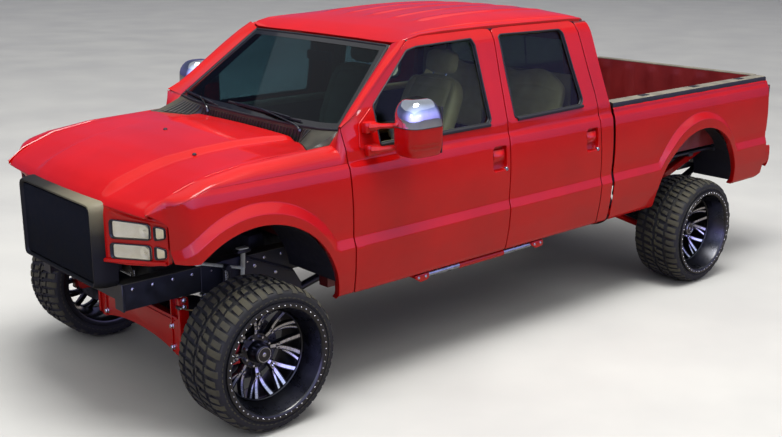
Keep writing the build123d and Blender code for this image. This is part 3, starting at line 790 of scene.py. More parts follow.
# ------------------------------------------------------------------ camera, light, floor
az, el, roll = 3.97928271, 0.271659741, 0.00350946
fwd = np.array([math.cos(el) * math.cos(az), math.cos(el) * math.sin(az), -math.sin(el)])
rgt = unit(np.cross(fwd, [0, 0, 1]))
upv = np.cross(rgt, fwd)
r2 = rgt * math.cos(roll) + upv * math.sin(roll)
u2 = -rgt * math.sin(roll) + upv * math.cos(roll)
r2, u2, f2 = rown(r2), rown(u2), rown(fwd)
eye = row(np.array([3.12836751, 5.51311981, 2.71132394]))
cd = bpy.data.cameras.new("photo_camera")
cd.sensor_fit = "HORIZONTAL"
cd.sensor_width = 36.0
cd.lens = 1065.628 / 782 * 36
cd.clip_start, cd.clip_end = 0.05, 200
cam = bpy.data.objects.new("photo_camera", cd)
Rm = Matrix([[r2[0], u2[0], -f2[0]], [r2[1], u2[1], -f2[1]], [r2[2], u2[2], -f2[2]]])
cam.matrix_world = Matrix.Translation(Vector(eye)) @ Rm.to_4x4()
bpy.context.scene.collection.objects.link(cam)
bpy.context.scene.camera = cam
bpy.context.scene.view_settings.view_transform = "Standard"


def area(name, loc, target, w, h, power, col=(1, 1, 1)):
    l = bpy.data.lights.new(name, "AREA")
    l.shape = "RECTANGLE"
    l.size, l.size_y = w, h
    l.energy = power
    l.color = col
    o = bpy.data.objects.new(name, l)
    d = Vector(target) - Vector(loc)
    o.matrix_world = Matrix.Translation(Vector(loc)) @ d.to_track_quat("-Z", "Y").to_matrix().to_4x4()
    bpy.context.scene.collection.objects.link(o)
    return o


area("key", (1.5, 2.0, 10.5), (0.0, 0, 0.8), 6, 4, 1500, (1.0, 0.985, 0.96))
area("sky", (0, 0, 24.0), (0, 0, 0), 104, 104, 21500, (1.0, 0.99, 0.975)).visible_glossy = False
area("top", (0, 0, 23.0), (0, 0, 0), 60, 60, 4300, (1.0, 0.99, 0.975))
area("nose", (10.5, 3.0, 4.5), (1.5, 0, 0.9), 4, 3, 40, (0.97, 0.98, 1.0))
area("side", (1.5, 12.0, 4.2), (0.0, 0, 0.9), 9, 2.0, 25, (0.90, 0.92, 1.0))
w = bpy.data.worlds.new("studio")
bpy.context.scene.world = w
w.use_nodes = True
nt = w.node_tree
nt.nodes.clear()
wo = nt.nodes.new("ShaderNodeOutputWorld")
bg = nt.nodes.new("ShaderNodeBackground")
tcw = nt.nodes.new("ShaderNodeTexCoord")
sp = nt.nodes.new("ShaderNodeSeparateXYZ")
nt.links.new(tcw.outputs["Generated"], sp.inputs["Vector"])
# three skies: a neutral one for the light, a pale one seen directly, and a violet band low behind the camera for the mirror images
sd_ = nt.nodes.new("ShaderNodeVectorMath")
sd_.operation = "DOT_PRODUCT"
sd_.inputs[1].default_value = (0.55, 0.80, 0.0)
nt.links.new(tcw.outputs["Generated"], sd_.inputs[0])
mr_ = nt.nodes.new("ShaderNodeMapRange")
for k_, v_ in (("From Min", -0.2), ("From Max", 0.8), ("To Min", 0.25), ("To Max", 3.4)):
    mr_.inputs[k_].default_value = v_
nt.links.new(sd_.outputs["Value"], mr_.inputs["Value"])
rp = ramp(nt, sp.outputs["Z"], [(0.0, (0.40, 0.36, 0.85, 1)), (0.05, (0.46, 0.42, 0.95, 1)), (0.20, (0.50, 0.48, 1.0, 1)), (0.45, (0.36, 0.40, 0.72, 1)), (0.75, (0.28, 0.32, 0.45, 1)), (1.0, (0.22, 0.24, 0.30, 1))])
nt.links.new(rp.outputs["Color"], bg.inputs["Color"])
nt.links.new(mr_.outputs["Result"], bg.inputs["Strength"])
skies = []
for stops, strength in (([(0.0, (0.42, 0.42, 0.44, 1)), (1.0, (0.55, 0.56, 0.58, 1))], 0.30), ([(0.0, (0.52, 0.52, 0.53, 1)), (0.5, (0.74, 0.75, 0.77, 1))], 1.0)):
    b_ = nt.nodes.new("ShaderNodeBackground")
    nt.links.new(ramp(nt, sp.outputs["Z"], stops).outputs["Color"], b_.inputs["Color"])
    b_.inputs["Strength"].default_value = strength
    skies.append(b_)
lp = nt.nodes.new("ShaderNodeLightPath")
mx = nt.nodes.new("ShaderNodeMixShader")
nt.links.new(lp.outputs["Is Glossy Ray"], mx.inputs["Fac"])
nt.links.new(skies[0].outputs["Background"], mx.inputs[1])
nt.links.new(bg.outputs["Background"], mx.inputs[2])
mx2 = nt.nodes.new("ShaderNodeMixShader")
nt.links.new(lp.outputs["Is Camera Ray"], mx2.inputs["Fac"])
nt.links.new(mx.outputs["Shader"], mx2.inputs[1])
nt.links.new(skies[1].outputs["Background"], mx2.inputs[2])
nt.links.new(mx2.outputs["Shader"], wo.inputs["Surface"])

fm = M()
g = np.linspace(-1, 1, 13)
GX, GY = np.meshgrid(g * 45, g * 45, indexing="ij")
sheet(np.stack([GX, GY, np.zeros_like(GX)], -1), 0, fm)
v = np.vstack(fm.v)
me = bpy.data.meshes.new("floor")
me.from_pydata(v.tolist(), [], np.concatenate(fm.f).tolist())
me.materials.append(FLOOR_M)
fl = bpy.data.objects.new("floor", me)
bpy.context.scene.collection.objects.link(fl)


# ------------------------------------------------------------------ body side surfaces
SEC = table([(2.060, .772), (2.045, .7815), (2.012, .8050), (1.980, .8215), (1.92, .8390), (1.860, .8545), (1.735, .887), (1.540, .942), (1.470, .962), (1.394, .968), (1.366, .983), (1.335, .9885), (1.300, .9930), (1.26, .9968), (1.215, 1.0000), (1.17, 1.0018),
             (1.13, 1.0024), (1.06, 1.0010), (.957, .996), (.900, 1.0145), (.760, 1.003), (.620, .978), (.600, .958)], 0.0035, 0.5, 2.2)
SLAB = table([(1.50, .981), (1.366, .985), (.957, .996), (.90, .9975), (.60, .9975)], 0.003, 0.4, 1.6)


def crease(x):
    return 1.366 + 0.003 - 0.0038 * (np.asarray(x, float) + 0.7) - 0.0027


def section(x, z):
    """Left skin of the cab and bed: y at x, z, its shoulder line falling towards the nose."""
    w = smooth(1.18, 1.33, z) * (1 - smooth(1.42, 1.50, z))
    return SEC(z - w * (crease(x) - 1.366)) + 0.003


ARCHES = {"front": ((0.021, 0.649, 0.626), (0.030, 0.620, 0.600), (0.020, 0.585, 0.572)), "rear": ((-4.204, 0.674, 0.607), (-4.215, 0.640, 0.592), (-4.225, 0.585, 0.572))}


def arch_side(x, z, which):
    """Side skin around a wheel arch: the sill's chamfer runs up and over the opening as a flare."""
    (cx, cz, cr), (rx, rz, rr), _ = ARCHES[which]
    sc = np.minimum(np.hypot(x - cx, z - cz) - cr, z - 0.957)
    sr = np.minimum(np.hypot(x - rx, z - rz) - rr, z - 0.900)
    t = np.clip(-sc / np.maximum(-sc + np.maximum(sr, 0), 1e-9), 0, 1)
    t = np.where(sc >= 0, 0, np.where(sr <= 0, 1, t))
    top = smooth(0.90, 1.06, z)
    yr = 1.0145 + 0.016 * top
    rock = np.where(z < 0.9, 1.0145 - SEC(np.minimum(z, 0.898)), 0)
    base = np.where(z > 1.0, section(x, z) - 0.003, SLAB(z))
    return base + (yr - base) * t - np.where(t > 0.98, rock, 0) + 0.003


DROP = table([(-1, 0), (0, 0), (.3, .002), (.5, .0114), (.6, .021), (.7, .035), (.78, .050), (.85, .067), (.92, .088), (1.0, .115), (1.08, .127), (1.25, .137), (1.6, .150), (2.2, .160)], .02, -1.2, 2.4, .004)


def front_drop(x, z):
    return DROP((x - 0.33) / (0.148 + 0.075 * (np.minimum(z, 1.21) - 1.03)))


def band(fn, x0, x1, n=40, off=(-0.005, 0, 0.005)):
    x = np.linspace(x0, x1, n)
    return [np.stack([x, fn(x) + o], 1) for o in off]


def arc_lines(c, r, a0, a1, n=60, off=(-0.005, 0, 0.005)):
    a = np.radians(np.linspace(a0, a1, n))
    return [np.stack([c[0] + (r + o) * np.cos(a), c[1] + (r + o) * np.sin(a)], 1) for o in off]


_fill = fill


def fill(outer_, holes, us, vs, lines=()):      # noqa: F811
    """Triangles over an outline with holes; mesh edges follow the crease lines given."""
    loops, pts, edges, k = [], [], [], 0
    for q in [outer_] + list(holes):
        n = len(q)
        pts.append(q)
        edges += [(k + i, k + (i + 1) % n) for i in range(n)]
        loops.append(np.arange(k, k + n))
        k += n
    B = np.vstack(pts)
    L = []
    for ln in lines:
        ln = np.asarray(ln, float)
        ok = inside(ln, outer_)
        for h in holes:
            ok &= ~inside(ln, h)
        ok &= ~near(ln, B, 0.0045)
        for i in range(len(ln)):
            if ok[i]:
                L.append(ln[i])
                if i and ok[i - 1]:
                    edges.append((k + len(L) - 2, k + len(L) - 1))
    if L:
        B = np.vstack([B, np.array(L)])
    U, V = np.meshgrid(us, vs, indexing="ij")
    G = np.stack([U.ravel(), V.ravel()], 1)
    ok = inside(G, outer_)
    for h in holes:
        ok &= ~inside(G, h)
    G = G[ok]
    step = min(np.diff(us).min() if len(us) > 1 else 1, np.diff(vs).min() if len(vs) > 1 else 1)
    if len(G):
        G = G[~near(G, B, 0.5 * step)]
    A = np.vstack([B, G]) if len(G) else B
    res = geometry.delaunay_2d_cdt([Vector(p) for p in A], edges, [], 0, 1e-7)
    co = np.array([tuple(p) for p in res[0]])
    T = np.array([t for t in res[2] if len(t) == 3], int)
    orig = np.full(len(A), -1)
    for i, src in enumerate(res[3]):
        for s_ in src:
            orig[s_] = i
    C = co[T].mean(1)
    ok = inside(C, outer_)
    for h in holes:
        ok &= ~inside(C, h)
    T = T[ok]
    return co, T, [orig[l] for l in loops]


def panel(outline, F, holes=(), step=0.025, lines=(), r=0.003, depth=0.02, mat=0, mat_in=None, m=None, out=(0, 1, 0), edge=None, wall=None, e=0.0012):   # noqa: F811
    """A pressed panel: the outline with holes in the plane of F's two parameters, F maps it to space.
    Its edges roll over by r and go down by depth, and an inner skin closes it. out says which way is outward."""
    m = m or M()
    outline = np.asarray(outline, float)
    if area2(outline) < 0:
        outline = outline[::-1]
    hs = []
    for h in holes:
        h = np.asarray(h, float)
        hs.append(h if area2(h) > 0 else h[::-1])
    st = edge or step
    O = inset(resample(outline, st), r)
    H = [inset(resample(h, st), -r) for h in hs]
    lo, hi = O.min(0), O.max(0)
    co, T, loops = fill(O, H, spans(lo[0], hi[0], step), spans(lo[1], hi[1], step), lines)
    loops = [loops[0]] + [l[::-1] for l in loops[1:]]

    def N(u, v):
        a = F(u + e, v) - F(u - e, v)
        b = F(u, v + e) - F(u, v - e)
        return unit(np.cross(a, b))
    P = F(co[:, 0], co[:, 1])
    Nn = N(co[:, 0], co[:, 1])
    sgn = 1.0 if (Nn @ np.asarray(out, float)).mean() > 0 else -1.0
    Nn = Nn * sgn
    g = np.cross(P[T[:, 1]] - P[T[:, 0]], P[T[:, 2]] - P[T[:, 0]])
    bad = (g * Nn[T].mean(1)).sum(1) < 0
    T[bad] = T[bad][:, ::-1]
    dep = depth(co[:, 0], co[:, 1]) if callable(depth) else np.full(len(co), float(depth))
    verts, norms, faces, mats_ = [P], [Nn], [T], [np.full(len(T), mat)]
    k = len(P)
    Pin = P - Nn * dep[:, None]
    wm = mat if wall is None else wall
    for l in loops:
        p, n_ = P[l], Nn[l]
        t = unit(np.roll(p, -1, 0) - np.roll(p, 1, 0))
        o = unit(np.cross(t, n_)) * sgn
        prev = l
        for ph in (30, 60, 90):
            c, s_ = math.cos(math.radians(ph)), math.sin(math.radians(ph))
            verts.append(p + o * (r * s_) - n_ * (r * (1 - c)))
            norms.append(n_ * c + o * s_)
            cur = k + np.arange(len(l))
            f = np.stack([prev, cur, np.roll(cur, -1), np.roll(prev, -1)], 1)
            faces.append(f if sgn > 0 else f[:, ::-1])
            mats_.append(np.full(len(f), mat))
            prev = cur
            k += len(l)
        top = k + np.arange(len(l))
        verts.append(p + o * r - n_ * r)
        norms.append(o)
        k += len(l)
        q = p + o * r - n_ * np.maximum(dep[l], r + 0.0005)[:, None]
        verts.append(q)
        norms.append(o)
        bot = k + np.arange(len(l))
        k += len(l)
        f = np.stack([top, bot, np.roll(bot, -1), np.roll(top, -1)], 1)
        faces.append(f if sgn > 0 else f[:, ::-1])
        mats_.append(np.full(len(f), wm))
        Pin[l] = q
    verts.append(Pin)
    norms.append(-Nn)
    faces.append(T[:, ::-1] + k)
    mats_.append(np.full(len(T), mat if mat_in is None else mat_in))
    V, NN = np.vstack(verts), np.vstack(norms)
    for f, mt in zip(faces, mats_):
        m.f.append(np.asarray(f, int) + m.k)
        m.m.append(np.asarray(mt, np.int32))
    m.v.append(V)
    m.n.append(NN)
    m.k += len(V)
    m.has_n = True
    return m


def side_F(fn):
    return lambda x, z: np.stack([x, fn(x, z), z], -1)


# ------------------------------------------------------------------ doors
SEAM = 0.0085
BX = -1.982
FD = [(-.672, .604), (-.655, .957), (-.640, 1.364), (-.612, 1.592), (-.712, 1.640), (-1.021, 1.878), (-1.229, 2.026), (-1.362, 2.046), (-1.900, 2.056), (BX + SEAM / 2, 2.050), (BX + SEAM / 2, .604)]
FDR = [.012, 0, 0, .025, .05, .2, .12, .1, .03, .03, .012]
FW = [(-.880, 1.464), (-.876, 1.690), (-1.013, 1.807), (-1.206, 1.975), (-1.295, 1.991), (-1.778, 2.006), (-1.800, 1.960), (-1.835, 1.497), (-1.807, 1.470)]
FWR = [.02, .03, .1, .06, .05, .02, .03, .03, .02]
RD = [(BX - SEAM / 2, .604), (BX - SEAM / 2, 2.050), (-2.100, 2.056), (-2.780, 2.056), (-2.823, 2.040), (-2.867, 1.786), (-2.912, 1.544), (-2.927, 1.364), (-2.950, .957), (-2.950, .604)]
RDR = [.012, .03, .05, .05, .05, .1, .1, .1, 0, .012]
RW = [(-2.052, 1.490), (-2.023, 2.000), (-2.050, 2.014), (-2.643, 2.010), (-2.673, 1.987), (-2.772, 1.524), (-2.740, 1.487), (-2.083, 1.474)]
RWR = [.02, .02, .02, .04, .04, .04, .03, .02]


def scaled(pts, d):
    p = np.asarray(pts, float)
    q = p if area2(p) > 0 else p[::-1]
    return inset(q, -d)


def crease_lines(x0, x1):
    return band(crease, x0, x1) + band(lambda x: crease(x) + 0.028, x0, x1) + band(lambda x: 0.957 + 0 * x, x0, x1) + band(lambda x: 0.900 + 0 * x, x0, x1) + band(lambda x: 0.62 + 0 * x, x0, x1, off=(0,)) + band(lambda x: .76 + 0 * x, x0, x1, off=(0,))


def door_piece(side_name, outline, radii, window, wradii, handle, lead, rear_edge, tag):
    """Outer skin with its window frame, handle cup and inner shell."""
    m = M()
    po = round_poly(outline, radii)
    pw = round_poly(window, wradii)
    hc = np.asarray(handle, float)
    hole = round_poly(hc, [0.035, 0.02, 0.035, 0.02], 6)
    crown = lambda x, z: section(x, z) + 0.004 * np.sin(PI * np.clip((x - rear_edge) / (lead - rear_edge), 0, 1)) * smooth(0.62, 0.9, z) * (1 - smooth(1.3, 1.5, z))
    F = side_F(crown)
    panel(po, F, [pw, hole], 0.03, crease_lines(-3.0, -0.6), r=0.004, depth=0.022, m=m, edge=0.02)
    # handle cup: a pressed recess and a flap
    cx, cz = hc.mean(0)
    H = resample(hole, 0.012)
    if area2(H) < 0:
        H = H[::-1]
    rings = []
    for k_, (s, d) in enumerate(((1.0, 0.004), (0.97, 0.02), (0.9, 0.030), (0.55, 0.034), (0.0, 0.034))):
        q = np.array([cx, cz]) + (H - [cx, cz]) * s
        rings.append(np.stack([q[:, 0], crown(q[:, 0], q[:, 1]) - d, q[:, 1]], 1))
    R = np.stack(rings, 0)
    sheet(R[:, ::-1], 0, m, cv=True, thick=.0015)
    # the flap stands in the upper front of the cup
    fx0, fx1, fz0, fz1 = cx - .052, cx + .052, cz - .02, cz + .055
    g = [[(x, crown(np.array(x), np.array(z)) + 0.002 - (0.016 if (i in (0, 3) or j in (0, 3)) else 0) + 0.004 * math.sin(PI * j / 3), z) for j, z in enumerate(np.linspace(fz0, fz1, 4))] for i, x in enumerate(np.linspace(fx0, fx1, 4))]
    P = net(g, 5, 5)
    sheet(P[::-1], 0, m, thick=0.012)
    lathe([(0, .0), (.011, 0), (.013, -.003), (.013, -.02)][::-1], 20, 2, m, c=(cx - .062, float(crown(np.array(cx - .062), np.array(cz - .058))) + .004, cz - .075))
    # inner shell under the belt
    core = [(lead - .084, .625), (lead - .084, 1.446), (rear_edge + .022, 1.446), (rear_edge + .022, .625)]
    prism(core, 1, .876, .952, 0.006, 2, 3, m)
    prism([(lead - .03, .66), (lead - .03, 1.44), (lead - .084, 1.44), (lead - .084, .66)], 1, .941, .955, 0.002, 1, 3, m)
    ob = m.both if False else None
    return m, crown


def seal_strip(pts, crown, r, m, mat, off=0.001, step=0.02, inward=0.0):
    q = resample(pts, step)
    P = np.stack([q[:, 0], crown(q[:, 0], q[:, 1]) + off, q[:, 1]], 1)
    return tube(P, r, 8, closed=True, mat=mat, m=m)


def door_trim(lead, rear_edge, win_lo, window, wradii):
    """Inner trim card with armrest, pull, speaker and a tan top roll."""
    m = M()
    x0, x1 = lead - .095, rear_edge + .035
    z0, z1 = .66, 1.448
    F = lambda x, z: np.stack([x, .872 - .010 * np.sin(PI * np.clip((z - z0) / (z1 - z0), 0, 1)), z], -1)
    panel(round_poly([(x0, z0), (x0, z1), (x1, z1), (x1, z0)], .04), F, [], .05, r=.004, depth=.010, m=m, mat=0, out=(0, -1, 0))
    L = x0 - x1
    # top roll
    P = np.array([[x0 - .01 - L * t * .98, .868 - .012 * math.sin(PI * t), 1.43] for t in np.linspace(0, 1, 20)])
    tube(P, .026, 12, mat=1, m=m, flat=1)
    # armrest
    a = [[(x0 - L * (.18 + .62 * t), y, 1.10 + .02 * math.sin(PI * t) + dz) for t in np.linspace(0, 1, 6)] for y, dz in ((.868, .035), (.835, .036), (.812, .02), (.812, -.03), (.84, -.055), (.868, -.06))]
    sheet(net(a, 5, 5)[::-1], 1, m)
    prism(round_poly([(x0 - L * .30, 1.18), (x0 - L * .30, 1.21), (x0 - L * .44, 1.21), (x0 - L * .44, 1.18)], .012), 1, .846, .866, .004, 2, 2, m)
    # speaker and pocket
    lathe([(0, .012), (.062, .012), (.075, .008), (.079, 0), (.079, -.01)], 32, 3, m, c=(x0 - L * .22, .862, .80))
    m2 = M()
    for i in range(1, 6):
        lathe([(.011 * i, 0), (.011 * i + .003, -.004), (.011 * i + .006, 0)], 28, 3, m2, c=(x0 - L * .22, .851, .80), closed=False)
    m.join(m2)
    rounded((x0 - L * .88, .845, .70), (x0 - L * .45, .870, .80), .012, 2, 0, m)
    return m


body_doors = {}
PX = {"front": dict(outline=FD, radii=FDR, window=FW, wradii=FWR, handle=[(-1.945, 1.165), (-1.945, 1.325), (-1.815, 1.325), (-1.815, 1.165)], lead=-.662, rear=BX + SEAM / 2),
      "rear": dict(outline=RD, radii=RDR, window=RW, wradii=RWR, handle=[(-2.900, 1.165), (-2.900, 1.325), (-2.770, 1.325), (-2.770, 1.165)], lead=BX - SEAM / 2, rear=-2.950)}
for fr_, d in PX.items():
    m, crown = door_piece(fr_, d["outline"], d["radii"], d["window"], d["wradii"], d["handle"], d["lead"], d["rear"], fr_)
    # window seals and the black belt strip
    wpts = round_poly(d["window"], d["wradii"])
    if area2(wpts) < 0:
        wpts = wpts[::-1]
    seal = M()
    seal_strip(inset(wpts, .004), crown, .0065, seal, 0, off=-.002)
    seal_strip(inset(wpts, .004), crown, .009, seal, 0, off=-.020)
    tube(np.array([[x, float(crown(np.array(x), np.array(1.476 + .0)) + .004), interp(x, [(p[0], p[1]) for p in ([(-.88, 1.462), (-1.83, 1.468)] if fr_ == "front" else [(-2.06, 1.474), (-2.76, 1.487)])])] for x in (np.linspace(-.885, -1.815, 24) if fr_ == "front" else np.linspace(-2.075, -2.75, 20))]), .008, 8, mat=0, m=seal, flat=1.4)
    trim = door_trim(d["lead"], d["rear"], 1.46, d["window"], d["wradii"])
    gl = M()
    gy = table([(1.400, .955), (1.440, .948), (1.540, .928), (1.735, .873), (1.860, .839), (1.980, .804), (2.030, .780)], .004, 1.3, 2.1)
    gout = inset(wpts, -.004)
    panel(gout, lambda x, z: np.stack([x, gy(z) + .001, z], -1), [], .05, r=.001, depth=.004, m=gl, e=.004)
    for sd in ("left", "right"):
        nm = f"{fr_}_{sd}_door"
        a = m if sd == "left" else m.mirror()
        a.build(nm + "_skin", nm, "body_paint", [RED, BLACK, STEEL, RED_SHADED], replaces=(nm,))
        s_ = seal if sd == "left" else seal.mirror()
        s_.build(nm + "_seals", nm, "black_plastic", [RUBBER_SEAL])
        t_ = trim if sd == "left" else trim.mirror()
        t_.build(nm + "_trim", nm, "interior_trim", [DASH_M, TAN, CHROME, BLACK])
        g_ = gl if sd == "left" else gl.mirror()
        g_.build(nm + "_pane", nm, "window_glass", [GLASS], replaces=(nm + "_glass",))

# ------------------------------------------------------------------ cab: rear corners and back wall
CR = [(-2.8315, 2.040), (-2.8755, 1.786), (-2.9205, 1.544), (-2.9355, 1.364), (-2.9585, .957), (-2.9585, .604), (-3.078, .604), (-3.078, 1.400), (-3.050, 1.520), (-2.990, 1.900), (-2.968, 2.040)]
cab = M()
corner = M()
panel(round_poly(CR, [.01, .1, .1, 0, 0, .01, .01, .2, .2, .2, .02]), side_F(section), [], .03, crease_lines(-3.1, -2.8), r=.004, depth=.0026, m=corner)
cab.join(corner).join(corner.mirror())
XR = table([(.604, -3.078), (1.40, -3.078), (1.52, -3.050), (1.90, -2.990), (2.045, -2.962)], .008, .5, 2.1)
yy = np.linspace(.612, 2.03, 46)
half = np.stack([SEC(yy) - .012, yy], 1)
bw = np.concatenate([half, (half * [-1, 1])[::-1]])
panel(bw, lambda y, z: np.stack([XR(z) - .003 - .004 * (1 - (y / .99) ** 2), y, z], -1), [round_poly([(-.602, 1.558), (.602, 1.558), (.602, 1.902), (-.602, 1.902)], .04)], .05, r=.006, depth=.0026, m=cab, out=(-1, 0, 0))
cab.build("cab_back_and_corners", "chassis", "body_paint", [RED])
rgl = M()
panel(round_poly([(-.600, 1.560), (.600, 1.560), (.600, 1.900), (-.600, 1.900)], .04), lambda y, z: np.stack([XR(z) + .006, y, z], -1), [], .1, r=.001, depth=.004, m=rgl, out=(-1, 0, 0))
rb_ = resample(round_poly([(-.600, 1.560), (.600, 1.560), (.600, 1.900), (-.600, 1.900)], .04), .03)
rgs = M()
tube(np.stack([XR(rb_[:, 1]) - .004, rb_[:, 0], rb_[:, 1]], 1), .009, 8, closed=True, m=rgs)
tube(np.array([(XR(z) - .001, .2, z) for z in np.linspace(1.565, 1.895, 8)]), .006, 8, m=rgs)
tube(np.array([(XR(z) - .001, -.2, z) for z in np.linspace(1.565, 1.895, 8)]), .006, 8, m=rgs)
rgs.build("rear_window_seal", "chassis", "black_plastic", [RUBBER_SEAL])

# windscreen: flat pane with a bowed lower edge, black border, seal
WN = np.array([.426, 0, .527]) / math.hypot(.426, .527)
WD = np.array([.527, 0, -.426]) / math.hypot(.426, .527)
WL = math.hypot(.527, .426)
W0 = np.array([-.668, 0, 1.560])


def ws_point(y, d, lift=0.0):
    y, d = np.asarray(y, float), np.asarray(d, float)
    return W0 + np.stack([0 * y, y, 0 * y], -1) + d[..., None] * WD + (lift + 0 * d)[..., None] * WN


def ws_outline(g):
    yb = np.linspace(-.846, .846, 41)
    db = interp(yb, [(-.846, 0), (-.7, .022), (-.45, .037), (0, .044), (.45, .037), (.7, .022), (.846, 0)]) - g
    lo = np.stack([yb * (1 - g / .846), db], 1)
    tp = np.stack([np.linspace(.686 - g, -.686 + g, 21), np.full(21, -WL + g)], 1)
    return np.concatenate([lo, tp])


wsb = lambda y, d: ws_point(y, d, .010 * (1 - (y / .86) ** 2) * 1.0)
wsm = M()
panel(ws_outline(.002), wsb, [], .06, r=.001, depth=.005, m=wsm, out=WN)
wsm.build("windscreen_pane", "chassis", "window_glass", [GLASS_F], replaces=("cab_glass",))
rgl.build("rear_window_pane", "chassis", "window_glass", [GLASS_R])
frit = M()
ri = ws_outline(.050)
ro = ws_outline(.001)
k_ = 160


def even(P, n):
    Q = np.vstack([P, P[:1]])
    s = np.concatenate([[0], np.cumsum(np.linalg.norm(np.diff(Q, axis=0), axis=1))])
    t = np.linspace(0, s[-1], n, endpoint=False)
    return np.stack([np.interp(t, s, Q[:, i]) for i in range(2)], 1)


eo = even(ro, k_)
ei = np.array([0, -WL / 2 + .02]) + (eo - [0, -WL / 2 + .02]) * [.948, .87]
A = np.stack([np.stack([wsb(q[:, 0], q[:, 1]) + WN * .0012 for q in (eo + (ei - eo) * t,)], 0)[0] for t in (0, .5, 1)], 0)
sheet(A, 0, frit, thick=.0008, cv=True)
tube(wsb(eo[:, 0], eo[:, 1]) + WN * .001, .0085, 8, closed=True, m=frit, mat=1)
frit.build("windscreen_border", "chassis", "black_plastic", [FRIT, RUBBER_SEAL])

# A-pillar covers between the windscreen and the door
ap = M()
B0, B1 = np.array([-.662, .856, 1.563]), np.array([-.6085, .924, 1.600])
T0, T1 = np.array([-1.203, .700, 1.997]), np.array([-1.222, .779, 2.028])
rows = []
for t in np.linspace(0, 1, 16):
    a = B0 + (T0 - B0) * t
    bx = B1[0] + (T1[0] - B1[0]) * t
    zt = interp(bx, [(-.600, 1.597), (-.612, 1.600), (-.712, 1.649), (-1.021, 1.887), (-1.229, 2.035)])
    b = np.array([bx, float(section(np.array(bx), np.array(zt))) + .002, zt])
    mid = (a + b) / 2
    nrm = unit(np.cross(B0 - T0, b - a))
    nrm = nrm if nrm[2] > 0 else -nrm
    pts = []
    for s in np.linspace(0, 1, 9):
        q = a + (b - a) * s
        pts.append(q + nrm * ((.004 + .016 * (1 - (2 * s - 1) ** 2)) * min(1, .35 + t * 4, .25 + (1 - t) * 4)))
    rows.append([a - nrm * .006] + pts + [b - nrm * .006])
P = np.array(rows)
sheet(P, 0, ap, thick=.002)
ap.both().build("pillar_covers", "chassis", "body_paint", [RED])

# ------------------------------------------------------------------ roof
ZC = table([(-1.05, 1.93), (-1.195, 1.988), (-1.30, 2.030), (-1.40, 2.062), (-1.55, 2.090), (-1.70, 2.110), (-1.90, 2.126), (-2.10, 2.134), (-2.30, 2.137), (-2.50, 2.135), (-2.70, 2.127), (-2.85, 2.112), (-2.93, 2.096), (-2.965, 2.080), (-3.00, 2.045), (-3.02, 2.01)], .02, -3.1, -1.0)
ZE = table([(-1.05, 1.93), (-1.195, 2.005), (-1.24, 2.030), (-1.36, 2.054), (-1.55, 2.062), (-1.9, 2.066), (-2.8, 2.066), (-2.93, 2.060), (-2.98, 2.045), (-3.02, 2.02)], .015, -3.1, -1.0)


def roof_z(x, y):
    t = np.clip(np.abs(y) / .785, 0, 1.05)
    ze, zc = ZE(x), ZC(x)
    g = 1 - t ** 3.4
    rib = 0.0
    for k in (-.46, -.23, 0, .23, .46):
        rib = rib + .0055 * np.exp(-((y - k) / .028) ** 4)
    rib = rib * smooth(-1.55, -1.75, x) * (1 - smooth(-2.80, -2.92, x))
    drip = -.010 * np.exp(-((np.abs(y) - .728) / .008) ** 2) * smooth(-1.30, -1.42, x)
    return ze + (zc - ze) * g + rib + drip + .004


ro = [(-1.238, 0), (-1.234, .35), (-1.212, .66), (-1.209, .70), (-1.222, .760), (-1.262, .778), (-1.36, .782), (-1.9, .780), (-2.9, .778), (-2.975, .745), (-2.994, .60), (-2.998, 0)]
ro = ro + [(x, -y) for x, y in ro[-2:0:-1]]
rl = []
for k in (-.46, -.23, 0, .23, .46):
    for o in (-.032, -.022, .022, .032):
        rl.append(np.stack([np.linspace(-1.55, -2.95, 50), np.full(50, k + o)], 1))
for s in (1, -1):
    for o in (-.016, -.008, 0, .008, .016):
        rl.append(np.stack([np.linspace(-1.30, -2.96, 60), np.full(60, s * (.728 + o))], 1))
rf = M()
panel(ro, lambda x, y: np.stack([x, y, roof_z(x, y)], -1), [], .035, rl, r=.006, depth=lambda u, v: .024 + 0 * u, m=rf, out=(0, 0, 1), mat_in=1, edge=.025)
# rail below the roof's edge, over the doors
for s in (1, -1):
    P = np.array([[x, s * float(interp(x, [(-1.24, .765), (-1.4, .758), (-2.9, .755), (-2.95, .75)])), float(ZE(x)) - .022] for x in np.linspace(-1.25, -2.94, 50)])
    tube(P, .020, 10, m=rf, mat=2)
rf.build("roof_panel", "chassis", "body_paint", [RED, HEADLINER, BLACK], replaces=("roof",))

# ------------------------------------------------------------------ front fenders
fen = M()
yJ = lambda x: interp(x, [(-.70, 1.3945), (.28, 1.3915), (.36, 1.378), (.44, 1.342), (.50, 1.308), (.54, 1.294), (.585, 1.283), (.60, 1.28)])
XE = lambda z: interp(z, [(.80, .470), (1.0, .478), (1.10, .486), (1.21, .492), (1.235, .508), (1.26, .548), (1.283, .586), (1.33, .60)])
HS = [(-.70, .862, 1.496), (-.61, .862, 1.487), (-.43, .862, 1.480), (0, .862, 1.464), (.27, .862, 1.427), (.48, .854, 1.354), (.586, .836, 1.285)]


def side_fender(x, z):
    return arch_side(x, z, "front") - front_drop(x, z)


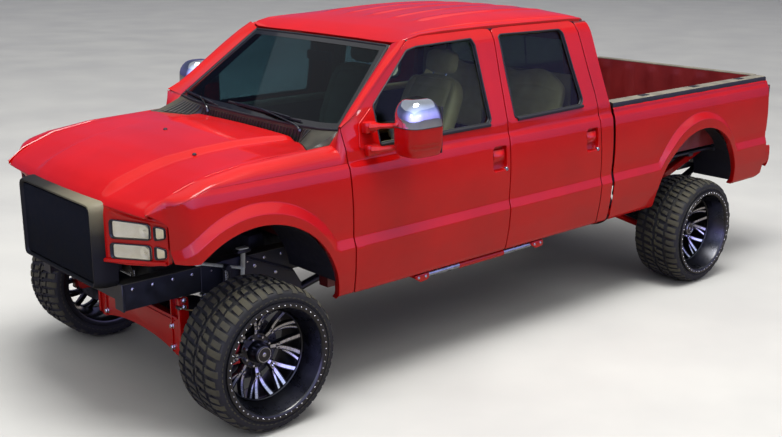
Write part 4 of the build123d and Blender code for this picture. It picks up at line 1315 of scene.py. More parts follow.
# rear edge follows the door, the front edge the lamp; the arch is cut out below
zr = np.linspace(.612, 1.392, 27)
re_ = np.stack([interp(zr, [(.604, -.6635), (.957, -.6465), (1.364, -.6315), (1.592, -.6035)]), zr], 1)
top = [(x, float(yJ(x))) for x in np.linspace(-.63, .583, 50)]
front = [(float(XE(z)), z) for z in np.linspace(1.278, 1.016, 20)]
ac, az_, ar = ARCHES["front"][2]
arc = [(ac + ar * math.cos(a), az_ + ar * math.sin(a)) for a in np.radians(np.linspace(50, 178, 54))]
pts = [tuple(p) for p in re_] + top + front + arc + [(-.552, .612)]
pl = []
for a_, b_ in zip(pts, pts[1:] + pts[:1]):
    if math.hypot(a_[0] - b_[0], a_[1] - b_[1]) > .004:
        pl.append(a_)
lns = crease_lines(-.7, .5)[:6] + arc_lines(ARCHES["front"][0][:2], ARCHES["front"][0][2], 0, 180) + arc_lines(ARCHES["front"][1][:2], ARCHES["front"][1][2], 0, 180)
lns += band(lambda x: .957 + 0 * x, -.7, -.55, 12) + band(lambda x: .900 + 0 * x, -.7, -.55, 12)
panel(np.array(pl), side_F(side_fender), [], .025, lns, r=.003, depth=.006, m=fen, edge=.018)
# top: from the shoulder over to the hood's seam
xs_ = np.concatenate([np.linspace(-.585, .30, 30), np.linspace(.33, .585, 22)])
rows = []
for x in xs_:
    zj = float(yJ(x))
    H = np.array([float(interp(x, [(p[0], p[i]) for p in HS])) for i in (1, 2)])
    J = np.array([float(side_fender(np.array(x), np.array(zj))), zj])
    J[0] = max(J[0], H[0] + .002)
    C1 = J + np.array([-.004, .62 * (H[1] - J[1])])
    C2 = H + np.array([.62 * (J[0] - H[0]), -.002 + .10 * (H[1] - J[1]) * 0])
    t = np.linspace(0, 1, 13)[:, None]
    q = (1 - t) ** 3 * J + 3 * (1 - t) ** 2 * t * C1 + 3 * (1 - t) * t * t * C2 + t ** 3 * H
    rows.append(np.concatenate([np.full((13, 1), x), q], 1))
P = np.array(rows)
P2 = np.concatenate([P, P[:, -1:] + [0, -.004, -.004], P[:, -1:] + [0, -.004, -.022]], 1)
sheet(P2[::-1], 0, fen, thick=.003)
# behind the cowl's end, from the door's edge across to the windscreen's corner
B_ = P[0]
s_ = np.linspace(0, 1, 9)
zz_ = 1.3945 + (1.590 - 1.3945) * s_
Aedge = np.stack([interp(zz_, [(1.364, -.6315), (1.592, -.6045)]), section(interp(zz_, [(1.364, -.6315), (1.592, -.6045)]), zz_), zz_], 1)
B0f, B1f = np.array([-.6625, .853, 1.562]), Aedge[-1]
Across = np.array([B1f + (B0f - B1f) * t + [0, 0, .006 * math.sin(PI * t)] for t in (.25, .5, .75, 1.0)])
AC = np.vstack([Aedge, Across])
rows_ = []
for t in np.linspace(0, 1, 9):
    q = (1 - t) * B_ + t * AC
    rows_.append(q)
R_ = np.array(rows_)
R_ = np.concatenate([R_, R_[:, -1:] + [0, -.004, -.006], R_[:, -1:] + [0, -.004, -.030]], 1)
sheet(R_, 0, fen, thick=.003)
fen_l = fen

# arch return and wheelhouse liner
def arch_return(which, m, mat, a0, a1, fn, ynin, rr=None):
    cx, cz, r = ARCHES[which][2]
    a = np.radians(np.linspace(a0, a1, 60))
    rows = []
    for k, (dr, dy) in enumerate(((0.0, 0.0), (-.001, -.004), (0.0, -.012), (.004, -.030), (.010, -.050))):
        x, z = cx + (r + dr) * np.cos(a), cz + (r + dr) * np.sin(a)
        y = fn(cx + r * np.cos(a), cz + r * np.sin(a)) + dy - .003
        rows.append(np.stack([x, y, z], 1))
    return sheet(np.stack(rows, 0), mat, m, thick=.002)


def liner(cx, cz, r, y0, y1, a0, a1, m, mat, ribs=14):
    a = np.radians(np.linspace(a0, a1, 90))
    ys = np.linspace(y0, y1, 22)
    A, Y = np.meshgrid(a, ys, indexing="ij")
    rr = r + .004 * np.sin(ribs * A) ** 8 * np.clip((y1 - Y) / .05, 0, 1) + .02 * np.clip((y0 + .05 - Y) / .05, 0, 1) ** 2 * 0
    return sheet(np.stack([cx + rr * np.cos(A), Y, cz + rr * np.sin(A)], -1), mat, m, thick=.003)


arch_return("front", fen_l, 0, 51.5, 179, side_fender, .9)
FENL = M()
liner(.020, .585, .577, .512, .958, 53, 168, FENL, 0)
# inner wall of the engine bay
rounded((-.555, .500, 1.145), (.42, .512, 1.30), .004, 1, 1, FENL)
rounded((.30, .500, 1.16), (.43, .84, 1.17), .003, 1, 1, FENL)
fen_l.both().build("front_fender_skins", "chassis", "body_paint", [RED], replaces=("front_fenders",))
FENL.both().build("front_wheelhouse_liners", "chassis", "black_plastic", [LINER, RED_SHADED])

# ------------------------------------------------------------------ hood
HP = table([(-.70, 1.468), (-.604, 1.470), (-.430, 1.4785), (-.200, 1.4775), (0, 1.464), (.200, 1.439), (.330, 1.408), (.450, 1.369), (.540, 1.334), (.600, 1.300), (.618, 1.282), (.632, 1.262), (.66, 1.20)], .010, -.8, .7)
YC = lambda x: interp(x, [(-.66, .474), (.60, .36)])
HF = [(0, .634), (.25, .630), (.50, .617), (.70, .600), (.80, .590), (.852, .583)]


def hood_z(x, y):
    a = np.abs(y)
    xf = interp(a, HF)
    xx = x + (.634 - xf) * smooth(.30, .60, x)      # the nose curls over along its own front edge
    base = HP(xx)
    front = 1 - smooth(.50, .64, xx)
    dome = .020 * (1 - smooth(0, .085, a - YC(x))) * front
    dome = dome + .008 * (1 - (np.minimum(a, .5) / .5) ** 2) * front
    shelf = -.006 * smooth(0, .10, a - YC(x)) * (1 - smooth(.78, .86, a)) * front
    ledge = -.004 * smooth(.80, .86, a)
    return base + dome + shelf + ledge + .002 - .014 * (1 - smooth(-.602, -.556, x))


rearc = catmull([(-.602, .430), (-.580, .560), (-.520, .700), (-.430, .852)], 8)
ho = [tuple(p) for p in rearc]
side_ = [(x, float(interp(x, [(p[0], p[1]) for p in HS])) - .008) for x in np.linspace(-.40, .572, 30)]
fr = [(float(interp(y, HF)), y) for y in np.linspace(.826, 0, 22)]
half = ho + side_ + fr
ho = [(x, y) for x, y in half] + [(x, -y) for x, y in half[-2::-1]]
hl_ = []
xs = np.linspace(-.62, .60, 60)
for s in (1, -1):
    for o in (-.012, 0, .028, .056, .085, .097):
        hl_.append(np.stack([xs, s * (YC(xs) + o)], 1))
ys = np.linspace(-.84, .84, 70)
for o in (.004, .012, .020, .030, .045, .065):
    hl_.append(np.stack([interp(np.abs(ys), HF) - o, ys], 1))
hd = M()
panel(ho, lambda x, y: np.stack([x, y, hood_z(x, y)], -1), [], .04, hl_, r=.004, depth=.012, m=hd, out=(0, 0, 1), mat_in=1, edge=.022)
# stiffening frame under the skin
for y0 in (-.62, -.21, .21, .62):
    P = np.array([[x, y0 * (1 - .12 * smooth(0, .6, x)), float(hood_z(np.array(x), np.array(abs(y0)))) - .022] for x in np.linspace(-.40, .52, 18)])
    tube(P, .020, 10, mat=1, m=hd, flat=.6)
for x0 in (-.34, .10, .46):
    P = np.array([[x0, y, float(hood_z(np.array(x0), np.array(abs(y)))) - .022] for y in np.linspace(-.72, .72, 20)])
    tube(P, .018, 10, mat=1, m=hd, flat=.6)
# hinge plates and the washer nozzles
for s in (1, -1):
    rounded((-.50, s * .735, 1.425), (-.36, s * .765, 1.452), .004, 1, 2, hd)
for x, y in ((-.095, -.10), (.06, .47)):
    z = float(hood_z(np.array(x), np.array(abs(y))))
    lathe([(0, 0), (.013, 0), (.011, .007), (.006, .010), (0, .011)], 20, 2, nz := M())
    hd.join(nz.moved(np.array([[1, 0, 0], [0, 0, 1], [0, 1, 0]]), (x, y, z)))
hd.build("hood_panel", "hood", "body_paint", [RED, RED_SHADED, BLACK], replaces=("hood",))

# ------------------------------------------------------------------ lamp bezels
CXT = lambda y: interp(y, [(.40, .640), (.445, .632), (.494, .615), (.775, .520), (.868, .483), (.90, .470)])


def bezel(y, z):
    up = np.clip((z - 1.213) / .045, 0, 1) ** 1.5
    hx = interp(np.abs(y), HF) - .004
    return np.stack([CXT(y) + (hx - CXT(y)) * up * .96, y, z], -1)


def quad(y0, y1, zi0, zi1, zo0, zo1, r, grow=0.0):
    """Lamp outline: bottom and top at the inner and outer sides."""
    return round_poly([(y0 - grow, zi0 - grow), (y1 + grow, zo0 - grow), (y1 + grow, zo1 + grow), (y0 - grow, zi1 + grow)], r, 5)


LAMPS = [(.505, .768, 1.094, 1.196, 1.122, 1.206), (.503, .768, .982, 1.066, 1.008, 1.092)]
MARKS = [(.792, .858, 1.124, 1.200, 1.142, 1.196), (.792, .858, 1.020, 1.092, 1.036, 1.084)]
bz = M()
btop = [(.447, 1.262), (.60, 1.256), (.739, 1.250), (.80, 1.246), (.835, 1.240), (.868, 1.215)]
bo = [(.447, .952), (.60, .958), (.76, .978), (.868, 1.000)] + btop[::-1]
panel(round_poly(bo, [.012, 0, 0, .01, .02, .02, 0, 0, 0, .01]), bezel, [quad(*l, .022) for l in LAMPS] + [quad(*l, .014) for l in MARKS], .02,
      band(lambda x: 1.213 + 0 * x, .44, .87, 30, (0, .012, .024, .036)), r=.004, depth=.03, m=bz, out=(1, 0, 0))
lampm, lens = M(), M()


def lamp(l, r, depth, grow, mats, bulb=True):
    q = quad(*l, r)
    c = q.mean(0)
    if area2(q) < 0:
        q = q[::-1]
    q = resample(q, .012)
    rings = []
    for s, dx in ((1.014, .006), (.990, .008), (.965, .004), (.958, -.006)):
        k = c + (q - c) * s
        P = bezel(k[:, 0], np.minimum(k[:, 1], 1.212))
        P[:, 0] += dx
        rings.append(P)
    sheet(np.stack(rings, 0), mats[0], lampm, cv=True, thick=.003)
    rings = []
    for s, dx in ((.962, -.003), (.945, -.014), (.88, -depth * .6), (.50, -depth * .92), (.16, -depth), (.0, -depth)):
        k = c + (q - c) * s
        P = bezel(k[:, 0], np.minimum(k[:, 1], 1.212))
        P[:, 0] += dx
        rings.append(P)
    sheet(np.stack(rings, 0), mats[1], lampm, cv=True, thick=.002)
    if bulb:
        p0 = bezel(np.array(c[0]), np.array(c[1]))
        for d in (.070,):
            pb = bezel(np.array(c[0] + d), np.array(c[1]))
            t = M()
            lathe([(0, 0), (.016, .002), (.030, .010), (.033, .018), (.030, .018), (.018, .010), (0, .008)][::-1], 24, 1, t)
            lathe([(0, .030), (.007, .028), (.009, .018), (.009, .004)], 16, 1, t)
            R = axes_of([1, .33, 0], [0, 0, 1])
            lampm.join(t.moved(np.stack([R[:, 0], R[:, 2], R[:, 1]], 1), pb + [-depth * .72, -.012, 0]))
    rings = []
    for s, dx in ((.972, .002), (.85, .006), (.6, .009), (.3, .011), (.0, .0115)):
        k = c + (q - c) * s
        P = bezel(k[:, 0], np.minimum(k[:, 1], 1.212))
        P[:, 0] += dx
        rings.append(P)
    sheet(np.stack(rings, 0), mats[3], lens, cv=True)


for l in LAMPS:
    lamp(l, .022, .050, 0, (0, 1, 2, 0))
for l in MARKS:
    lamp(l, .014, .009, 0, (0, 1, 2, 1), False)
lampm.both().build("headlight_units", "chassis", "lamp_clear", [BLACK, LAMP_BACK, LAMP_WHITE], replaces=("headlights",))
lens.both().build("headlight_lenses", "chassis", "lamp_clear", [LENS_CLEAR, LENS_AMBER])
for zb, zt in ((.955, .972),):
    Pz = np.array([[bezel(np.array(y), np.array(z + (y - .447) * .11)) + [dx, 0, 0] for y in np.linspace(.455, .860, 24)] for z, dx in ((zb, .004), (zb + .004, .010), (zt - .003, .010), (zt, .004))])
    sheet(Pz, 0, bz, thick=.004)
bz.both().build("lamp_bezels", "chassis", "body_paint", [RED])

# ------------------------------------------------------------------ radiator and its surround
def surround_mat():
    """Near-black plastic that pales to beige towards the top and the left side: the paling is painted light."""
    m, nt, out, tc = base_mat("surround_shell")
    p = nt.nodes.new("ShaderNodeBsdfPrincipled")
    nt.links.new(p.outputs["BSDF"], out.inputs["Surface"])
    p.inputs["Roughness"].default_value = .55
    p.inputs["Specular IOR Level"].default_value = .25
    s = nt.nodes.new("ShaderNodeSeparateXYZ")
    nt.links.new(tc.outputs["Object"], s.inputs["Vector"])
    # paling with height and towards the left (+y): painted light on the faces that catch the lamps
    a = nt.nodes.new("ShaderNodeMapRange")
    for k, v in (("From Min", .98), ("From Max", 1.25)):
        a.inputs[k].default_value = v
    nt.links.new(s.outputs["Z"], a.inputs["Value"])
    b = nt.nodes.new("ShaderNodeMapRange")
    for k, v in (("From Min", -.35), ("From Max", .40), ("To Min", .12)):
        b.inputs[k].default_value = v
    nt.links.new(s.outputs["Y"], b.inputs["Value"])
    c = nt.nodes.new("ShaderNodeMath")
    c.operation = "MULTIPLY"
    nt.links.new(a.outputs["Result"], c.inputs[0])
    nt.links.new(b.outputs["Result"], c.inputs[1])
    g = noise(nt, tc, 8, 3)
    d = nt.nodes.new("ShaderNodeMath")
    d.operation = "MULTIPLY_ADD"
    d.inputs[1].default_value = .12
    nt.links.new(g.outputs["Fac"], d.inputs[0])
    nt.links.new(c.outputs["Value"], d.inputs[2])
    nt.links.new(ramp(nt, d.outputs["Value"], [(.06, hexc("06080a")), (.45, hexc("23221c")), (1.0, hexc("6f6a58"))]).outputs["Color"], p.inputs["Base Color"])
    return m


SURR_M = surround_mat()
rd_ = M()
# frame bevel: inner ring at the face, outer ring set back
ri_ = resample(round_poly([(-.437, .811), (.437, .811), (.437, 1.262), (-.437, 1.262)], [.03, .03, .045, .045]), .03)
ro_ = [(-.452, .800), (.452, .800), (.456, 1.276), (-.456, 1.276)]
ei_ = even(ri_, 150)
cen = np.array([0, 1.036])
rings = []
for s, x in ((.955, .676), (.965, .684), (.985, .689), (1.0, .690), (1.012, .684), (1.035, .655), (1.045, .630), (1.045, .560)):
    q = cen + (ei_ - cen) * [s, s * 1.004]
    rings.append(np.stack([np.full(len(q), x), q[:, 0], q[:, 1]], 1))
sheet(np.stack(rings[::-1], 0), 0, rd_, cv=True, thick=.004)
rounded((.640, -.43, .82), (.668, .43, 1.255), .006, 1, 1, rd_)
for i in range(120):
    y = -.412 + .824 * i / 119
    rounded((.666, y - .0016, .832), (.680, y + .0016, 1.240), .0006, 1, 1, rd_)
for z in np.linspace(.87, 1.20, 5):
    rounded((.664, -.414, z - .0025), (.675, .414, z + .0025), .001, 1, 1, rd_)
rounded((.565, -.425, .815), (.642, .425, .865), .008, 2, 2, rd_)
rounded((.565, -.425, 1.205), (.642, .425, 1.258), .008, 2, 2, rd_)
rounded((.585, -.425, .84), (.642, .425, 1.23), .004, 1, 1, rd_)
rd_.build("radiator_and_surround", "chassis", "black_plastic", [SURR_M, CORE, BLACK], replaces=("radiator",))
# closing panels between the surround and the bezels, and the rad support behind
sp_ = M()
for s in (1, -1):
    P = np.array([[(x, s * y, z) for z in np.linspace(.90, 1.262, 8)] for x, y in ((.626, .449), (.618, .448), (.600, .446), (.56, .446))])
    sheet(P if s > 0 else P[::-1], 0, sp_, thick=.003)
rounded((.50, -.46, .955), (.545, .46, .985), .006, 1, 2, sp_)
rounded((.46, -.76, 1.222), (.50, .76, 1.246), .006, 1, 2, sp_)
for s in (1, -1):
    rounded((.40, s * .455, .985), (.42, s * .80, 1.20), .004, 1, 2, sp_)
sp_.build("nose_support", "chassis", "body_paint", [RED, RED_SHADED, BLACK])

# ------------------------------------------------------------------ cowl
HR = table([(p[1], p[0]) for p in list(rearc) + [(-.602, .35), (-.602, 0)]] + [(-p[1], p[0]) for p in list(rearc) + [(-.602, .35)]], .008, -.9, .9)
DB = lambda y: interp(np.abs(y), [(.846, 0), (.7, .022), (.45, .037), (0, .044)])


def cowl(y, t):
    y, t = np.asarray(y, float), np.asarray(t, float)
    f = 1 - smooth(.50, .60, np.abs(y))
    xa = HR(y) - .0085
    A = np.stack([xa, y, hood_z(HR(y), y) - .004 - .040 * f], -1)
    B = wsb(y, DB(y) + .006) + WN * -.001
    C = (A + B) / 2 + np.stack([0 * y, 0 * y, -.010 + 0 * y], -1)
    f = f[..., None]
    C = C * (1 - f) + f * np.stack([B[..., 0] + .001, y, A[..., 2] + .002], -1)
    t = t[..., None]
    return (1 - t) ** 2 * A + 2 * t * (1 - t) * C + t * t * B


cw = M()
Y, T = np.meshgrid(np.linspace(-.846, .846, 90), np.linspace(0, 1, 9), indexing="ij")
P = cowl(Y, T)
dip = ((Y < .60) & (Y > -.80)) * np.sin(PI * T) ** .5 * .006
P[..., 2] -= dip
Q = np.concatenate([P[:, :1] + [0, 0, -.022], P[:, :1] + [0, 0, -.003], P], 1)
sheet(Q, 0, cw, thick=.003)
# end walls down to the fenders
t_e = np.linspace(0, 1, 26)
C2 = cowl(np.full(26, .846), t_e)
h_ = [(x, float(interp(x, [(p[0], p[1]) for p in HS])) - .001, float(interp(x, [(p[0], p[2]) for p in HS]))) for x in np.linspace(-.425, -.585, 12)]
h_ += [tuple(np.array([-.585, .861, 1.4853]) * (1 - t) + np.array([-.6625, .852, 1.560]) * t) for t in np.linspace(.08, 1, 10)]
C1 = np.array(h_)
l_ = np.concatenate([[0], np.cumsum(np.linalg.norm(np.diff(C1, axis=0), axis=1))])
C1 = np.stack([np.interp(t_e * l_[-1], l_, C1[:, k]) for k in range(3)], 1)
E_ = np.array([C1 + [0, 0, -.004], C1 * .97 + C2 * .03, C1 * .6 + C2 * .4 + [0, 0, -.002], C2])
sheet(E_, 0, cw, thick=.002)
sheet((E_ * [1, -1, 1])[::-1], 0, cw, thick=.002)
for i in range(44):
    y0 = -.79 + 1.38 * i / 43
    t = np.linspace(.10, .90, 9)
    y = y0 + .055 * (t - .5)
    q = np.stack([cowl(y - .0095, t) + [0, 0, .0012], cowl(y + .0095, t) + [0, 0, .0012]])
    q[:, :, 2] -= .006 * np.sin(PI * t) ** .5 * .55
    sheet(q[::-1], 1, cw, thick=.0008)
    tube(cowl(y + .0160, t) + [0, 0, .0005], .0058, 6, m=cw, mat=0, flat=.8)
cw.build("cowl_louvres", "chassis", "black_plastic", [OLIVE, BLACK], replaces=("cowl_panel",))

# ------------------------------------------------------------------ wipers
wp = M()
for base, b0, b1 in (((-.624, .539, 1.5075), (-.649, .509, 1.572), (-.672, -.280, 1.586)), ((-.624, -.460, 1.495), (-.628, -.342, 1.556), (-.681, -.820, 1.592))):
    base, b0, b1 = map(np.array, (base, b0, b1))

    def onglass(p, lift):
        p = np.asarray(p, float)
        d = (p - W0) @ WN
        return p - WN * (d - lift)
    a0, a1 = onglass(b0, .016), onglass(b1, .016)
    tube(np.array([a0 + (a1 - a0) * t + WN * .003 * math.sin(PI * t) for t in np.linspace(0, 1, 16)]), .0055, 8, m=wp, mat=1, flat=1.5)
    tube(np.array([a0 + (a1 - a0) * t + WN * (.012 + .006 * math.sin(PI * t)) for t in np.linspace(.12, .88, 16)]), .0042, 8, m=wp, mat=0)
    for t in (.14, .34, .62, .86):
        q = a0 + (a1 - a0) * t
        tube(np.array([q, q + WN * .018]), .004, 6, m=wp, mat=0)
    mid = a0 + (a1 - a0) * .5 + WN * .020
    bb = base + np.array([0, 0, .016])
    path = catmull([bb, bb + (mid - bb) * .12 + [0, 0, .016], bb + (mid - bb) * .5 + [0, 0, .012], mid], 6)
    tube(path, np.linspace(.011, .006, len(path)), 8, m=wp, mat=0, flat=.7)
    t_ = M()
    lathe([(0, .012), (.009, .011), (.012, .006), (.0125, -.006)], 20, 0, t_)
    wp.join(t_.moved(np.array([[1, 0, 0], [0, 0, 1], [0, 1, 0]]), bb + [0, 0, -.002]))
wp.build("wiper_arms", "chassis", "black_plastic", [GLOSSBLACK, RUBBER_SEAL], replaces=("wipers",))


# ------------------------------------------------------------------ wheels
def spoke_leg(m, a0, a1, r0, r1, y0, y1, w0, w1, d0, d1):
    """One milled spoke from the hub to the barrel: black flanks, bright face."""
    k = 9
    rows = []
    for i in range(k):
        t = i / (k - 1)
        r = r0 + (r1 - r0) * t
        a = a0 + (a1 - a0) * t ** 1.15
        y = y0 + (y1 - y0) * t ** 1.6 - .006 * math.sin(PI * t)
        w, d = w0 + (w1 - w0) * t, d0 + (d1 - d0) * t
        c, s = math.cos(a), math.sin(a)
        er, et = np.array([c, 0, s]), np.array([-s, 0, c])
        row_ = []
        for u, dy in ((-.5, -d), (-.5, -.004), (-.45, 0), (-.33, 0), (-.30, -.003), (.30, -.003), (.33, 0), (.45, 0), (.5, -.004), (.5, -d)):
            row_.append(er * r + et * (u * w) + np.array([0, y + dy, 0]))
        rows.append(row_)
    P = np.array(rows)
    nu, nv = P.shape[:2]
    f = grid_faces(nu, nv)
    j = f[:, 0] % nv
    bright = (j == 4)
    f = f[:, ::-1]
    k0 = m.k
    m.add(P, f, 0)
    m.m[-1] = np.where(bright, 1, 0).astype(np.int32)
    V = np.concatenate([P[:, 0], P[:, -1]])
    q = [[i, i + 1, nu + i + 1, nu + i] for i in range(nu - 1)]
    m.add(V, q, 0)


BARREL_M = pmat("rim_barrel", "4a4b50", "5a5b60", scale=9, rough=(.24, .34), metal=1.0)
ROTOR_M = pmat("brake_disc", "6e6f70", "8f9092", scale=40, rough=(0.3, 0.45), metal=1.0)
rim = M()
prof = [(.3355, 1.130), (.3362, 1.137), (.3345, 1.1425), (.329, 1.1435), (.3165, 1.143), (.309, 1.1415), (.304, 1.137), (.300, 1.128), (.2935, 1.105), (.283, 1.070), (.2725, 1.035), (.2655, 1.005), (.2620, .975),
        (.2610, .93), (.266, .88), (.276, .82), (.288, .782), (.299, .754), (.312, .7505), (.3345, .7505), (.3355, .759), (.308, .768), (.303, .790), (.286, .83), (.273, .90), (.271, .97), (.276, 1.01), (.286, 1.045), (.3000, 1.095), (.3085, 1.1225)]
lathe(prof[::-1], 96, 0, rim, closed=True)
for i in range(8):
    A = i * PI / 4
    # stem, its two long branches, and the short bars between neighbours
    spoke_leg(rim, A, A, .056, .150, .926, .944, .026, .034, .045, .040)
    for sgn in (1, -1):
        spoke_leg(rim, A + sgn * .055, A + sgn * .215, .128, .2635, .941, 1.006, .026, .031, .038, .030)
    spoke_leg(rim, A + .17, A + .385, .165, .2635, .948, 1.004, .016, .021, .028, .024)
    t = M()
    lathe([(0, .020), (.007, .0195), (.0098, .016), (.0105, 0)][::-1], 6, 2, t)
    rim.join(t.moved(None, (.082 * math.cos(A + PI / 8), .926, .082 * math.sin(A + PI / 8))))
lathe([(.2635, .990), (.2635, 1.004), (.259, 1.008), (.255, 1.004), (.2545, .985), (.258, .975)][::-1], 96, 0, rim, closed=True)
hub = [(.0, 1.0045), (.044, 1.0045), (.050, 1.003), (.0535, .999), (.056, .992), (.0585, .965), (.0590, .935), (.062, .926), (.100, .922), (.104, .915), (.106, .90), (.086, .885), (.074, .880), (.074, .872), (.095, .872), (.095, .838), (.072, .838)]
lathe(hub[::-1], 64, 0, rim)
lathe([(.0385, 1.0046), (.0395, 1.0062), (.0425, 1.0062), (.0435, 1.0046)][::-1], 48, 1, rim, closed=True)
lathe([(.0, 1.0056), (.010, 1.0056), (.0125, 1.0047)][::-1], 32, 1, rim)
for i in range(52):
    a = i * 2 * PI / 52
    t = M()
    lathe([(0, .0052), (.0028, .0050), (.0038, .0036), (.0040, 0)][::-1], 8, 2, t)
    rim.join(t.moved(None, (.3195 * math.cos(a), 1.1432, .3195 * math.sin(a))))
# satin face of the barrel
lathe([(.2995, 1.1275), (.2928, 1.105), (.2823, 1.070), (.2718, 1.035), (.2650, 1.008), (.268, 1.006), (.276, 1.035), (.287, 1.07), (.297, 1.105), (.303, 1.127)][::-1], 96, 4, rim, closed=True)
# drilled brake disc
lathe([(.094, .8715), (.174, .8715), (.177, .868), (.177, .858), (.170, .857), (.170, .852), (.177, .851), (.177, .842), (.174, .8385), (.094, .8385)][::-1], 72, 3, rim, closed=True)
for k_ in range(3):
    for i in range(18):
        a = (i + k_ * .33) * PI / 9
        rr_ = .115 + .022 * k_
        t = M()
        lathe([(0, .0006), (.0042, .0006), (.0042, 0)][::-1], 8, 0, t)
        rim.join(t.moved(None, (rr_ * math.cos(a), .8716, rr_ * math.sin(a))))
# valve stem
tube(np.array([(.287 * math.cos(.39), 1.080, .287 * math.sin(.39)), (.270 * math.cos(.39), 1.095, .270 * math.sin(.39))]), .004, 8, m=rim, mat=2)

# tyre: carcass with lugs standing on it
CP = catmull([(.336, 1.1285), (.350, 1.1305), (.368, 1.1295), (.384, 1.1245), (.3935, 1.112), (.3975, 1.095), (.399, 1.06), (.3995, .98), (.3995, .90), (.399, .82), (.3975, .785), (.3935, .768), (.384, .7555), (.368, .7505), (.350, .7495), (.336, .7515)], 3)


def cprof(t):
    """Point and outward normal of the carcass at path length share t (0 outer bead, 1 inner bead)."""
    s = np.concatenate([[0], np.cumsum(np.linalg.norm(np.diff(CP, axis=0), axis=1))])
    s /= s[-1]
    P = np.stack([np.interp(t, s, CP[:, 0]), np.interp(t, s, CP[:, 1])], -1)
    e = .004
    A = np.stack([np.interp(np.asarray(t) + e, s, CP[:, 0]), np.interp(np.asarray(t) + e, s, CP[:, 1])], -1)
    B = np.stack([np.interp(np.asarray(t) - e, s, CP[:, 0]), np.interp(np.asarray(t) - e, s, CP[:, 1])], -1)
    d = unit(A - B)
    n = np.stack([-d[..., 1], d[..., 0]], -1)
    n = n * np.where((n * (P - [.37, .94])).sum(-1, keepdims=True) < 0, -1, 1)
    return P, n


SS = np.concatenate([[0], np.cumsum(np.linalg.norm(np.diff(CP, axis=0), axis=1))])
SL = SS[-1]
TY = lambda y: float(np.interp(-y, -CP[(CP[:, 0] > .3925)][:, 1], (SS / SL)[CP[:, 0] > .3925]))


def lug(m, poly, height, nu=7, nv=7):
    """A block on the carcass. poly gives (angle in pitches, path share) of its four corners, in order."""
    us = np.array([0, .035, .12, .5, .88, .965, 1.0])
    vs = np.array([0, .035, .12, .5, .88, .965, 1.0]) if nv == 7 else np.array([0, .02, .08, .25, .42, .58, .75, .92, .98, 1.0])
    hu = np.array([-.25, .93, 1, 1, 1, .93, -.25])
    hv = hu if nv == 7 else np.array([-.25, .93, 1, 1, 1, 1, 1, 1, .93, -.25])
    c = np.array(poly, float)
    U, V = np.meshgrid(us, vs, indexing="ij")
    Q = ((1 - U) * (1 - V))[..., None] * c[0] + (U * (1 - V))[..., None] * c[1] + (U * V)[..., None] * c[2] + ((1 - U) * V)[..., None] * c[3]
    # steep flanks: the outermost row keeps the place of the next one
    H = np.minimum(hu[:, None], hv[None, :])
    P, n = cprof(Q[..., 1])
    h = height(Q[..., 1]) if callable(height) else height
    R = P[..., 0] + n[..., 0] * H * h
    Y = P[..., 1] + n[..., 1] * H * h
    a = Q[..., 0]
    X = np.stack([R * np.cos(a), Y, R * np.sin(a)], -1)
    f = grid_faces(*U.shape)
    i, j = f[:, 0] // U.shape[1], f[:, 0] % U.shape[1]
    side = (i == 0) | (i == U.shape[0] - 2) | (j == 0) | (j == U.shape[1] - 2)
    m.add(X, f, 1)
    # tread faces take the lighter olive and the flanks stay dark: partly dust, partly painted highlight
    m.m[-1] = np.where(side, 0, 1).astype(np.int32)


tyre = M()
ins = [(.336, .7615), (.309, .769), (.311, .782), (.372, .790), (.390, .808), (.390, 1.072), (.372, 1.098), (.311, 1.106), (.309, 1.122), (.336, 1.1275)]
lathe([tuple(p) for p in CP] + ins, 110, 0, tyre, closed=True)
for r, y in ((.343, 1.1305), (.3475, 1.1312), (.352, 1.1315)):
    lathe([(r - .0012, y - .002), (r, y + .0008), (r + .0012, y - .002)][::-1], 96, 0, tyre, closed=True)
NP = 24
hs = lambda t: np.interp(t, [0, .10, .16, .205, .24, .76, .795, .84, .90, 1.0], [.0035, .0035, .006, .0105, .0142, .0142, .0105, .006, .0035, .0035])
t_sw, t_sw2 = .095, .125
for i in range(NP):
    p = 2 * PI / NP

    def L(corners, h=hs, nv=7, mir_=False, ph=0.0):
        q = []
        for a, t in corners:
            t_ = t if t <= 1 else t
            if mir_:
                q.append(((i + .5 - a + ph) * p, 1 - t_))
            else:
                q.append(((i + a + ph) * p, t_))
        lug(tyre, q, h, nv=nv)
    tA, tB, tC, tD = TY(1.040), TY(1.052), TY(1.026), TY(.952)
    for mr_ in (False, True):
        L([(.02, t_sw), (.40, t_sw), (.47, tA + .004), (.14, tA - .006)], nv=10, mir_=mr_)
        L([(.50, t_sw2), (.86, t_sw2), (.93, tB - .004), (.62, tB + .002)], nv=10, mir_=mr_)
        L([(.19, tC - .006), (.50, tC + .004), (.60, tD - .030), (.36, tD - .022)], .0142, mir_=mr_)
        L([(.28, tD - .026), (.60, tD - .034), (.80, tD + .004), (.44, tD + .010)], .0142, mir_=mr_)
        L([(.66, tC + .004), (.97, tC + .012), (1.03, tD - .036), (.80, tD - .030)], .0142, mir_=mr_)
        L([(.82, tD - .026), (1.16, tD - .034), (1.22, tD - .004), (.95, tD - .006)], .0138, mir_=mr_)
        # small ribs high on the sidewall
        for k_ in range(3):
            a_ = .08 + k_ * .32
            L([(a_, .040), (a_ + .20, .036), (a_ + .26, .052), (a_ + .06, .056)], .0018, mir_=mr_)
for nm, sx, sy in (("front_left", FXW, 1), ("front_right", FXW, -1), ("rear_left", RXW, 1), ("rear_right", RXW, -1)):
    a = rim if sy > 0 else rim.mirror()
    a.moved(None, (sx, 0, WZ)).build(nm + "_wheel_rim", nm + "_wheel", "rim_metal", [RIM_BLACK, RIM_MILLED, BOLT_M, ROTOR_M, BARREL_M], raked=False, replaces=(nm + "_rim",), recalc=False)
    a = tyre if sy > 0 else tyre.mirror()
    a.moved(None, (sx, 0, WZ)).build(nm + "_wheel_tyre", nm + "_wheel", "tyre_rubber", [TYRE_M, LUG_DUST_SHEEN_M], raked=False, replaces=(nm + "_tyre",), recalc=False, sharp=32)


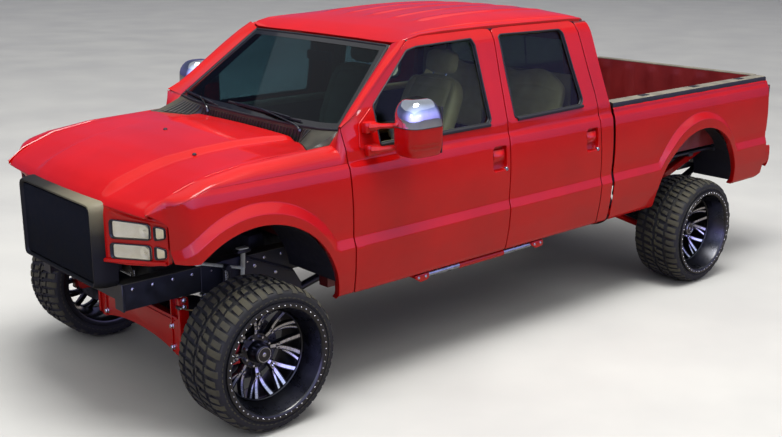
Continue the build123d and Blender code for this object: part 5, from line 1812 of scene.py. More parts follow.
# ------------------------------------------------------------------ bed
def side_bed(x, z):
    y = arch_side(x, z, "rear")
    roll = np.clip((z - 1.425) / .016, 0, 1)
    return y - .022 * roll ** 2


bed = M()
x0, x1 = -3.106, -5.2285
bot = [(x0, .606), (-3.640, .606)]
cx, cz, r = ARCHES["rear"][2]
a_ = np.radians(np.linspace(177, -1, 66))
arc = [(cx - r * math.cos(PI - a) * -1 * -1, cz + r * math.sin(a)) for a in a_]
arc = [(cx + r * math.cos(a), cz + r * math.sin(a)) for a in np.radians(np.linspace(2, 178, 66))]
pl = [(x0, 1.440), (x0, .606), (cx + r * math.cos(math.radians(2)) + .010, .606)] + arc + [(cx - r - .004, .606), (-5.150, .606), (-5.2285, .640), (x1, 1.440)]
pl = [p for i, p in enumerate(pl) if math.dist(p, pl[i - 1]) > .004]
lb = band(crease, -5.3, -3.0) + band(lambda x: crease(x) + .028, -5.3, -3.0) + arc_lines(ARCHES["rear"][0][:2], ARCHES["rear"][0][2], 25, 155) + arc_lines(ARCHES["rear"][1][:2], ARCHES["rear"][1][2], 20, 160)
lb += band(lambda x: .957 + 0 * x, -3.65, -3.1, 16) + band(lambda x: .900 + 0 * x, -3.65, -3.1, 16) + band(lambda x: .957 + 0 * x, -5.3, -4.80, 16) + band(lambda x: .900 + 0 * x, -5.3, -4.83, 16)
lb += band(lambda x: 1.425 + 0 * x, -5.3, -3.0, off=(0, .008))
panel(np.array(pl), side_F(side_bed), [], .028, lb, r=.003, depth=.006, m=bed, edge=.018)
arch_return("rear", bed, 0, 2, 178, side_bed, .9)
# inner side wall, rolled top rail under the cap
X = np.linspace(x0 - .002, x1 + .002, 60)
prof_ = [(.955, 1.425), (.952, 1.441), (.940, 1.446), (.862, 1.446), (.850, 1.440), (.846, 1.425), (.846, 1.395), (.852, 1.385), (.850, 1.30)] + [(.850, z) for z in np.linspace(1.25, .95, 8)] + [(.846, .947)]
P = np.array([[(x, y - (.006 if (.97 < z < 1.37 and int((x + 9) / .085) % 2 == 0) else 0), z) for y, z in prof_] for x in X])
sheet(P[::-1], 1, bed, thick=.003)
# front wall with pressed ribs
Yb = np.linspace(-.848, .848, 70)
Zb = np.linspace(.947, 1.443, 16)
P = np.array([[(-3.142 - (.008 * (math.sin(y * 26) > .3)) * (z < 1.39) - .0, y, z) for z in Zb] for y in Yb])
sheet(P[::-1], 1, bed, thick=.03)
tube(np.array([(-3.126, y, 1.448) for y in np.linspace(-.85, .85, 12)]), .020, 12, m=bed, mat=1, flat=1)
# wheel boxes inside the bed
for s in (1,):
    aa = np.radians(np.linspace(37.5, 142.5, 40))
    P = np.array([[(cx + .590 * math.cos(a), y, cz + .590 * math.sin(a)) for y in (.848, .80, .70, .62, .598, .590, .586)] for a in aa])
    P[:, 4:, 2] -= np.array([.002, .008, .022])
    sheet(P, 1, bed, thick=.003)
    P = np.array([[(cx + rr * math.cos(a), .5855, cz + rr * math.sin(a)) for rr in np.linspace(.570, .30, 4)] for a in aa])
    P[..., 2] = np.maximum(P[..., 2], .947)
    sheet(P, 1, bed, thick=.002)
# rear post of the bed side
prism(round_poly([(-5.2285, .850), (-5.2285, .935), (-5.180, .950), (-5.180, .850)], .008), 2, .946, 1.444, .004, 1, 0, bed)
bedl = bed.both()
# corrugated floor
Yf = np.linspace(-.846, .846, 240)
Zf = .9465 + .006 * (np.sin(Yf * 2 * PI / .115) > 0) * 1.0
Xf = np.linspace(-3.145, -5.196, 5)
fl_ = M()
P = np.array([[(x, y, z) for y, z in zip(Yf, Zf)] for x in Xf])
sheet(P, 0, fl_, thick=.003)
for x in (-3.145,):
    pass
fl_.build("bed_floor_liner", "chassis", "black_plastic", [BEDLINER])
# cross sills and underside of the floor
cs = M()
for x in np.linspace(-3.25, -5.10, 6):
    if abs(x - cx) > .0:
        rounded((x - .035, -.84, .880), (x + .035, .84, .925), .008, 1, 0, cs)
rounded((-5.19, -.84, .904), (-3.11, .84, .924), .004, 1, 0, cs)
cs.build("bed_cross_sills", "chassis", "frame_steel", [FRAME_M])
bedl.build("bed_sides", "chassis", "body_paint", [RED, RED_SHADED], replaces=("bed",))
LB = M()
liner(cx, cz, .577, .602, .962, 5, 175, LB, 0)
P = np.array([[(cx + rr * math.cos(a), .604, cz + rr * math.sin(a)) for rr in np.linspace(.578, .33, 5)] for a in np.radians(np.linspace(20, 160, 40))])
P[..., 2] = np.maximum(P[..., 2], .80)
sheet(P[::-1], 0, LB, thick=.002)
LB.both().build("rear_wheelhouse_liners", "chassis", "black_plastic", [LINER])

# rail caps: black plastic whose upward faces take a grey painted sheen
cap = M()
pc = [(.850, 1.4475), (.849, 1.460), (.853, 1.468), (.862, 1.4715), (.90, 1.4735), (.940, 1.4715), (.953, 1.467), (.9585, 1.458), (.9595, 1.446), (.9600, 1.432), (.955, 1.429), (.950, 1.4475)]
X = np.concatenate([np.linspace(-3.106, -5.20, 40), [-5.212, -5.222, -5.2285, -5.231]])
rows = []
for i, x in enumerate(X):
    k = 1.0 if x > -5.205 else max(0, 1 - ((-5.205 - x) / .027) ** 2) ** .5
    rows.append([(x, .905 + (y - .905) * (.80 + .20 * k), 1.445 + (z - 1.445) * (.45 + .55 * k)) for y, z in pc])
P = np.array(rows)
nu, nv = P.shape[:2]
f = grid_faces(nu, nv, False, True)
j = f[:, 0] % nv
capm = M()
capm.add(P, f[:, ::-1], 0)
# the upward faces of the cap profile take the grey, the rest stays black: painted sheen on the top
capm.m[-1] = np.where((j >= 2) & (j <= 5), 0, 1).astype(np.int32)
capm.add(np.concatenate([P[0], P[-1]]), [list(range(nv)), list(range(nv, 2 * nv))[::-1]], 1)
for x in (-3.55, -4.22, -4.88):
    rounded((x - .045, .878, 1.470), (x + .045, .928, 1.4765), .003, 2, 1, capm)
capm.both().build("rail_caps", "chassis", "black_plastic", [CAP_SHEEN, BLACK], replaces=("bed_rail_caps",))

# ------------------------------------------------------------------ tailgate
tg = M()


def tg_x(y, z):
    a = np.abs(y)
    inset_ = smooth(0, .018, .70 - a) * smooth(0, .018, z - 1.02) * smooth(0, .018, 1.345 - z)
    return -5.2985 - .004 * (1 - (y / .83) ** 2) + .010 * inset_


lt = []
for z0 in (1.02, 1.029, 1.038, 1.327, 1.336, 1.345, 1.372, 1.390):
    lt.append(np.stack([np.linspace(-.82, .82, 60), np.full(60, z0)], 1))
for y0 in (-.70, -.691, -.682, .682, .691, .70):
    lt.append(np.stack([np.full(20, y0), np.linspace(1.0, 1.36, 20)], 1))
hole_h = round_poly([(-.095, 1.222), (.095, 1.222), (.095, 1.292), (-.095, 1.292)], .02)
panel(round_poly([(-.827, .944), (.827, .944), (.827, 1.462), (-.827, 1.462)], .012), lambda y, z: np.stack([tg_x(y, z) - .006 * smooth(1.37, 1.395, z), y, z], -1), [hole_h], .04, lt, r=.005, depth=.024, m=tg, out=(-1, 0, 0), edge=.03)
q = resample(hole_h, .01)
q = q if area2(q) > 0 else q[::-1]
c_ = q.mean(0)
rings = []
for s, d in ((1.0, .004), (.985, .022), (.90, .028), (0, .028)):
    k = c_ + (q - c_) * s
    rings.append(np.stack([tg_x(k[:, 0], k[:, 1]) + d, k[:, 0], k[:, 1]], 1))
sheet(np.stack(rings, 0), 1, tg, cv=True, thick=.002)
rounded((-5.297, -.070, 1.245), (-5.283, .070, 1.283), .006, 2, 1, tg)
# inner side and edges
P = np.array([[(-5.2385 + (.006 if (.99 < z < 1.40 and math.sin(y * 24) > .3) else 0), y, z) for z in np.linspace(.946, 1.458, 18)] for y in np.linspace(-.824, .824, 70)])
sheet(P, 2, tg, thick=.003)
for s in (1, -1):
    rounded((-5.290, s * .812, .950), (-5.240, s * .8255, 1.458), .003, 1, 0, tg)
rounded((-5.290, -.824, .946), (-5.240, .824, .956), .003, 1, 0, tg)
# tailgate top cap in the same grey: painted sheen
rounded((-5.300, -.826, 1.452), (-5.2375, .826, 1.4665), .006, 2, 3, tg)
tg.build("tailgate_panel", "tailgate", "body_paint", [RED, BLACK, RED_SHADED, CAP_SHEEN], replaces=("tailgate",))

# ------------------------------------------------------------------ tail lights
tl = M()
Yt, Zt = np.linspace(.842, .984, 12), np.linspace(1.004, 1.396, 30)
P = np.array([[(-5.2655 + .030 * max(0, (y - .93) / .054) ** 2.2 + (.0022 if int((z - 1.0) / .0132) % 3 == 0 else 0) - .002 * math.sin(PI * (z - 1.0) / .4), y, z) for z in Zt] for y in Yt])
P2 = P[::-1]
f = grid_faces(*P2.shape[:2])
tlm = M()
sheet(P2[::-1], 0, tlm, thick=.004)
for z0, z1, mt in ((1.18, 1.235, 1),):
    Zs = np.linspace(z0, z1, 8)
    P = np.array([[(-5.2675 + .030 * max(0, (y - .93) / .054) ** 2.2 - .002 * math.sin(PI * (z - 1.0) / .4), y, z) for z in Zs] for y in np.linspace(.848, .976, 10)])
    sheet(P, mt, tlm, thick=.003)
rounded((-5.257, .842, 1.003), (-5.234, .984, 1.397), .004, 1, 2, tlm)
tlm.both().build("tail_light_units", "chassis", "lamp_red", [LENS_RED, LAMP_WHITE, BLACK], replaces=("tail_lights",))

# ------------------------------------------------------------------ rear bumper
bp = M()
Yb = np.linspace(-.985, .985, 80)
rows = []
for y in Yb:
    a = abs(y)
    end = smooth(.86, .985, np.array(a))
    fx = .075 * float(end) ** 1.6
    prof_ = [(-5.266, .852), (-5.276, .862), (-5.330, .866), (-5.392, .864), (-5.412, .858), (-5.420, .846), (-5.422, .800), (-5.418, .760), (-5.405, .720), (-5.390, .700), (-5.376, .692), (-5.370, .694)]
    rows.append([(x + (fx if x < -5.30 else 0), y, z - .004 * (a > .9)) for x, z in prof_])
P = np.array(rows)
sheet(P[::-1], 0, bp, thick=.003)
# wrapped ends along the sides
for s in (1, -1):
    rows = []
    for x in np.linspace(-5.345, -5.236, 8):
        rows.append([(x, s * (.985 + d), z) for d, z in ((-.012, .866), (.000, .860), (.004, .80), (.002, .74), (-.006, .706), (-.020, .694))])
    P = np.array(rows)
    sheet(P if s > 0 else P[::-1], 4, bp, thick=.003)
# step pad, plate recess, blank plate, brackets and receiver
rounded((-5.410, -.30, .8655), (-5.275, .30, .8735), .004, 2, 1, bp)
for s in (1, -1):
    rounded((-5.400, s * .36, .8655), (-5.275, s * .84, .8735), .004, 2, 1, bp)
    for i in range(10):
        y = s * (.385 + .046 * i)
        rounded((-5.392, y - .004, .8730), (-5.283, y + .004, .8765), .0015, 1, 1, bp)
    prism(round_poly([(-5.268, .682), (-5.268, .798), (-5.152, .798), (-5.152, .682)], .01), 1, s * .412, s * .488, .003, 1, 2, bp)
    for z in (.72, .76):
        hexbolt(np.array([-5.20, s * .489, z]), [0, s, 0], .010, 3, bp)
    lathe([(0, .012), (.012, .012), (.020, .004), (.020, 0)][::-1], 20, 3, t_ := M())
    bp.join(t_.moved(np.array([[0, -1, 0], [1, 0, 0], [0, 0, 1]]), (-5.421, s * .62, .80)))
rounded((-5.4265, -.160, .712), (-5.4225, .160, .806), .002, 1, 5, bp)
rounded((-5.425, -.170, .703), (-5.405, .170, .815), .004, 1, 1, bp)
# receiver tube: open square with a collar
sq = lambda h, r_: round_poly([(-h, 632e-3 - h), (h, 632e-3 - h), (h, 632e-3 + h), (-h, 632e-3 + h)], r_, 3)
o_, i_ = sq(.042, .008), sq(.0256, .002)
n_ = 48
eo_, ei_2 = even(o_, n_), even(i_, n_)
rings = []
for q, x in ((eo_, -5.165), (eo_, -5.425), (sq and even(sq(.050, .010), n_), -5.427), (even(sq(.050, .010), n_), -5.438), (even(sq(.047, .010), n_), -5.441), (ei_2, -5.441), (ei_2, -5.170)):
    rings.append(np.stack([np.full(n_, x), q[:, 0], q[:, 1]], 1))
sheet(np.stack(rings, 0), 2, bp, cv=True, thick=.0008)
rounded((-5.30, -.060, .655), (-5.25, .060, .70), .006, 1, 2, bp)
tube(np.array([(-5.400, -.066, .632), (-5.400, .066, .632)]), .0075, 12, m=bp, mat=3)
for s in (1, -1):
    tube(np.array([(-5.30, s * .05, .64), (-5.24, s * .09, .66), (-5.18, s * .40, .70)]), .018, 10, m=bp, mat=2)
bp.build("bumper_shell", "chassis", "bright_steel", [RED, BLACK, FRAME_M, STEEL, RED, PLATE], replaces=("rear_bumper",))

# ------------------------------------------------------------------ mirrors
mm = M()
# head: one rounded box, chrome above the parting line, glass in its rear face
Zm = np.array([1.414, 1.416, 1.420, 1.430, 1.46, 1.50, 1.55, 1.586, 1.5915, 1.5925, 1.62, 1.66, 1.69, 1.715, 1.732, 1.742, 1.748, 1.750])
ins_ = interp(Zm, [(1.414, .070), (1.416, .050), (1.420, .034), (1.430, .020), (1.46, .008), (1.50, .003), (1.55, 0), (1.60, 0), (1.66, .003), (1.69, .012), (1.715, .028), (1.732, .045), (1.742, .062), (1.748, .085), (1.750, .110)])
ctrl = []
for z, q in zip(Zm, ins_):
    back_x = -1.114 + max(0, (z - 1.60)) * .26
    x0, x1, y0, y1 = back_x + q * .3, -.867 - q, 1.052 + q * .45, 1.262 - q * .8
    cx_, cy_, hx, hy = (x0 + x1) / 2, (y0 + y1) / 2, (x1 - x0) / 2, (y1 - y0) / 2
    a = np.linspace(0, 2 * PI, 49)[:-1]
    c, s = np.cos(a), np.sin(a)
    e = np.where(c > 0, .62, .25)
    ctrl.append(np.stack([cx_ + hx * np.sign(c) * np.abs(c) ** e, cy_ + hy * np.sign(s) * np.abs(s) ** np.where(c > 0, .62, .25), np.full(48, z)], 1))
P = np.array(ctrl)
f = grid_faces(*P.shape[:2], False, True)
i = f[:, 0] // P.shape[1]
mm.add(P, f if ((P[1, 12] - P[0, 12])[2] > 0) else f[:, ::-1], 0)
zz = P[:, :, 2].mean(1)
mm.m[-1] = np.where(zz[i] > 1.5924, 1, 0).astype(np.int32)
mm.add(np.concatenate([P[0], P[-1]]), [list(range(48))[::-1], list(range(48, 96))], 0)
mm.m[-1] = np.array([0, 1], np.int32)
rounded((-1.1175, 1.078, 1.520), (-1.106, 1.232, 1.690), .003, 2, 2, mm)
rounded((-1.1175, 1.078, 1.432), (-1.106, 1.232, 1.508), .003, 2, 2, mm)
rounded((-1.116, 1.068, 1.430), (-1.104, 1.242, 1.700), .003, 2, 3, mm)
k9 = int(np.argmin(abs(Zm - 1.5915)))
tube(np.array([p + (p - [P[k9, :, 0].mean(), P[k9, :, 1].mean(), p[2]]) * .006 for p in P[k9]]), .0026, 6, closed=True, m=mm, mat=3)
# marker lens low on the outer front corner: two slim strips
for za, zb in ((1.470, 1.482), (1.494, 1.506)):
    q = [P[np.argmin(abs(Zm - 1.50)), k] for k in range(4, 14)]
    Q = np.array([[(p[0] + .004 * (p[0] + .995) / .13, p[1] + .004, z) for p in q] for z in (za, (za + zb) / 2, zb)])
    sheet(Q, 4, mm, thick=.003)
# two faceted arms and the foot plates
for (a, b, c, w) in (((-.790, .975, 1.584), (-.840, 1.02, 1.588), (-.950, 1.080, 1.586), .026), ((-.800, .985, 1.452), (-.845, 1.03, 1.456), (-.950, 1.080, 1.466), .029)):
    path = catmull([a, b, c], 6)
    tube(path, np.interp(np.linspace(0, 1, len(path)), [0, .35, .45, 1], [w * 1.25, w * 1.2, w * .75, w * .7]), 8, m=mm, mat=0, flat=.8)
    rounded((a[0] - .046, a[1] - .030, a[2] - .036), (a[0] + .040, a[1] + .018, a[2] + .030), .012, 2, 0, mm)
for sd, mo in (("left", mm), ("right", mm.mirror())):
    mo.build(sd + "_mirror_unit", f"front_{sd}_door", "body_paint", [RED, CHROME, MIRROR, BLACK, LENS_AMBER], replaces=(sd + "_mirror",))
# sail panels in the front corners of the side windows
sl = M()
sp2 = round_poly([(-.720, 1.462), (-.876, 1.462), (-.872, 1.692), (-.745, 1.600)], [.02, .006, .02, .03])
panel(sp2, lambda x, z: np.stack([x, section(x, z) + .0055, z], -1), [], .03, r=.002, depth=.004, m=sl)
sl.build("left_sail_panel", "front_left_door", "body_paint", [RED])
sl.mirror().build("right_sail_panel", "front_right_door", "body_paint", [RED])


# ------------------------------------------------------------------ interior
def pad(size, crown=(.02, .012, .02), n=34, p=5.0, pull=.012, top=None, front_roll=0.0):
    """Stuffed closed form in a box centred on the origin: crowned faces, sides that pull in between the corners."""
    sx, sy, sz = [s / 2 for s in size]
    m = M()
    g = np.linspace(-1, 1, n)
    g = np.sin(g * PI / 2 * .96) / math.sin(PI / 2 * .96)
    U, V = np.meshgrid(g, g, indexing="ij")
    one = np.ones_like(U)
    for ax in range(3):
        for s in (1, -1):
            c = [None, None, None]
            c[ax] = one * s
            c[(ax + 1) % 3] = U
            c[(ax + 2) % 3] = V
            P = np.stack(c, -1)
            l = (np.abs(P) ** p).sum(-1, keepdims=True) ** (1 / p)
            Q = P / l * (3 ** (1 / p) * .0 + 1.0)
            f = grid_faces(n, n)
            m.add(Q, f if s > 0 else f[:, ::-1])
    V_ = np.vstack(m.v)
    x, y, z = V_[:, 0], V_[:, 1], V_[:, 2]
    # sides draw in between the corners; faces swell in their middles
    X = x * (sx - pull * (1 - np.minimum(1, np.abs(y)) ** 2) * (1 - np.abs(z) ** 2) * 0 + crown[0] * (1 - y ** 2).clip(0) * (1 - z ** 2).clip(0) - crown[0])
    Y = y * (sy + crown[1] * (1 - x ** 2).clip(0) * (1 - z ** 2).clip(0) - crown[1] - pull * (1 - x ** 2).clip(0) * np.abs(z) ** 3)
    Z = z * (sz + crown[2] * (1 - x ** 2).clip(0) * (1 - y ** 2).clip(0) - crown[2])
    m.v = [np.stack([X, Y, Z], 1)]
    return m, V_


def groove(V_, W, axis, at, depth, width, face_axis, face_sign, lim=None):
    """Presses a sewn channel into one face of a pad."""
    k = np.exp(-((W[:, axis] - at) / width) ** 2) * np.clip(V_[:, face_axis] * face_sign - .55, 0, .45) / .45
    if lim:
        for a, lo, hi in lim:
            k = k * ((W[:, a] > lo) & (W[:, a] < hi))
    W[:, face_axis] -= face_sign * depth * k
    return W


def seat_pad(name, size, at, R, slot, channels=(), bolster=None, crown=(.012, .01, .022), n=40, cols=(0,), post=None, shear=None, seams=True):
    m, V_ = pad(size, crown, n)
    W = m.v[0].copy()
    if bolster:
        ax, w, h = bolster        # raised sides
        e = np.clip((np.abs(W[:, ax]) - (size[ax] / 2 - w)) / w, 0, 1)
        W[:, 2] += np.where(V_[:, 2] > 0, h * np.sin(e * PI / 2) ** 1.5 * np.clip(V_[:, 2], 0, 1), 0)
        for s in (1, -1):
            W = groove(V_, W, ax, s * (size[ax] / 2 - w), .010, .006, 2, 1)
    for ax, at_, d, w, lim in channels:
        W = groove(V_, W, ax, at_, d, w, 2, 1, lim)
    if post is not None:
        W = post(W, V_)
    m.v = [W @ np.asarray(R).T + np.asarray(at)]
    o = m.build(name, "chassis", slot, [TAN], sharp=60)
    return o


def basis(up, fwd_):
    up = unit(np.asarray(up, float))
    y = unit(np.cross(up, np.asarray(fwd_, float)))
    x = np.cross(y, up)
    return np.stack([x, y, up], 1)


first = True
for s, nm in ((1, "left"), (-1, "right")):
    cy_ = s * .400
    # base box and slides under the cushion
    b = M()
    rounded((-1.86, cy_ - .235, .905), (-1.36, cy_ + .235, .985), .02, 2, 0, b)
    for q in (-.19, .19):
        rounded((-1.88, cy_ + q - .018, .882), (-1.30, cy_ + q + .018, .906), .004, 1, 1, b)
    rounded((-1.83, cy_ - .262, .985), (-1.37, cy_ - .238, 1.06), .012, 2, 0, b)
    rounded((-1.83, cy_ + .238, .985), (-1.37, cy_ + .262, 1.06), .012, 2, 0, b)
    lathe([(0, .02), (.028, .018), (.034, .008), (.034, 0)][::-1], 24, 0, k_ := M())
    b.join(k_.moved(None, (-1.80, cy_ + .262, 1.10)) if s > 0 else k_.mirror().moved(None, (-1.80, cy_ - .262, 1.10)))
    o_ = b.build(f"front_{nm}_seat_base", "chassis", "interior_trim", [DASH_M, STEEL])
    if first:
        pass
    Rc = basis([-.10, 0, 1], [1, 0, .10])
    ch = [(0, x, .007, .007, [(1, -.19, .19)]) for x in (-.10, .02, .14)]
    seat_pad(f"front_{nm}_seat_cushion", (.545, .530, .170), (-1.605, cy_, 1.075), Rc, "seat_cloth", ch, (1, .075, .028))
    up_ = unit(np.array([-.385, 0, .92]))
    n_ = np.array([.92, 0, .385])
    Rb = basis(n_, [.385 * -1, 0, .92])
    ch = [(0, x, .006, .007, [(1, -.18, .18)]) for x in (-.12, -.02, .08)] + [(0, .185, .008, .007, None)]

    def round_top(W, V_):
        k = np.clip((W[:, 0] - .12) / .16, 0, 1)
        W[:, 1] *= 1 - .16 * k ** 2
        return W
    seat_pad(f"front_{nm}_seat_back", (.555, .510, .135), (-1.806, cy_, 1.463), Rb, "seat_cloth", ch, (1, .075, .030), (.012, .01, .016), post=round_top)
    Rh = basis([.97, 0, .22], [-.22, 0, .97])
    h = seat_pad(f"front_{nm}_headrest", (.165, .275, .105), (-1.934, cy_, 1.808), Rh, "seat_cloth", [(1, 0, .003, .006, None)], None, (.014, .012, .014), n=26)
    p_ = M()
    for q in (-.06, .06):
        tube(np.array([(-1.902, cy_ + q, 1.690), (-1.925, cy_ + q, 1.770)]), .006, 10, m=p_)
    # piping along the seams of cushion and back
    for (c, R_, sz_) in (((-1.605, cy_, 1.075), Rc, (.545, .530, .170)), ((-1.806, cy_, 1.463), Rb, (.555, .510, .135))):
        pts = round_poly([(-sz_[0] * .44, -sz_[1] * .445), (sz_[0] * .44, -sz_[1] * .445), (sz_[0] * .44, sz_[1] * .445), (-sz_[0] * .44, sz_[1] * .445)], .06)
        q = resample(pts, .03)
        L = np.stack([q[:, 0], q[:, 1] * (1 - (.13 * np.clip((q[:, 0] - .12) / .16, 0, 1) ** 2 if sz_[2] < .15 else 0)), np.full(len(q), sz_[2] * .36)], 1)
        tube(L @ np.asarray(R_).T + np.asarray(c), .0042, 6, closed=True, m=p_, mat=1)
    p_.build(f"front_{nm}_seat_posts_and_piping", "chassis", "bright_steel", [STEEL, STITCH])
    first = False
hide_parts("front_seats")

# rear bench: one cushion and one back with three rounded tops
ch = [(1, y, .012, .008, None) for y in (-.235, .235)] + [(0, x, .006, .007, None) for x in (-.10, .04)]
seat_pad("rear_bench_cushion", (.520, 1.44, .165), (-2.600, 0, 1.095), basis([-.08, 0, 1], [1, 0, .08]), "seat_cloth", ch, None, (.012, .012, .022), n=60)
nB = np.array([.94, 0, .33])


def tops(W, V_):
    k = np.clip(W[:, 0] / .25, 0, 1)
    c = .5 + .5 * np.cos(W[:, 1] * 2 * PI / .48)
    W[:, 0] -= .045 * k * (1 - c) * (V_[:, 0] > 0)
    return W


ch = [(1, y, .012, .008, None) for y in (-.235, .235)] + [(0, x, .006, .007, None) for x in (-.10, .02, .12)]
seat_pad("rear_bench_back", (.520, 1.44, .125), (-2.820, 0, 1.445), basis(nB, [-.33, 0, .94]), "seat_cloth", ch, None, (.012, .012, .016), n=60, post=tops)
rb0 = M()
rounded((-2.86, -.70, .885), (-2.36, .70, 1.015), .025, 2, 0, rb0)
rounded((-2.955, -.70, 1.22), (-2.925, .70, 1.66), .010, 2, 0, rb0)
for y in (-.235, .235):
    rounded((-2.60, y - .02, 1.180), (-2.565, y + .02, 1.194), .005, 2, 1, rb0)
rb0.build("rear_bench_base", "chassis", "interior_trim", [TAN_DARK, BLACK], replaces=("rear_bench",))

# dashboard
db = M()
rowsd = []
for y in np.linspace(-.795, .795, 61):
    hood_ = math.exp(-((y - .40) / .20) ** 4)          # instrument hood
    mid_ = math.exp(-(y / .17) ** 6)                     # centre stack
    pr = [(-.640, 1.458), (-.700, 1.492), (-.790, 1.496 + .006 * hood_), (-.880, 1.488 + .022 * hood_), (-.925 - .018 * hood_, 1.470 + .022 * hood_), (-.944 - .022 * hood_, 1.440 + .030 * hood_ * .6), (-.935 + .020 * hood_ - .012 * mid_, 1.405), (-.945 + .028 * hood_ - .018 * mid_, 1.34), (-.952 - .010 * mid_, 1.27), (-.925, 1.215), (-.875, 1.150), (-.820, 1.110), (-.700, 1.100)]
    rowsd.append([(x, y, z) for x, z in pr])
sheet(net(rowsd, 2, 4), 0, db, thick=.006)
# instruments, vents, centre panel, glove box, switches
for y in (.30, .40, .50):
    k = M()
    lathe([(0, 0), (.036, 0), (.044, .006), (.047, .004), (.047, -.006)], 28, 3, k)
    R_ = np.array([[0, -1, 0], [1, 0, 0], [0, 0, 1]])
    db.join(k.moved(R_, (-.931, y, 1.375)))
    k = M()
    lathe([(0, .0015), (.035, .0015), (.035, 0)], 28, 1, k)
    db.join(k.moved(R_, (-.932, y, 1.375)))
    tube(np.array([(-.9345, y, 1.375), (-.9345, y + .020, 1.392)]), .0014, 6, m=db, mat=2)
for y in (-.70, -.16, .16, .70):
    rounded((-.962, y - .062, 1.385), (-.940, y + .062, 1.440), .008, 2, 3, db)
    for i in range(4):
        rounded((-.9655, y - .052, 1.394 + .011 * i), (-.958, y + .052, 1.398 + .011 * i), .0015, 1, 1, db)
rounded((-.9745, -.120, 1.245), (-.955, .120, 1.372), .010, 2, 1, db)
rounded((-.9785, -.095, 1.315), (-.970, .095, 1.362), .004, 2, 3, db)
for y in (-.07, 0, .07):
    k = M()
    lathe([(0, .014), (.014, .013), (.017, .009), (.018, 0)][::-1], 20, 3, k)
    db.join(k.moved(np.array([[0, -1, 0], [1, 0, 0], [0, 0, 1]]), (-.975, y, 1.275)))
rounded((-.958, -.62, 1.205), (-.935, -.24, 1.345), .012, 2, 1, db)
rounded((-.962, -.46, 1.328), (-.956, -.40, 1.338), .003, 1, 2, db)
# centre console, pedals, column
rounded((-1.70, -.11, .882), (-1.02, .11, 1.10), .03, 3, 1, db)
rounded((-1.66, -.085, 1.095), (-1.30, .085, 1.135), .02, 3, 4, db)
tube(catmull([(-1.17, 0, 1.09), (-1.16, .0, 1.22), (-1.18, 0, 1.29)], 6), .009, 10, m=db, mat=3)
k = M()
lathe([(0, .05), (.016, .046), (.021, .02), (.015, 0)][::-1], 20, 3, k)
db.join(k.moved(np.array([[1, 0, 0], [0, 0, 1], [0, 1, 0]]), (-1.18, 0, 1.27)))
for y in (.33, .43, .53):
    rounded((-.80, y - .035, .99), (-.785, y + .035, 1.07), .004, 1, 3, db)
    tube(np.array([(-.79, y, 1.06), (-.72, y, 1.20)]), .008, 8, m=db, mat=3)
tube(np.array([(-1.085, .40, 1.278), (-.90, .40, 1.19)]), .040, 16, m=db, mat=3)
for s in (1, -1):
    tube(np.array([(-1.05, .40 + s * .03, 1.270), (-1.062, .40 + s * .15, 1.292)]), .007, 8, m=db, mat=3)
db.build("dash_assembly", "chassis", "interior_trim", [DASH_M, DASH_G, LAMP_WHITE, BLACK, TAN], replaces=("dashboard",))
# steering wheel
sw = M()
N_ = unit(np.array([-.9, 0, .44]))
E1 = np.array([0, 1.0, 0])
E2 = unit(np.cross(N_, E1))
C_ = np.array([-1.130, .400, 1.300])
a = np.linspace(0, 2 * PI, 64, endpoint=False)
tube(C_ + .190 * (np.cos(a)[:, None] * E1 + np.sin(a)[:, None] * E2), .0148, 14, closed=True, m=sw)
for d in (E1, -E1, E2, -E2):
    if abs(d[2]) > .3 and d[2] > 0:
        continue
    tube(np.array([C_ + d * .03 - N_ * .018, C_ + d * .10 - N_ * .012, C_ + d * .185]), np.array([.024, .019, .013]), 10, m=sw, flat=.6)
k = M()
lathe([(0, .020), (.040, .017), (.060, .006), (.066, -.010), (.060, -.030), (.040, -.045)][::-1], 36, 0, k)
Rm_ = np.stack([E1, N_, np.cross(E1, N_)], 1)
sw.join(k.moved(Rm_, C_ - N_ * .012))
sw.build("steering_wheel_rim", "steering_wheel", "interior_trim", [DASH_M], replaces=("steering_wheel",))
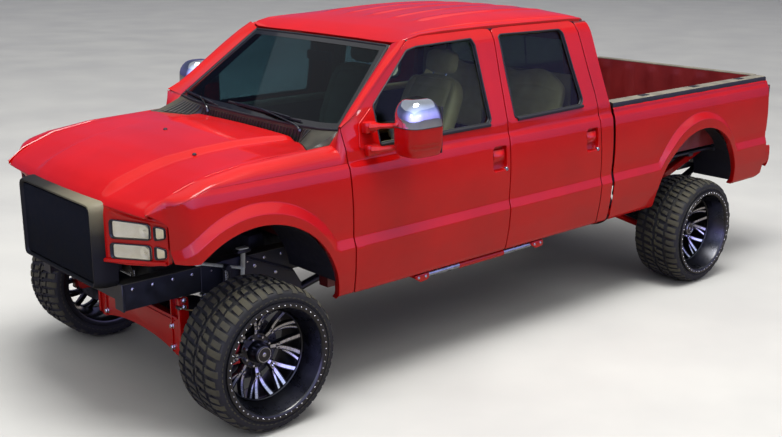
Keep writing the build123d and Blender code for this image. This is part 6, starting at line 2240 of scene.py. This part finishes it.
# carpet, inner pillar trims, belts, grab handles, headliner edge, mirror
it = M()
X, Y = np.meshgrid(np.linspace(-3.03, -.64, 40), np.linspace(-.79, .79, 24), indexing="ij")
Z = .884 + .05 * np.exp(-(Y / .16) ** 4) + .10 * smooth(-.86, -.64, X)
sheet(np.stack([X, Y, Z], -1), 0, it, thick=.002)
X, Y = np.meshgrid(np.linspace(-.612, -.600, 2), np.linspace(-.80, .80, 12), indexing="ij")
for s in (1, -1):
    # B pillar trim and belt
    P = []
    for z in np.linspace(.90, 2.02, 20):
        yi = float(interp(z, [(.9, .788), (1.45, .788), (1.50, .812), (1.86, .735), (2.04, .690)]))
        P.append([(x, s * (yi - .010 - .008 * math.sin(PI * (x + 2.040) / .116)), z) for x in np.linspace(-2.040, -1.924, 6)])
    P = np.array(P)
    sheet(P if s > 0 else P[::-1], 1, it, thick=.004)
    tube(np.array([(-1.985, s * .742, z) if z < 1.84 else (-1.985, s * .738, z) for z in (1.02, 1.4, 1.85)]) + np.array([0, s * .0, 0]) , .014, 8, m=it, mat=2, flat=.16)
    rounded((-2.005, s * .715, 1.845), (-1.965, s * .742, 1.885), .008, 2, 3, it)
    rounded((-1.99, s * .752, .95), (-1.975, s * .775, 1.03), .006, 1, 3, it)
    # cant rail trim and grab handle
    P = []
    for x in np.linspace(-1.26, -2.90, 30):
        zt = float(ZE(x)) - .050
        P.append([(x, s * .742, zt - .028), (x, s * .722, zt - .010), (x, s * .690, zt + .014), (x, s * .640, zt + .032)])
    P = np.array(P)
    sheet(P if s < 0 else P[::-1], 1, it, thick=.003)
    for xa in (-1.46, -2.30):
        zt = float(ZE(xa)) - .060
        tube(catmull([(xa, s * .712, zt + .016), (xa - .03, s * .675, zt - .004), (xa - .15, s * .675, zt - .004), (xa - .18, s * .712, zt + .016)], 6), .0105, 10, m=it, mat=1)
    # lower side trim behind the rear door and the trim above it
    rounded((-3.03, s * .770, .89), (-2.92, s * .80, 1.46), .012, 2, 1, it)
    P = []
    for z in np.linspace(1.46, 2.00, 10):
        yi = float(interp(z, [(1.46, .86), (1.56, .85), (1.735, .805), (1.86, .770), (2.02, .715)]))
        xr_ = float(XR(z))
        P.append([(xr_ + .035 + t * .075, s * (yi - .014), z) for t in (0, .5, 1)])
    P = np.array(P)
    sheet(P if s > 0 else P[::-1], 1, it, thick=.003)
    # sun visor
    rounded((-1.42, s * .16, 1.985), (-1.27, s * .60, 1.999), .006, 2, 4, it)
# inner back wall trim
P = np.array([[(float(XR(z)) + .036, y, z) for z in np.linspace(.90, 1.545, 8)] for y in np.linspace(-.80, .80, 10)])
sheet(P[::-1], 1, it, thick=.003)
# rear-view mirror
rounded((-1.215, -.125, 1.835), (-1.190, .125, 1.90), .012, 2, 3, it)
rounded((-1.2185, -.115, 1.842), (-1.2145, .115, 1.893), .003, 1, 5, it)
tube(np.array([(-1.195, 0, 1.895), (-1.165, 0, 1.945)]), .008, 8, m=it, mat=3)
it.build("cabin_linings", "chassis", "interior_trim", [CARPET, TAN_DARK, BELT, BLACK, HEADLINER, MIRROR])


# ------------------------------------------------------------------ underside
CAL = pmat("caliper_red", "a00b0b", "b80f0f", scale=12, rough=(.3, .42), coat=.5)
# lift crossmember: a pressed plate with an arched lower edge, bolted to drop plates
lc = M()
yl = np.linspace(-.470, .470, 40)
lo_ = .292 + .060 * np.clip(1 - (yl / .42) ** 2, 0, 1) ** .8
outl = [(y, z) for y, z in zip(yl, lo_)] + [(.472, .505), (.455, .528), (-.455, .528), (-.472, .505)]
prism(outl, 0, .200, .214, .003, 2, 0, lc)
prism(outl, 0, .172, .180, .002, 1, 0, lc)
rounded((.172, -.462, .520), (.222, .462, .532), .004, 2, 0, lc)
rounded((.208, -.430, .500), (.220, .430, .506), .003, 2, 0, lc)
for s in (1, -1):
    o_ = round_poly([(.162, .302), (.223, .302), (.223, .655), (.162, .655)], .018)
    prism(o_, 1, s * .478, s * .4995, .003, 2, 0, lc)
    prism(o_, 1, s * .396, s * .408, .003, 2, 0, lc)
    rounded((.184, s * .398, .305), (.202, s * .499, .64), .008, 2, 0, lc)
    for z in (.335, .465):
        hexbolt(np.array([.2145, s * .400, z]), [1, 0, 0], .013, 1, lc)
    for z in (.38, .60, .64):
        hexbolt(np.array([.192, s * .500, z]), [0, s, 0], .010, 1, lc)
lc.build("lift_crossmember_plates", "chassis", "body_paint", [RED, BOLT_M], replaces=("lift_crossmember",))
# frame details: olive top flange at the front (painted light on the black rail's top), horns, rivets, body mounts
fd_ = M()
for s in (1, -1):
    # thin olive sheet on the black rail's top face: painted light on the upward face
    rounded((-.56, s * .404, .8095), (.5625, s * .496, .8155), .002, 1, 0, fd_)
    rounded((.552, s * .404, .655), (.5655, s * .496, .8155), .003, 1, 1, fd_)
    for x in np.linspace(.50, -.50, 9):
        hexbolt(np.array([x, s * .4905, .775]), [0, s, 0], .006, 2, fd_)
    for x in (-.80, -1.70, -2.70):
        rounded((x - .06, s * .46, .778), (x + .06, s * .62, .806), .008, 1, 1, fd_)
        lathe([(0, .045), (.034, .043), (.042, .034), (.034, .024), (.042, .012), (.042, 0)][::-1], 20, 3, t_ := M())
        fd_.join(t_.moved(np.array([[1, 0, 0], [0, 0, 1], [0, 1, 0]]), (x, s * .58, .803)))
    for x in np.linspace(-.9, -5.0, 14):
        lathe([(0, .004), (.008, .0035), (.010, 0)][::-1], 10, 2, t_ := M())
        fd_.join(t_.moved(None, (x, .4900, .735)) if s > 0 else t_.mirror().moved(None, (x, -.4900, .735)))
fd_.build("frame_details", "chassis", "frame_steel", [OLIVE, FRAME_M, BOLT_M, RUBBER_SEAL])

# front springs, shocks and radius arms
fs_ = M()
for s in (1, -1):
    n_ = 150
    t = np.linspace(0, 1, n_)
    a = t * 2 * PI * 6.0
    P = np.stack([.042 * np.cos(a), s * .450 + .042 * np.sin(a), .486 + .168 * t], 1)
    tube(P, .0075, 10, m=fs_, mat=0)
    lathe([(0, 0), (.052, 0), (.054, .004), (.054, .010), (.030, .012), (.028, .03), (0, .03)], 28, 1, t_ := M())
    Rz = np.array([[1, 0, 0], [0, 0, 1], [0, 1, 0]])
    fs_.join(t_.moved(Rz, (0, s * .450, .4785)))
    # shock: body, rod, boot and eyes
    for (p0, p1) in (((-.070, s * .545, .440), (-.070, s * .545, .790)),):
        p0, p1 = np.array(p0), np.array(p1)
        d = p1 - p0
        tube(np.array([p0, p0 + d * .55]), .0255, 16, m=fs_, mat=1)
        tube(np.array([p0 + d * .54, p0 + d * .60]), .021, 16, m=fs_, mat=1)
        tube(np.array([p0 + d * .58, p1]), .010, 12, m=fs_, mat=3)
        for q in (p0, p1):
            tube(np.array([q - [0, .028, 0], q + [0, .028, 0]]), .018, 14, m=fs_, mat=1)
    prism(round_poly([(-.112, .430), (-.062, .430), (-.062, .800), (-.112, .800)], .02), 1, s * .509, s * .529, .003, 1, 1, fs_)
    P = catmull([(-.076, s * .455, .412), (-.40, s * .455, .455), (-.80, s * .455, .545), (-1.145, s * .455, .618)], 10)
    tube(P, .0255, 14, m=fs_, mat=1)
    for q in (P[0], P[-1]):
        tube(np.array([q - [0, .034, 0], q + [0, .034, 0]]), .034, 18, m=fs_, mat=1)
        hexbolt(q + [0, s * .035, 0], [0, s, 0], .011, 4, fs_)
    rounded((-1.178, s * .428, .612), (-1.122, s * .482, .658), .006, 1, 1, fs_)
fs_.build("front_springs_and_arms", "chassis", "bright_steel", [STEEL, FRAME_M, CHROME, STEEL, BOLT_M], replaces=("front_suspension",))
# bright link with its post, their near-white colour a painted reflection in place of chrome, the dark apron behind it,
# and a loose cable on the left rail
lk = M()
Lp = np.array([(.100, .520, .846), (-.05, .520, .800), (-.202, .520, .753)])
tube(Lp, .016, 12, m=lk, mat=0, flat=.6)
tube(np.array([(-.200, .520, .752), (-.206, .520, .862)]), .014, 14, m=lk, mat=2)
tube(np.array([(-.196, .520, .690), (-.200, .520, .755)]), .012, 14, m=lk, mat=0)
rounded((-.245, .488, .850), (-.150, .552, .872), .010, 2, 1, lk)
rounded((-.232, .500, .871), (-.165, .545, .882), .005, 2, 2, lk)
lathe([(0, .014), (.018, .012), (.022, 0), (.018, -.012), (0, -.014)][::-1], 20, 0, t_ := M())
lk.join(t_.moved(np.array([[1, 0, 0], [0, 0, 1], [0, 1, 0]]), (.100, .520, .846)))
tube(catmull([(.22, .500, .60), (.14, .506, .570), (.05, .506, .560), (-.04, .500, .575), (-.10, .485, .60)], 8), .0045, 8, m=lk, mat=3)
for q in ((.22, .500, .60), (-.10, .485, .60)):
    rounded((q[0] - .012, q[1] - .030, q[2] - .010), (q[0] + .012, q[1] + .010, q[2] + .012), .004, 1, 1, lk)
    tube(np.array([(q[0], q[1] + .008, q[2]), (q[0], q[1] + .014, q[2])]), .005, 6, m=lk, mat=2)
# the near-white link colour is a painted reflection standing in for chrome
lk.build("bright_link_and_cable", "chassis", "bright_steel", [LINK_REFLECT_M := pmat("link_paint", "dfe8f4", "f2f6fa", scale=20, rough=(.25, .35), metal=.0), BLACK, LAMP_WHITE, CABLE])
ap = M()
for s in (1, -1):
    prism([(.07, .812), (-.225, .822), (-.58, .664), (-.645, .56), (-.645, .52), (-.20, .52), (.07, .66)], 1, s * .4915, s * .4975, .003, 1, 0, ap)
    prism([(-.225, .815), (-.58, .657), (-.575, .645), (-.22, .803)], 1, s * .497, s * .512, .003, 1, 0, ap)
    for x, z in ((-.30, .74), (-.45, .67), (-.10, .76), (-.38, .56)):
        hexbolt(np.array([x, s * .4978, z]), [0, s, 0], .007, 1, ap)
ap.build("rail_aprons", "chassis", "frame_steel", [NAVY := pmat("apron_navy", "080c16", "0c1220", scale=8, rough=(.4, .55), grain=.1), BOLT_M])
# red square bar and its bracket inside each rear arch
rb_ = M()
for s in (1, -1):
    p0, p1 = np.array([-4.20, s * .66, .700]), np.array([-4.84, s * .66, .900])
    d = unit(p1 - p0)
    n_ = unit(np.cross(d, [0, 1, 0]))
    n_ = n_ if n_[2] > 0 else -n_
    hw = .030
    rows = [[p + np.array([0, a_ * hw, 0]) + n_ * b_ * hw for a_, b_ in ((-1, -.8), (-.8, -1), (.8, -1), (1, -.8), (1, .8), (.8, 1), (-.8, 1), (-1, .8))] for p in (p0, (p0 + p1) / 2, p1)]
    P = np.array(rows)
    f = grid_faces(3, 8, False, True)
    rb_.add(P, f, 0)
    rb_.add(np.concatenate([P[0], P[-1]]), [list(range(8)), list(range(8, 16))[::-1]], 0)
    rounded((-4.90, s * .495, .655), (-4.70, s * .505, .90), .004, 1, 1, rb_)
    rounded((-4.88, s * .505, .860), (-4.80, s * .70, .875), .004, 1, 1, rb_)
    hexbolt(np.array([-4.83, s * .506, .74]), [0, s, 0], .020, 2, rb_)
rb_.build("rear_arch_bars", "chassis", "body_paint", [RED, FRAME_M, BOLT_M])

# step brackets and tubes
sb = M()
for xb in (-1.235, -2.330):
    o_ = round_poly([(xb - .060, .596), (xb + .060, .596), (xb + .056, .575), (xb + .012, .546), (xb - .050, .552), (xb - .060, .566)], [.004, .006, .01, .02, .012, .01])
    prism(o_, 1, .942, .962, .004, 2, 0, sb)
    rounded((xb - .052, .745, .572), (xb + .052, .945, .594), .006, 2, 0, sb)
    rounded((xb - .058, .742, .575), (xb + .058, .790, .608), .004, 1, 0, sb)
    for d in (-.03, .03):
        hexbolt(np.array([xb + d, .962, .577]), [0, 1, 0], .006, 2, sb)
tube(np.array([(x, .930, .575) for x in np.linspace(-1.292, -2.278, 24)]), .0215, 20, m=sb, mat=1)
tube(np.array([(x, .930, .575) for x in (-1.58, -1.60, -1.98, -2.0)]), .0235, 20, m=sb, mat=0)
sb.both().build("step_assemblies", "chassis", "body_paint", [RED, STEEL, BOLT_M], replaces=("step_bars",))

# calipers
cal = M()
for y0, y1 in ((.884, .904), (.808, .827)):
    prism([(.062 + .0, -.050), (.10, -.058), (.188, -.052), (.205, -.03), (.208, 0), (.205, .03), (.188, .052), (.10, .058), (.062, .050), (.078, 0)], 1, y0, y1, .006, 2, 0, cal)
rounded((.184, .822, -.044), (.208, .890, .044), .006, 2, 0, cal)
for z in (-.03, .03):
    lathe([(0, .004), (.014, .003), (.016, 0)][::-1], 20, 1, t_ := M())
    cal.join(t_.moved(None, (.135, .9045, z)))
for nm, bd, cx_, s in (("front_left_caliper", "left_steer", FXW, 1), ("front_right_caliper", "right_steer", FXW, -1), ("rear_left_caliper", "chassis", RXW, 1), ("rear_right_caliper", "chassis", RXW, -1)):
    a = (cal if s > 0 else cal.mirror()).moved(None, (cx_, 0, WZ))
    a.build(nm, bd, "cast_block", [CAL, BOLT_M], raked=False)
# round caps and hub studs on the knuckles
for s, bd in ((1, "left_steer"), (-1, "right_steer")):
    kn = M()
    for zz in (-.118, .118):
        lathe([(0, .012), (.022, .010), (.028, .002), (.028, 0)][::-1], 24, 0, t_ := M())
        R_ = np.array([[1, 0, 0], [0, 0, 1], [0, 1, 0]]) if zz > 0 else np.array([[1, 0, 0], [0, 0, -1], [0, -1, 0]])
        kn.join(t_.moved(R_, (FXW, s * .780, WZ + zz + (.010 if zz > 0 else -.010))))
    for k in range(6):
        a = k * PI / 3
        hexbolt(np.array([FXW + .066 * math.cos(a), s * .8125 - s * .002, WZ + .066 * math.sin(a)]), [0, -s, 0], .006, 1, kn, washer=False)
    kn.build(f"{'left' if s > 0 else 'right'}_knuckle_details", bd, "cast_block", [CAST, BOLT_M], raked=False)

# axle details: covers with bolts
for nm, cx_, yd, sg in (("front", FXW, .250, 1), ("rear", RXW, 0.0, -1)):
    ad = M()
    k = M()
    prof_ = [(0, .150), (.055, .147), (.095, .135), (.118, .112), (.126, .104), (.130, .100), (.130, .092), (.120, .090)]
    lathe(prof_[::-1], 40, 0, k)
    R_ = np.array([[0, sg, 0], [1, 0, 0], [0, 0, 1]]) if sg > 0 else np.array([[0, -1, 0], [1, 0, 0], [0, 0, 1]])
    R_ = np.array([[0, sg * 1.0, 0], [-sg * 1.0, 0, 0], [0, 0, 1]])
    ad.join(k.moved(R_, (cx_, yd, WZ)))
    for i in range(10):
        a = i * PI / 5
        hexbolt(np.array([cx_ + sg * .104, yd + .119 * math.cos(a), WZ + .119 * math.sin(a)]), [sg, 0, 0], .006, 1, ad, washer=False)
    for s in (1, -1):
        for y_ in ((.395, .505) if nm == "front" else (.500, .580)):
            pass
        tube(np.array([(cx_ + .052, s * (.60 if nm == "front" else .72), WZ - .01), (cx_ + .052, s * .30, WZ + .03)]), .006, 8, m=ad, mat=2)
    ad.build(nm + "_axle_cover", "chassis", "cast_block", [CAST, BOLT_M, BLACK], raked=False)

# rear leaf packs, shackles, U-bolts and shocks
rs_ = M()
for s in (1, -1):
    c_ = catmull([(-3.400, 0, .664), (-3.780, 0, .535), (-4.165, 0, .455), (-4.550, 0, .535), (-4.930, 0, .664)], 10)
    for k, (frac, dz) in enumerate(((1.0, 0), (.86, -.0115), (.66, -.023), (.44, -.0345))):
        n_ = len(c_)
        i0 = int(round((1 - frac) / 2 * (n_ - 1)))
        q = c_[i0:n_ - i0]
        rows = []
        for p in q:
            rows.append([(p[0], s * (.540 + dy), p[2] + dz + h) for dy, h in ((-.034, -.0052), (-.034, .0052), (.034, .0052), (.034, -.0052))])
        P = np.array(rows)
        f = grid_faces(len(q), 4, False, True)
        rs_.add(P, f if s < 0 else f[:, ::-1], 0)
        e = np.concatenate([P[0], P[-1]])
        rs_.add(e, [[0, 1, 2, 3], [7, 6, 5, 4]], 0)
    for x in (-3.400, -4.930):
        tube(np.array([(x, s * .498, .668), (x, s * .582, .668)]), .024, 18, m=rs_, mat=0)
        hexbolt(np.array([x, s * .583, .668]), [0, s, 0], .010, 1, rs_)
        rounded((x - .036, s * .492, .655), (x + .036, s * .503, .730), .006, 1, 0, rs_)
    for x in (-4.105, -4.225):
        tube(catmull([(x, s * .504, .385), (x, s * .504, .470), (x, s * .540, .482), (x, s * .576, .470), (x, s * .576, .385)], 5), .007, 8, m=rs_, mat=1)
    rounded((-4.245, s * .500, .366), (-4.085, s * .580, .384), .004, 1, 0, rs_)
    p0, p1 = np.array([-4.305, s * .452, .410]), np.array([-4.395, s * .452, .635])
    d = p1 - p0
    tube(np.array([p0, p0 + d * .6]), .027, 16, m=rs_, mat=2)
    tube(np.array([p0 + d * .6, p1]), .011, 12, m=rs_, mat=3)
    for q in (p0, p1):
        tube(np.array([q - [0, .024, 0], q + [0, .024, 0]]), .019, 14, m=rs_, mat=0)
    # bump stop under the rail
    lathe([(0, -.075), (.020, -.070), (.030, -.045), (.024, -.030), (.034, -.015), (.034, 0)][::-1], 20, 4, t_ := M())
    rs_.join(t_.moved(np.array([[1, 0, 0], [0, 0, 1], [0, 1, 0]]), (-4.165, s * .450, .658)))
rs_.build("rear_springs_and_shocks", "chassis", "frame_steel", [FRAME_M, BOLT_M, CHROME, STEEL, RUBBER_SEAL], replaces=("rear_suspension",))
# traction bars: red tubes with bright ends
tb = M()
for s in (1, -1):
    p0, p1 = np.array([-4.085, s * .620, .300]), np.array([-3.400, s * .455, .620])
    d = p1 - p0
    tube(np.array([p0 + d * .08, p0 + d * .92]), .0255, 18, m=tb, mat=0)
    tube(np.array([p0, p0 + d * .09]), .016, 14, m=tb, mat=1)
    tube(np.array([p0 + d * .91, p1]), .016, 14, m=tb, mat=1)
    for q in (p0, p1):
        tube(np.array([q - [0, .020, 0], q + [0, .020, 0]]), .025, 16, m=tb, mat=1)
tb.build("traction_bar_tubes", "chassis", "bright_steel", [RED, STEEL], replaces=("traction_bars",))

# exhaust
ex = M()
P = catmull([(-.605, -.290, .600), (-1.2, -.290, .600), (-1.88, -.290, .600)], 8)
tube(P, .0375, 20, m=ex, mat=0)
prof_ = [(0.038, 0), (.060, .01), (.086, .03), (.0945, .06), (.0945, .49), (.086, .52), (.060, .54), (.038, .55)]
k = M()
lathe(prof_[::-1], 36, 0, k)
R_ = np.array([[0, -1, 0], [1, 0, 0], [0, 0, 1]])
ex.join(k.moved(R_, (-1.90, -.290, .600)))
tube(np.array([(x, -.290, .600) for x in (-2.44, -3.0, -3.8, -4.70)]), .0375, 20, m=ex, mat=0)
k = M()
lathe([(.0375, 0), (.044, .003), (.0455, .25), (.0445, .252), (.041, .250), (.040, .02)][::-1], 32, 1, k, closed=True)
ex.join(k.moved(R_, (-4.70, -.290, .600)))
for x in (-1.0, -1.86, -2.48, -3.4, -4.66):
    k = M()
    lathe([(.0375, 0), (.0425, .001), (.0425, .020), (.0375, .021)][::-1], 28, 1, k, closed=True)
    ex.join(k.moved(R_, (x, -.290, .600)))
ex.build("exhaust_system", "chassis", "bright_steel", [RUST, STEEL], replaces=("exhaust_pipe",))
# fuel tank with straps
ft = M()
rounded((-2.618, .123, .523), (-1.782, .383, .788), .045, 3, 0, ft)
for x in (-2.40, -2.00):
    for a, b in (((x - .022, .120, .5205), (x + .022, .3845, .5265)), ((x - .022, .380, .523), (x + .022, .3865, .785)), ((x - .022, .119, .523), (x + .022, .126, .785))):
        rounded(a, b, .002, 1, 1, ft)
ft.build("fuel_tank_shell", "chassis", "black_plastic", [BLACK, FRAME_M], replaces=("fuel_tank",))

# driveline: gearbox, transfer case, shaft with joints
dv = M()
rounded((-.90, -.148, .605), (-.585, .148, .798), .05, 3, 0, dv)
rounded((-1.30, -.115, .600), (-.88, .115, .780), .05, 3, 0, dv)
rounded((-1.495, -.145, .565), (-1.28, .140, .790), .05, 3, 0, dv)
rounded((-1.24, -.108, .562), (-.94, .108, .606), .012, 2, 1, dv)
for i in range(8):
    x = -.62 - .035 * i
    rounded((x - .005, -.1505, .63), (x + .005, .1505, .78), .002, 1, 0, dv)
p0, p1 = np.array([-1.495, 0, .640]), np.array([-3.880, 0, .420])
d = p1 - p0
tube(np.array([p0 + d * .03, p0 + d * .97]), .0445, 22, m=dv, mat=1)
for q in (.012, .985):
    c_ = p0 + d * q
    tube(np.array([c_ - [0, .05, 0], c_ + [0, .05, 0]]), .016, 14, m=dv, mat=2)
    tube(np.array([c_ - d / np.linalg.norm(d) * .035, c_ + d / np.linalg.norm(d) * .035]), .036, 14, m=dv, mat=0, flat=.6)
dv.build("gearbox_and_shaft", "chassis", "cast_block", [CAST, FRAME_M, STEEL], replaces=("driveline",))

# engine: block, rocker covers, intake, air box, battery, fan shroud, hoses
en = M()
rounded((-.52, -.20, .66), (.24, .20, .98), .04, 3, 0, en)
for s in (1, -1):
    o_ = [(s * .10, .93), (s * .265, .88), (s * .292, .98), (s * .13, 1.05)]
    prism(o_, 0, -.50, .20, .02, 2, 0, en)
    o_ = [(s * .125, 1.04), (s * .285, .98), (s * .297, 1.06), (s * .15, 1.12)]
    prism(o_, 0, -.49, .19, .02, 3, 1, en)
    for i in range(5):
        hexbolt(np.array([-.43 + i * .14, s * .215, 1.098]), [0, s * .3, 1], .007, 2, en)
rounded((-.40, -.095, 1.02), (.12, .095, 1.165), .035, 3, 0, en)
for i in range(4):
    for s in (1, -1):
        x = -.36 + i * .14
        tube(catmull([(x, s * .03, 1.15), (x, s * .12, 1.155), (x, s * .20, 1.09)], 5), .022, 12, m=en, mat=0)
tube(catmull([(.10, 0, 1.12), (.22, -.02, 1.13), (.30, -.16, 1.12), (.30, -.25, 1.08)], 8), .036, 16, m=en, mat=1)
k = M()
lathe([(0, .02), (.10, .02), (.115, .012), (.115, -.012), (.10, -.02), (0, -.02)][::-1], 40, 1, k)
en.join(k.moved(R_, (.27, 0, .82)))
for i in range(7):
    a = i * 2 * PI / 7
    c, s_ = math.cos(a), math.sin(a)
    P = np.array([[(.305 + t * .02, (.05 + r * .17) * c - t * .05 * s_, .90 + (.05 + r * .17) * s_ + t * .05 * c) for t in (-1, 0, 1)] for r in (0, .5, 1)])
    sheet(P, 1, en, thick=.003)
k = M()
lathe([(0, .01), (.045, .008), (.055, 0), (.055, -.03), (0, -.03)][::-1], 28, 2, k)
en.join(k.moved(R_, (.318, 0, .90)))
for (yy_, zz_, rr_) in ((-.20, .98, .045), (.20, .96, .040), (.0, .72, .07)):
    k = M()
    lathe([(0, .012), (rr_, .012), (rr_ - .004, .004), (rr_ - .004, -.004), (rr_, -.012), (0, -.012)][::-1], 28, 2, k)
    en.join(k.moved(R_, (.27, yy_, zz_)))
rounded((-.53, -.29, .645), (-.40, .29, .86), .03, 2, 0, en)
rounded((-.30, -.17, .642), (.20, .17, .70), .02, 2, 1, en)
en.build("engine_assembly", "chassis", "cast_block", [CAST, BLACK, STEEL], replaces=("engine_block",))
eb = M()
rounded((.14, -.62, 1.06), (.40, -.44, 1.23), .012, 2, 0, eb)
rounded((.13, -.63, 1.045), (.41, -.43, 1.07), .006, 1, 0, eb)
for y in (-.58, -.48):
    lathe([(0, .016), (.009, .016), (.010, 0)][::-1], 14, 1, t_ := M())
    eb.join(t_.moved(np.array([[1, 0, 0], [0, 0, 1], [0, 1, 0]]), (.20, y, 1.228)))
rounded((.04, .40, 1.05), (.38, .52, 1.24), .03, 3, 0, eb)
tube(catmull([(.20, .42, 1.15), (.20, .30, 1.16), (.16, .16, 1.16), (.08, .05, 1.14)], 8), .040, 16, m=eb, mat=0)
rounded((.500, -.40, .86), (.548, .40, 1.22), .012, 2, 0, eb)
k = M()
lathe([(.235, 0), (.245, .004), (.245, .03), (.235, .034)][::-1], 48, 0, k, closed=True)
eb.join(k.moved(np.array([[0, -1, 0], [1, 0, 0], [0, 0, 1]]), (.498, 0, 1.03)))
tube(catmull([(.50, .28, 1.18), (.40, .30, 1.19), (.30, .20, 1.12), (.20, .12, 1.06)], 8), .022, 14, m=eb, mat=0)
rounded((-.50, -.44, 1.10), (-.30, -.32, 1.28), .02, 2, 2, eb)
rounded((-.54, .24, 1.16), (-.36, .50, 1.30), .03, 3, 0, eb)
lathe([(0, .03), (.035, .028), (.04, .01), (.04, 0)][::-1], 24, 0, t_ := M())
eb.join(t_.moved(np.array([[1, 0, 0], [0, 0, 1], [0, 1, 0]]), (-.40, -.38, 1.28)))
eb.build("engine_bay_parts", "chassis", "black_plastic", [BLACK, STEEL, LAMP_WHITE])

# ------------------------------------------------------------------ CAD pieces that are shown
CADM = dict(frame_rails=FRAME_M, lift_crossmember=RED, engine_block=CAST, driveline=CAST, fuel_tank=BLACK, exhaust_pipe=RUST, front_axle=CAST, rear_axle=CAST,
            front_suspension=STEEL, rear_suspension=FRAME_M, traction_bars=STEEL, cab_shell=RED_SHADED, roof=RED, cab_glass=GLASS, front_fenders=RED, radiator=CORE, headlights=BLACK,
            cowl_panel=OLIVE, wipers=BLACK, dashboard=DASH_M, front_seats=TAN, rear_bench=TAN, bed=RED, bed_rail_caps=CAP_SHEEN, tail_lights=LENS_RED, rear_bumper=CHROME, step_bars=RED,
            left_knuckle=CAST, right_knuckle=CAST, tie_rod=STEEL, hood=RED, tailgate=RED, steering_wheel=DASH_M, left_mirror=RED, right_mirror=RED)
for n_, o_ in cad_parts.items():
    if "rim" in n_:
        mt = RIM_BLACK
    elif "tyre" in n_:
        mt = TYRE_M
    elif "glass" in n_:
        mt = GLASS
    elif "door" in n_:
        mt = RED
    else:
        mt = CADM[n_]
    o_.data.materials.clear()
    o_.data.materials.append(mt)
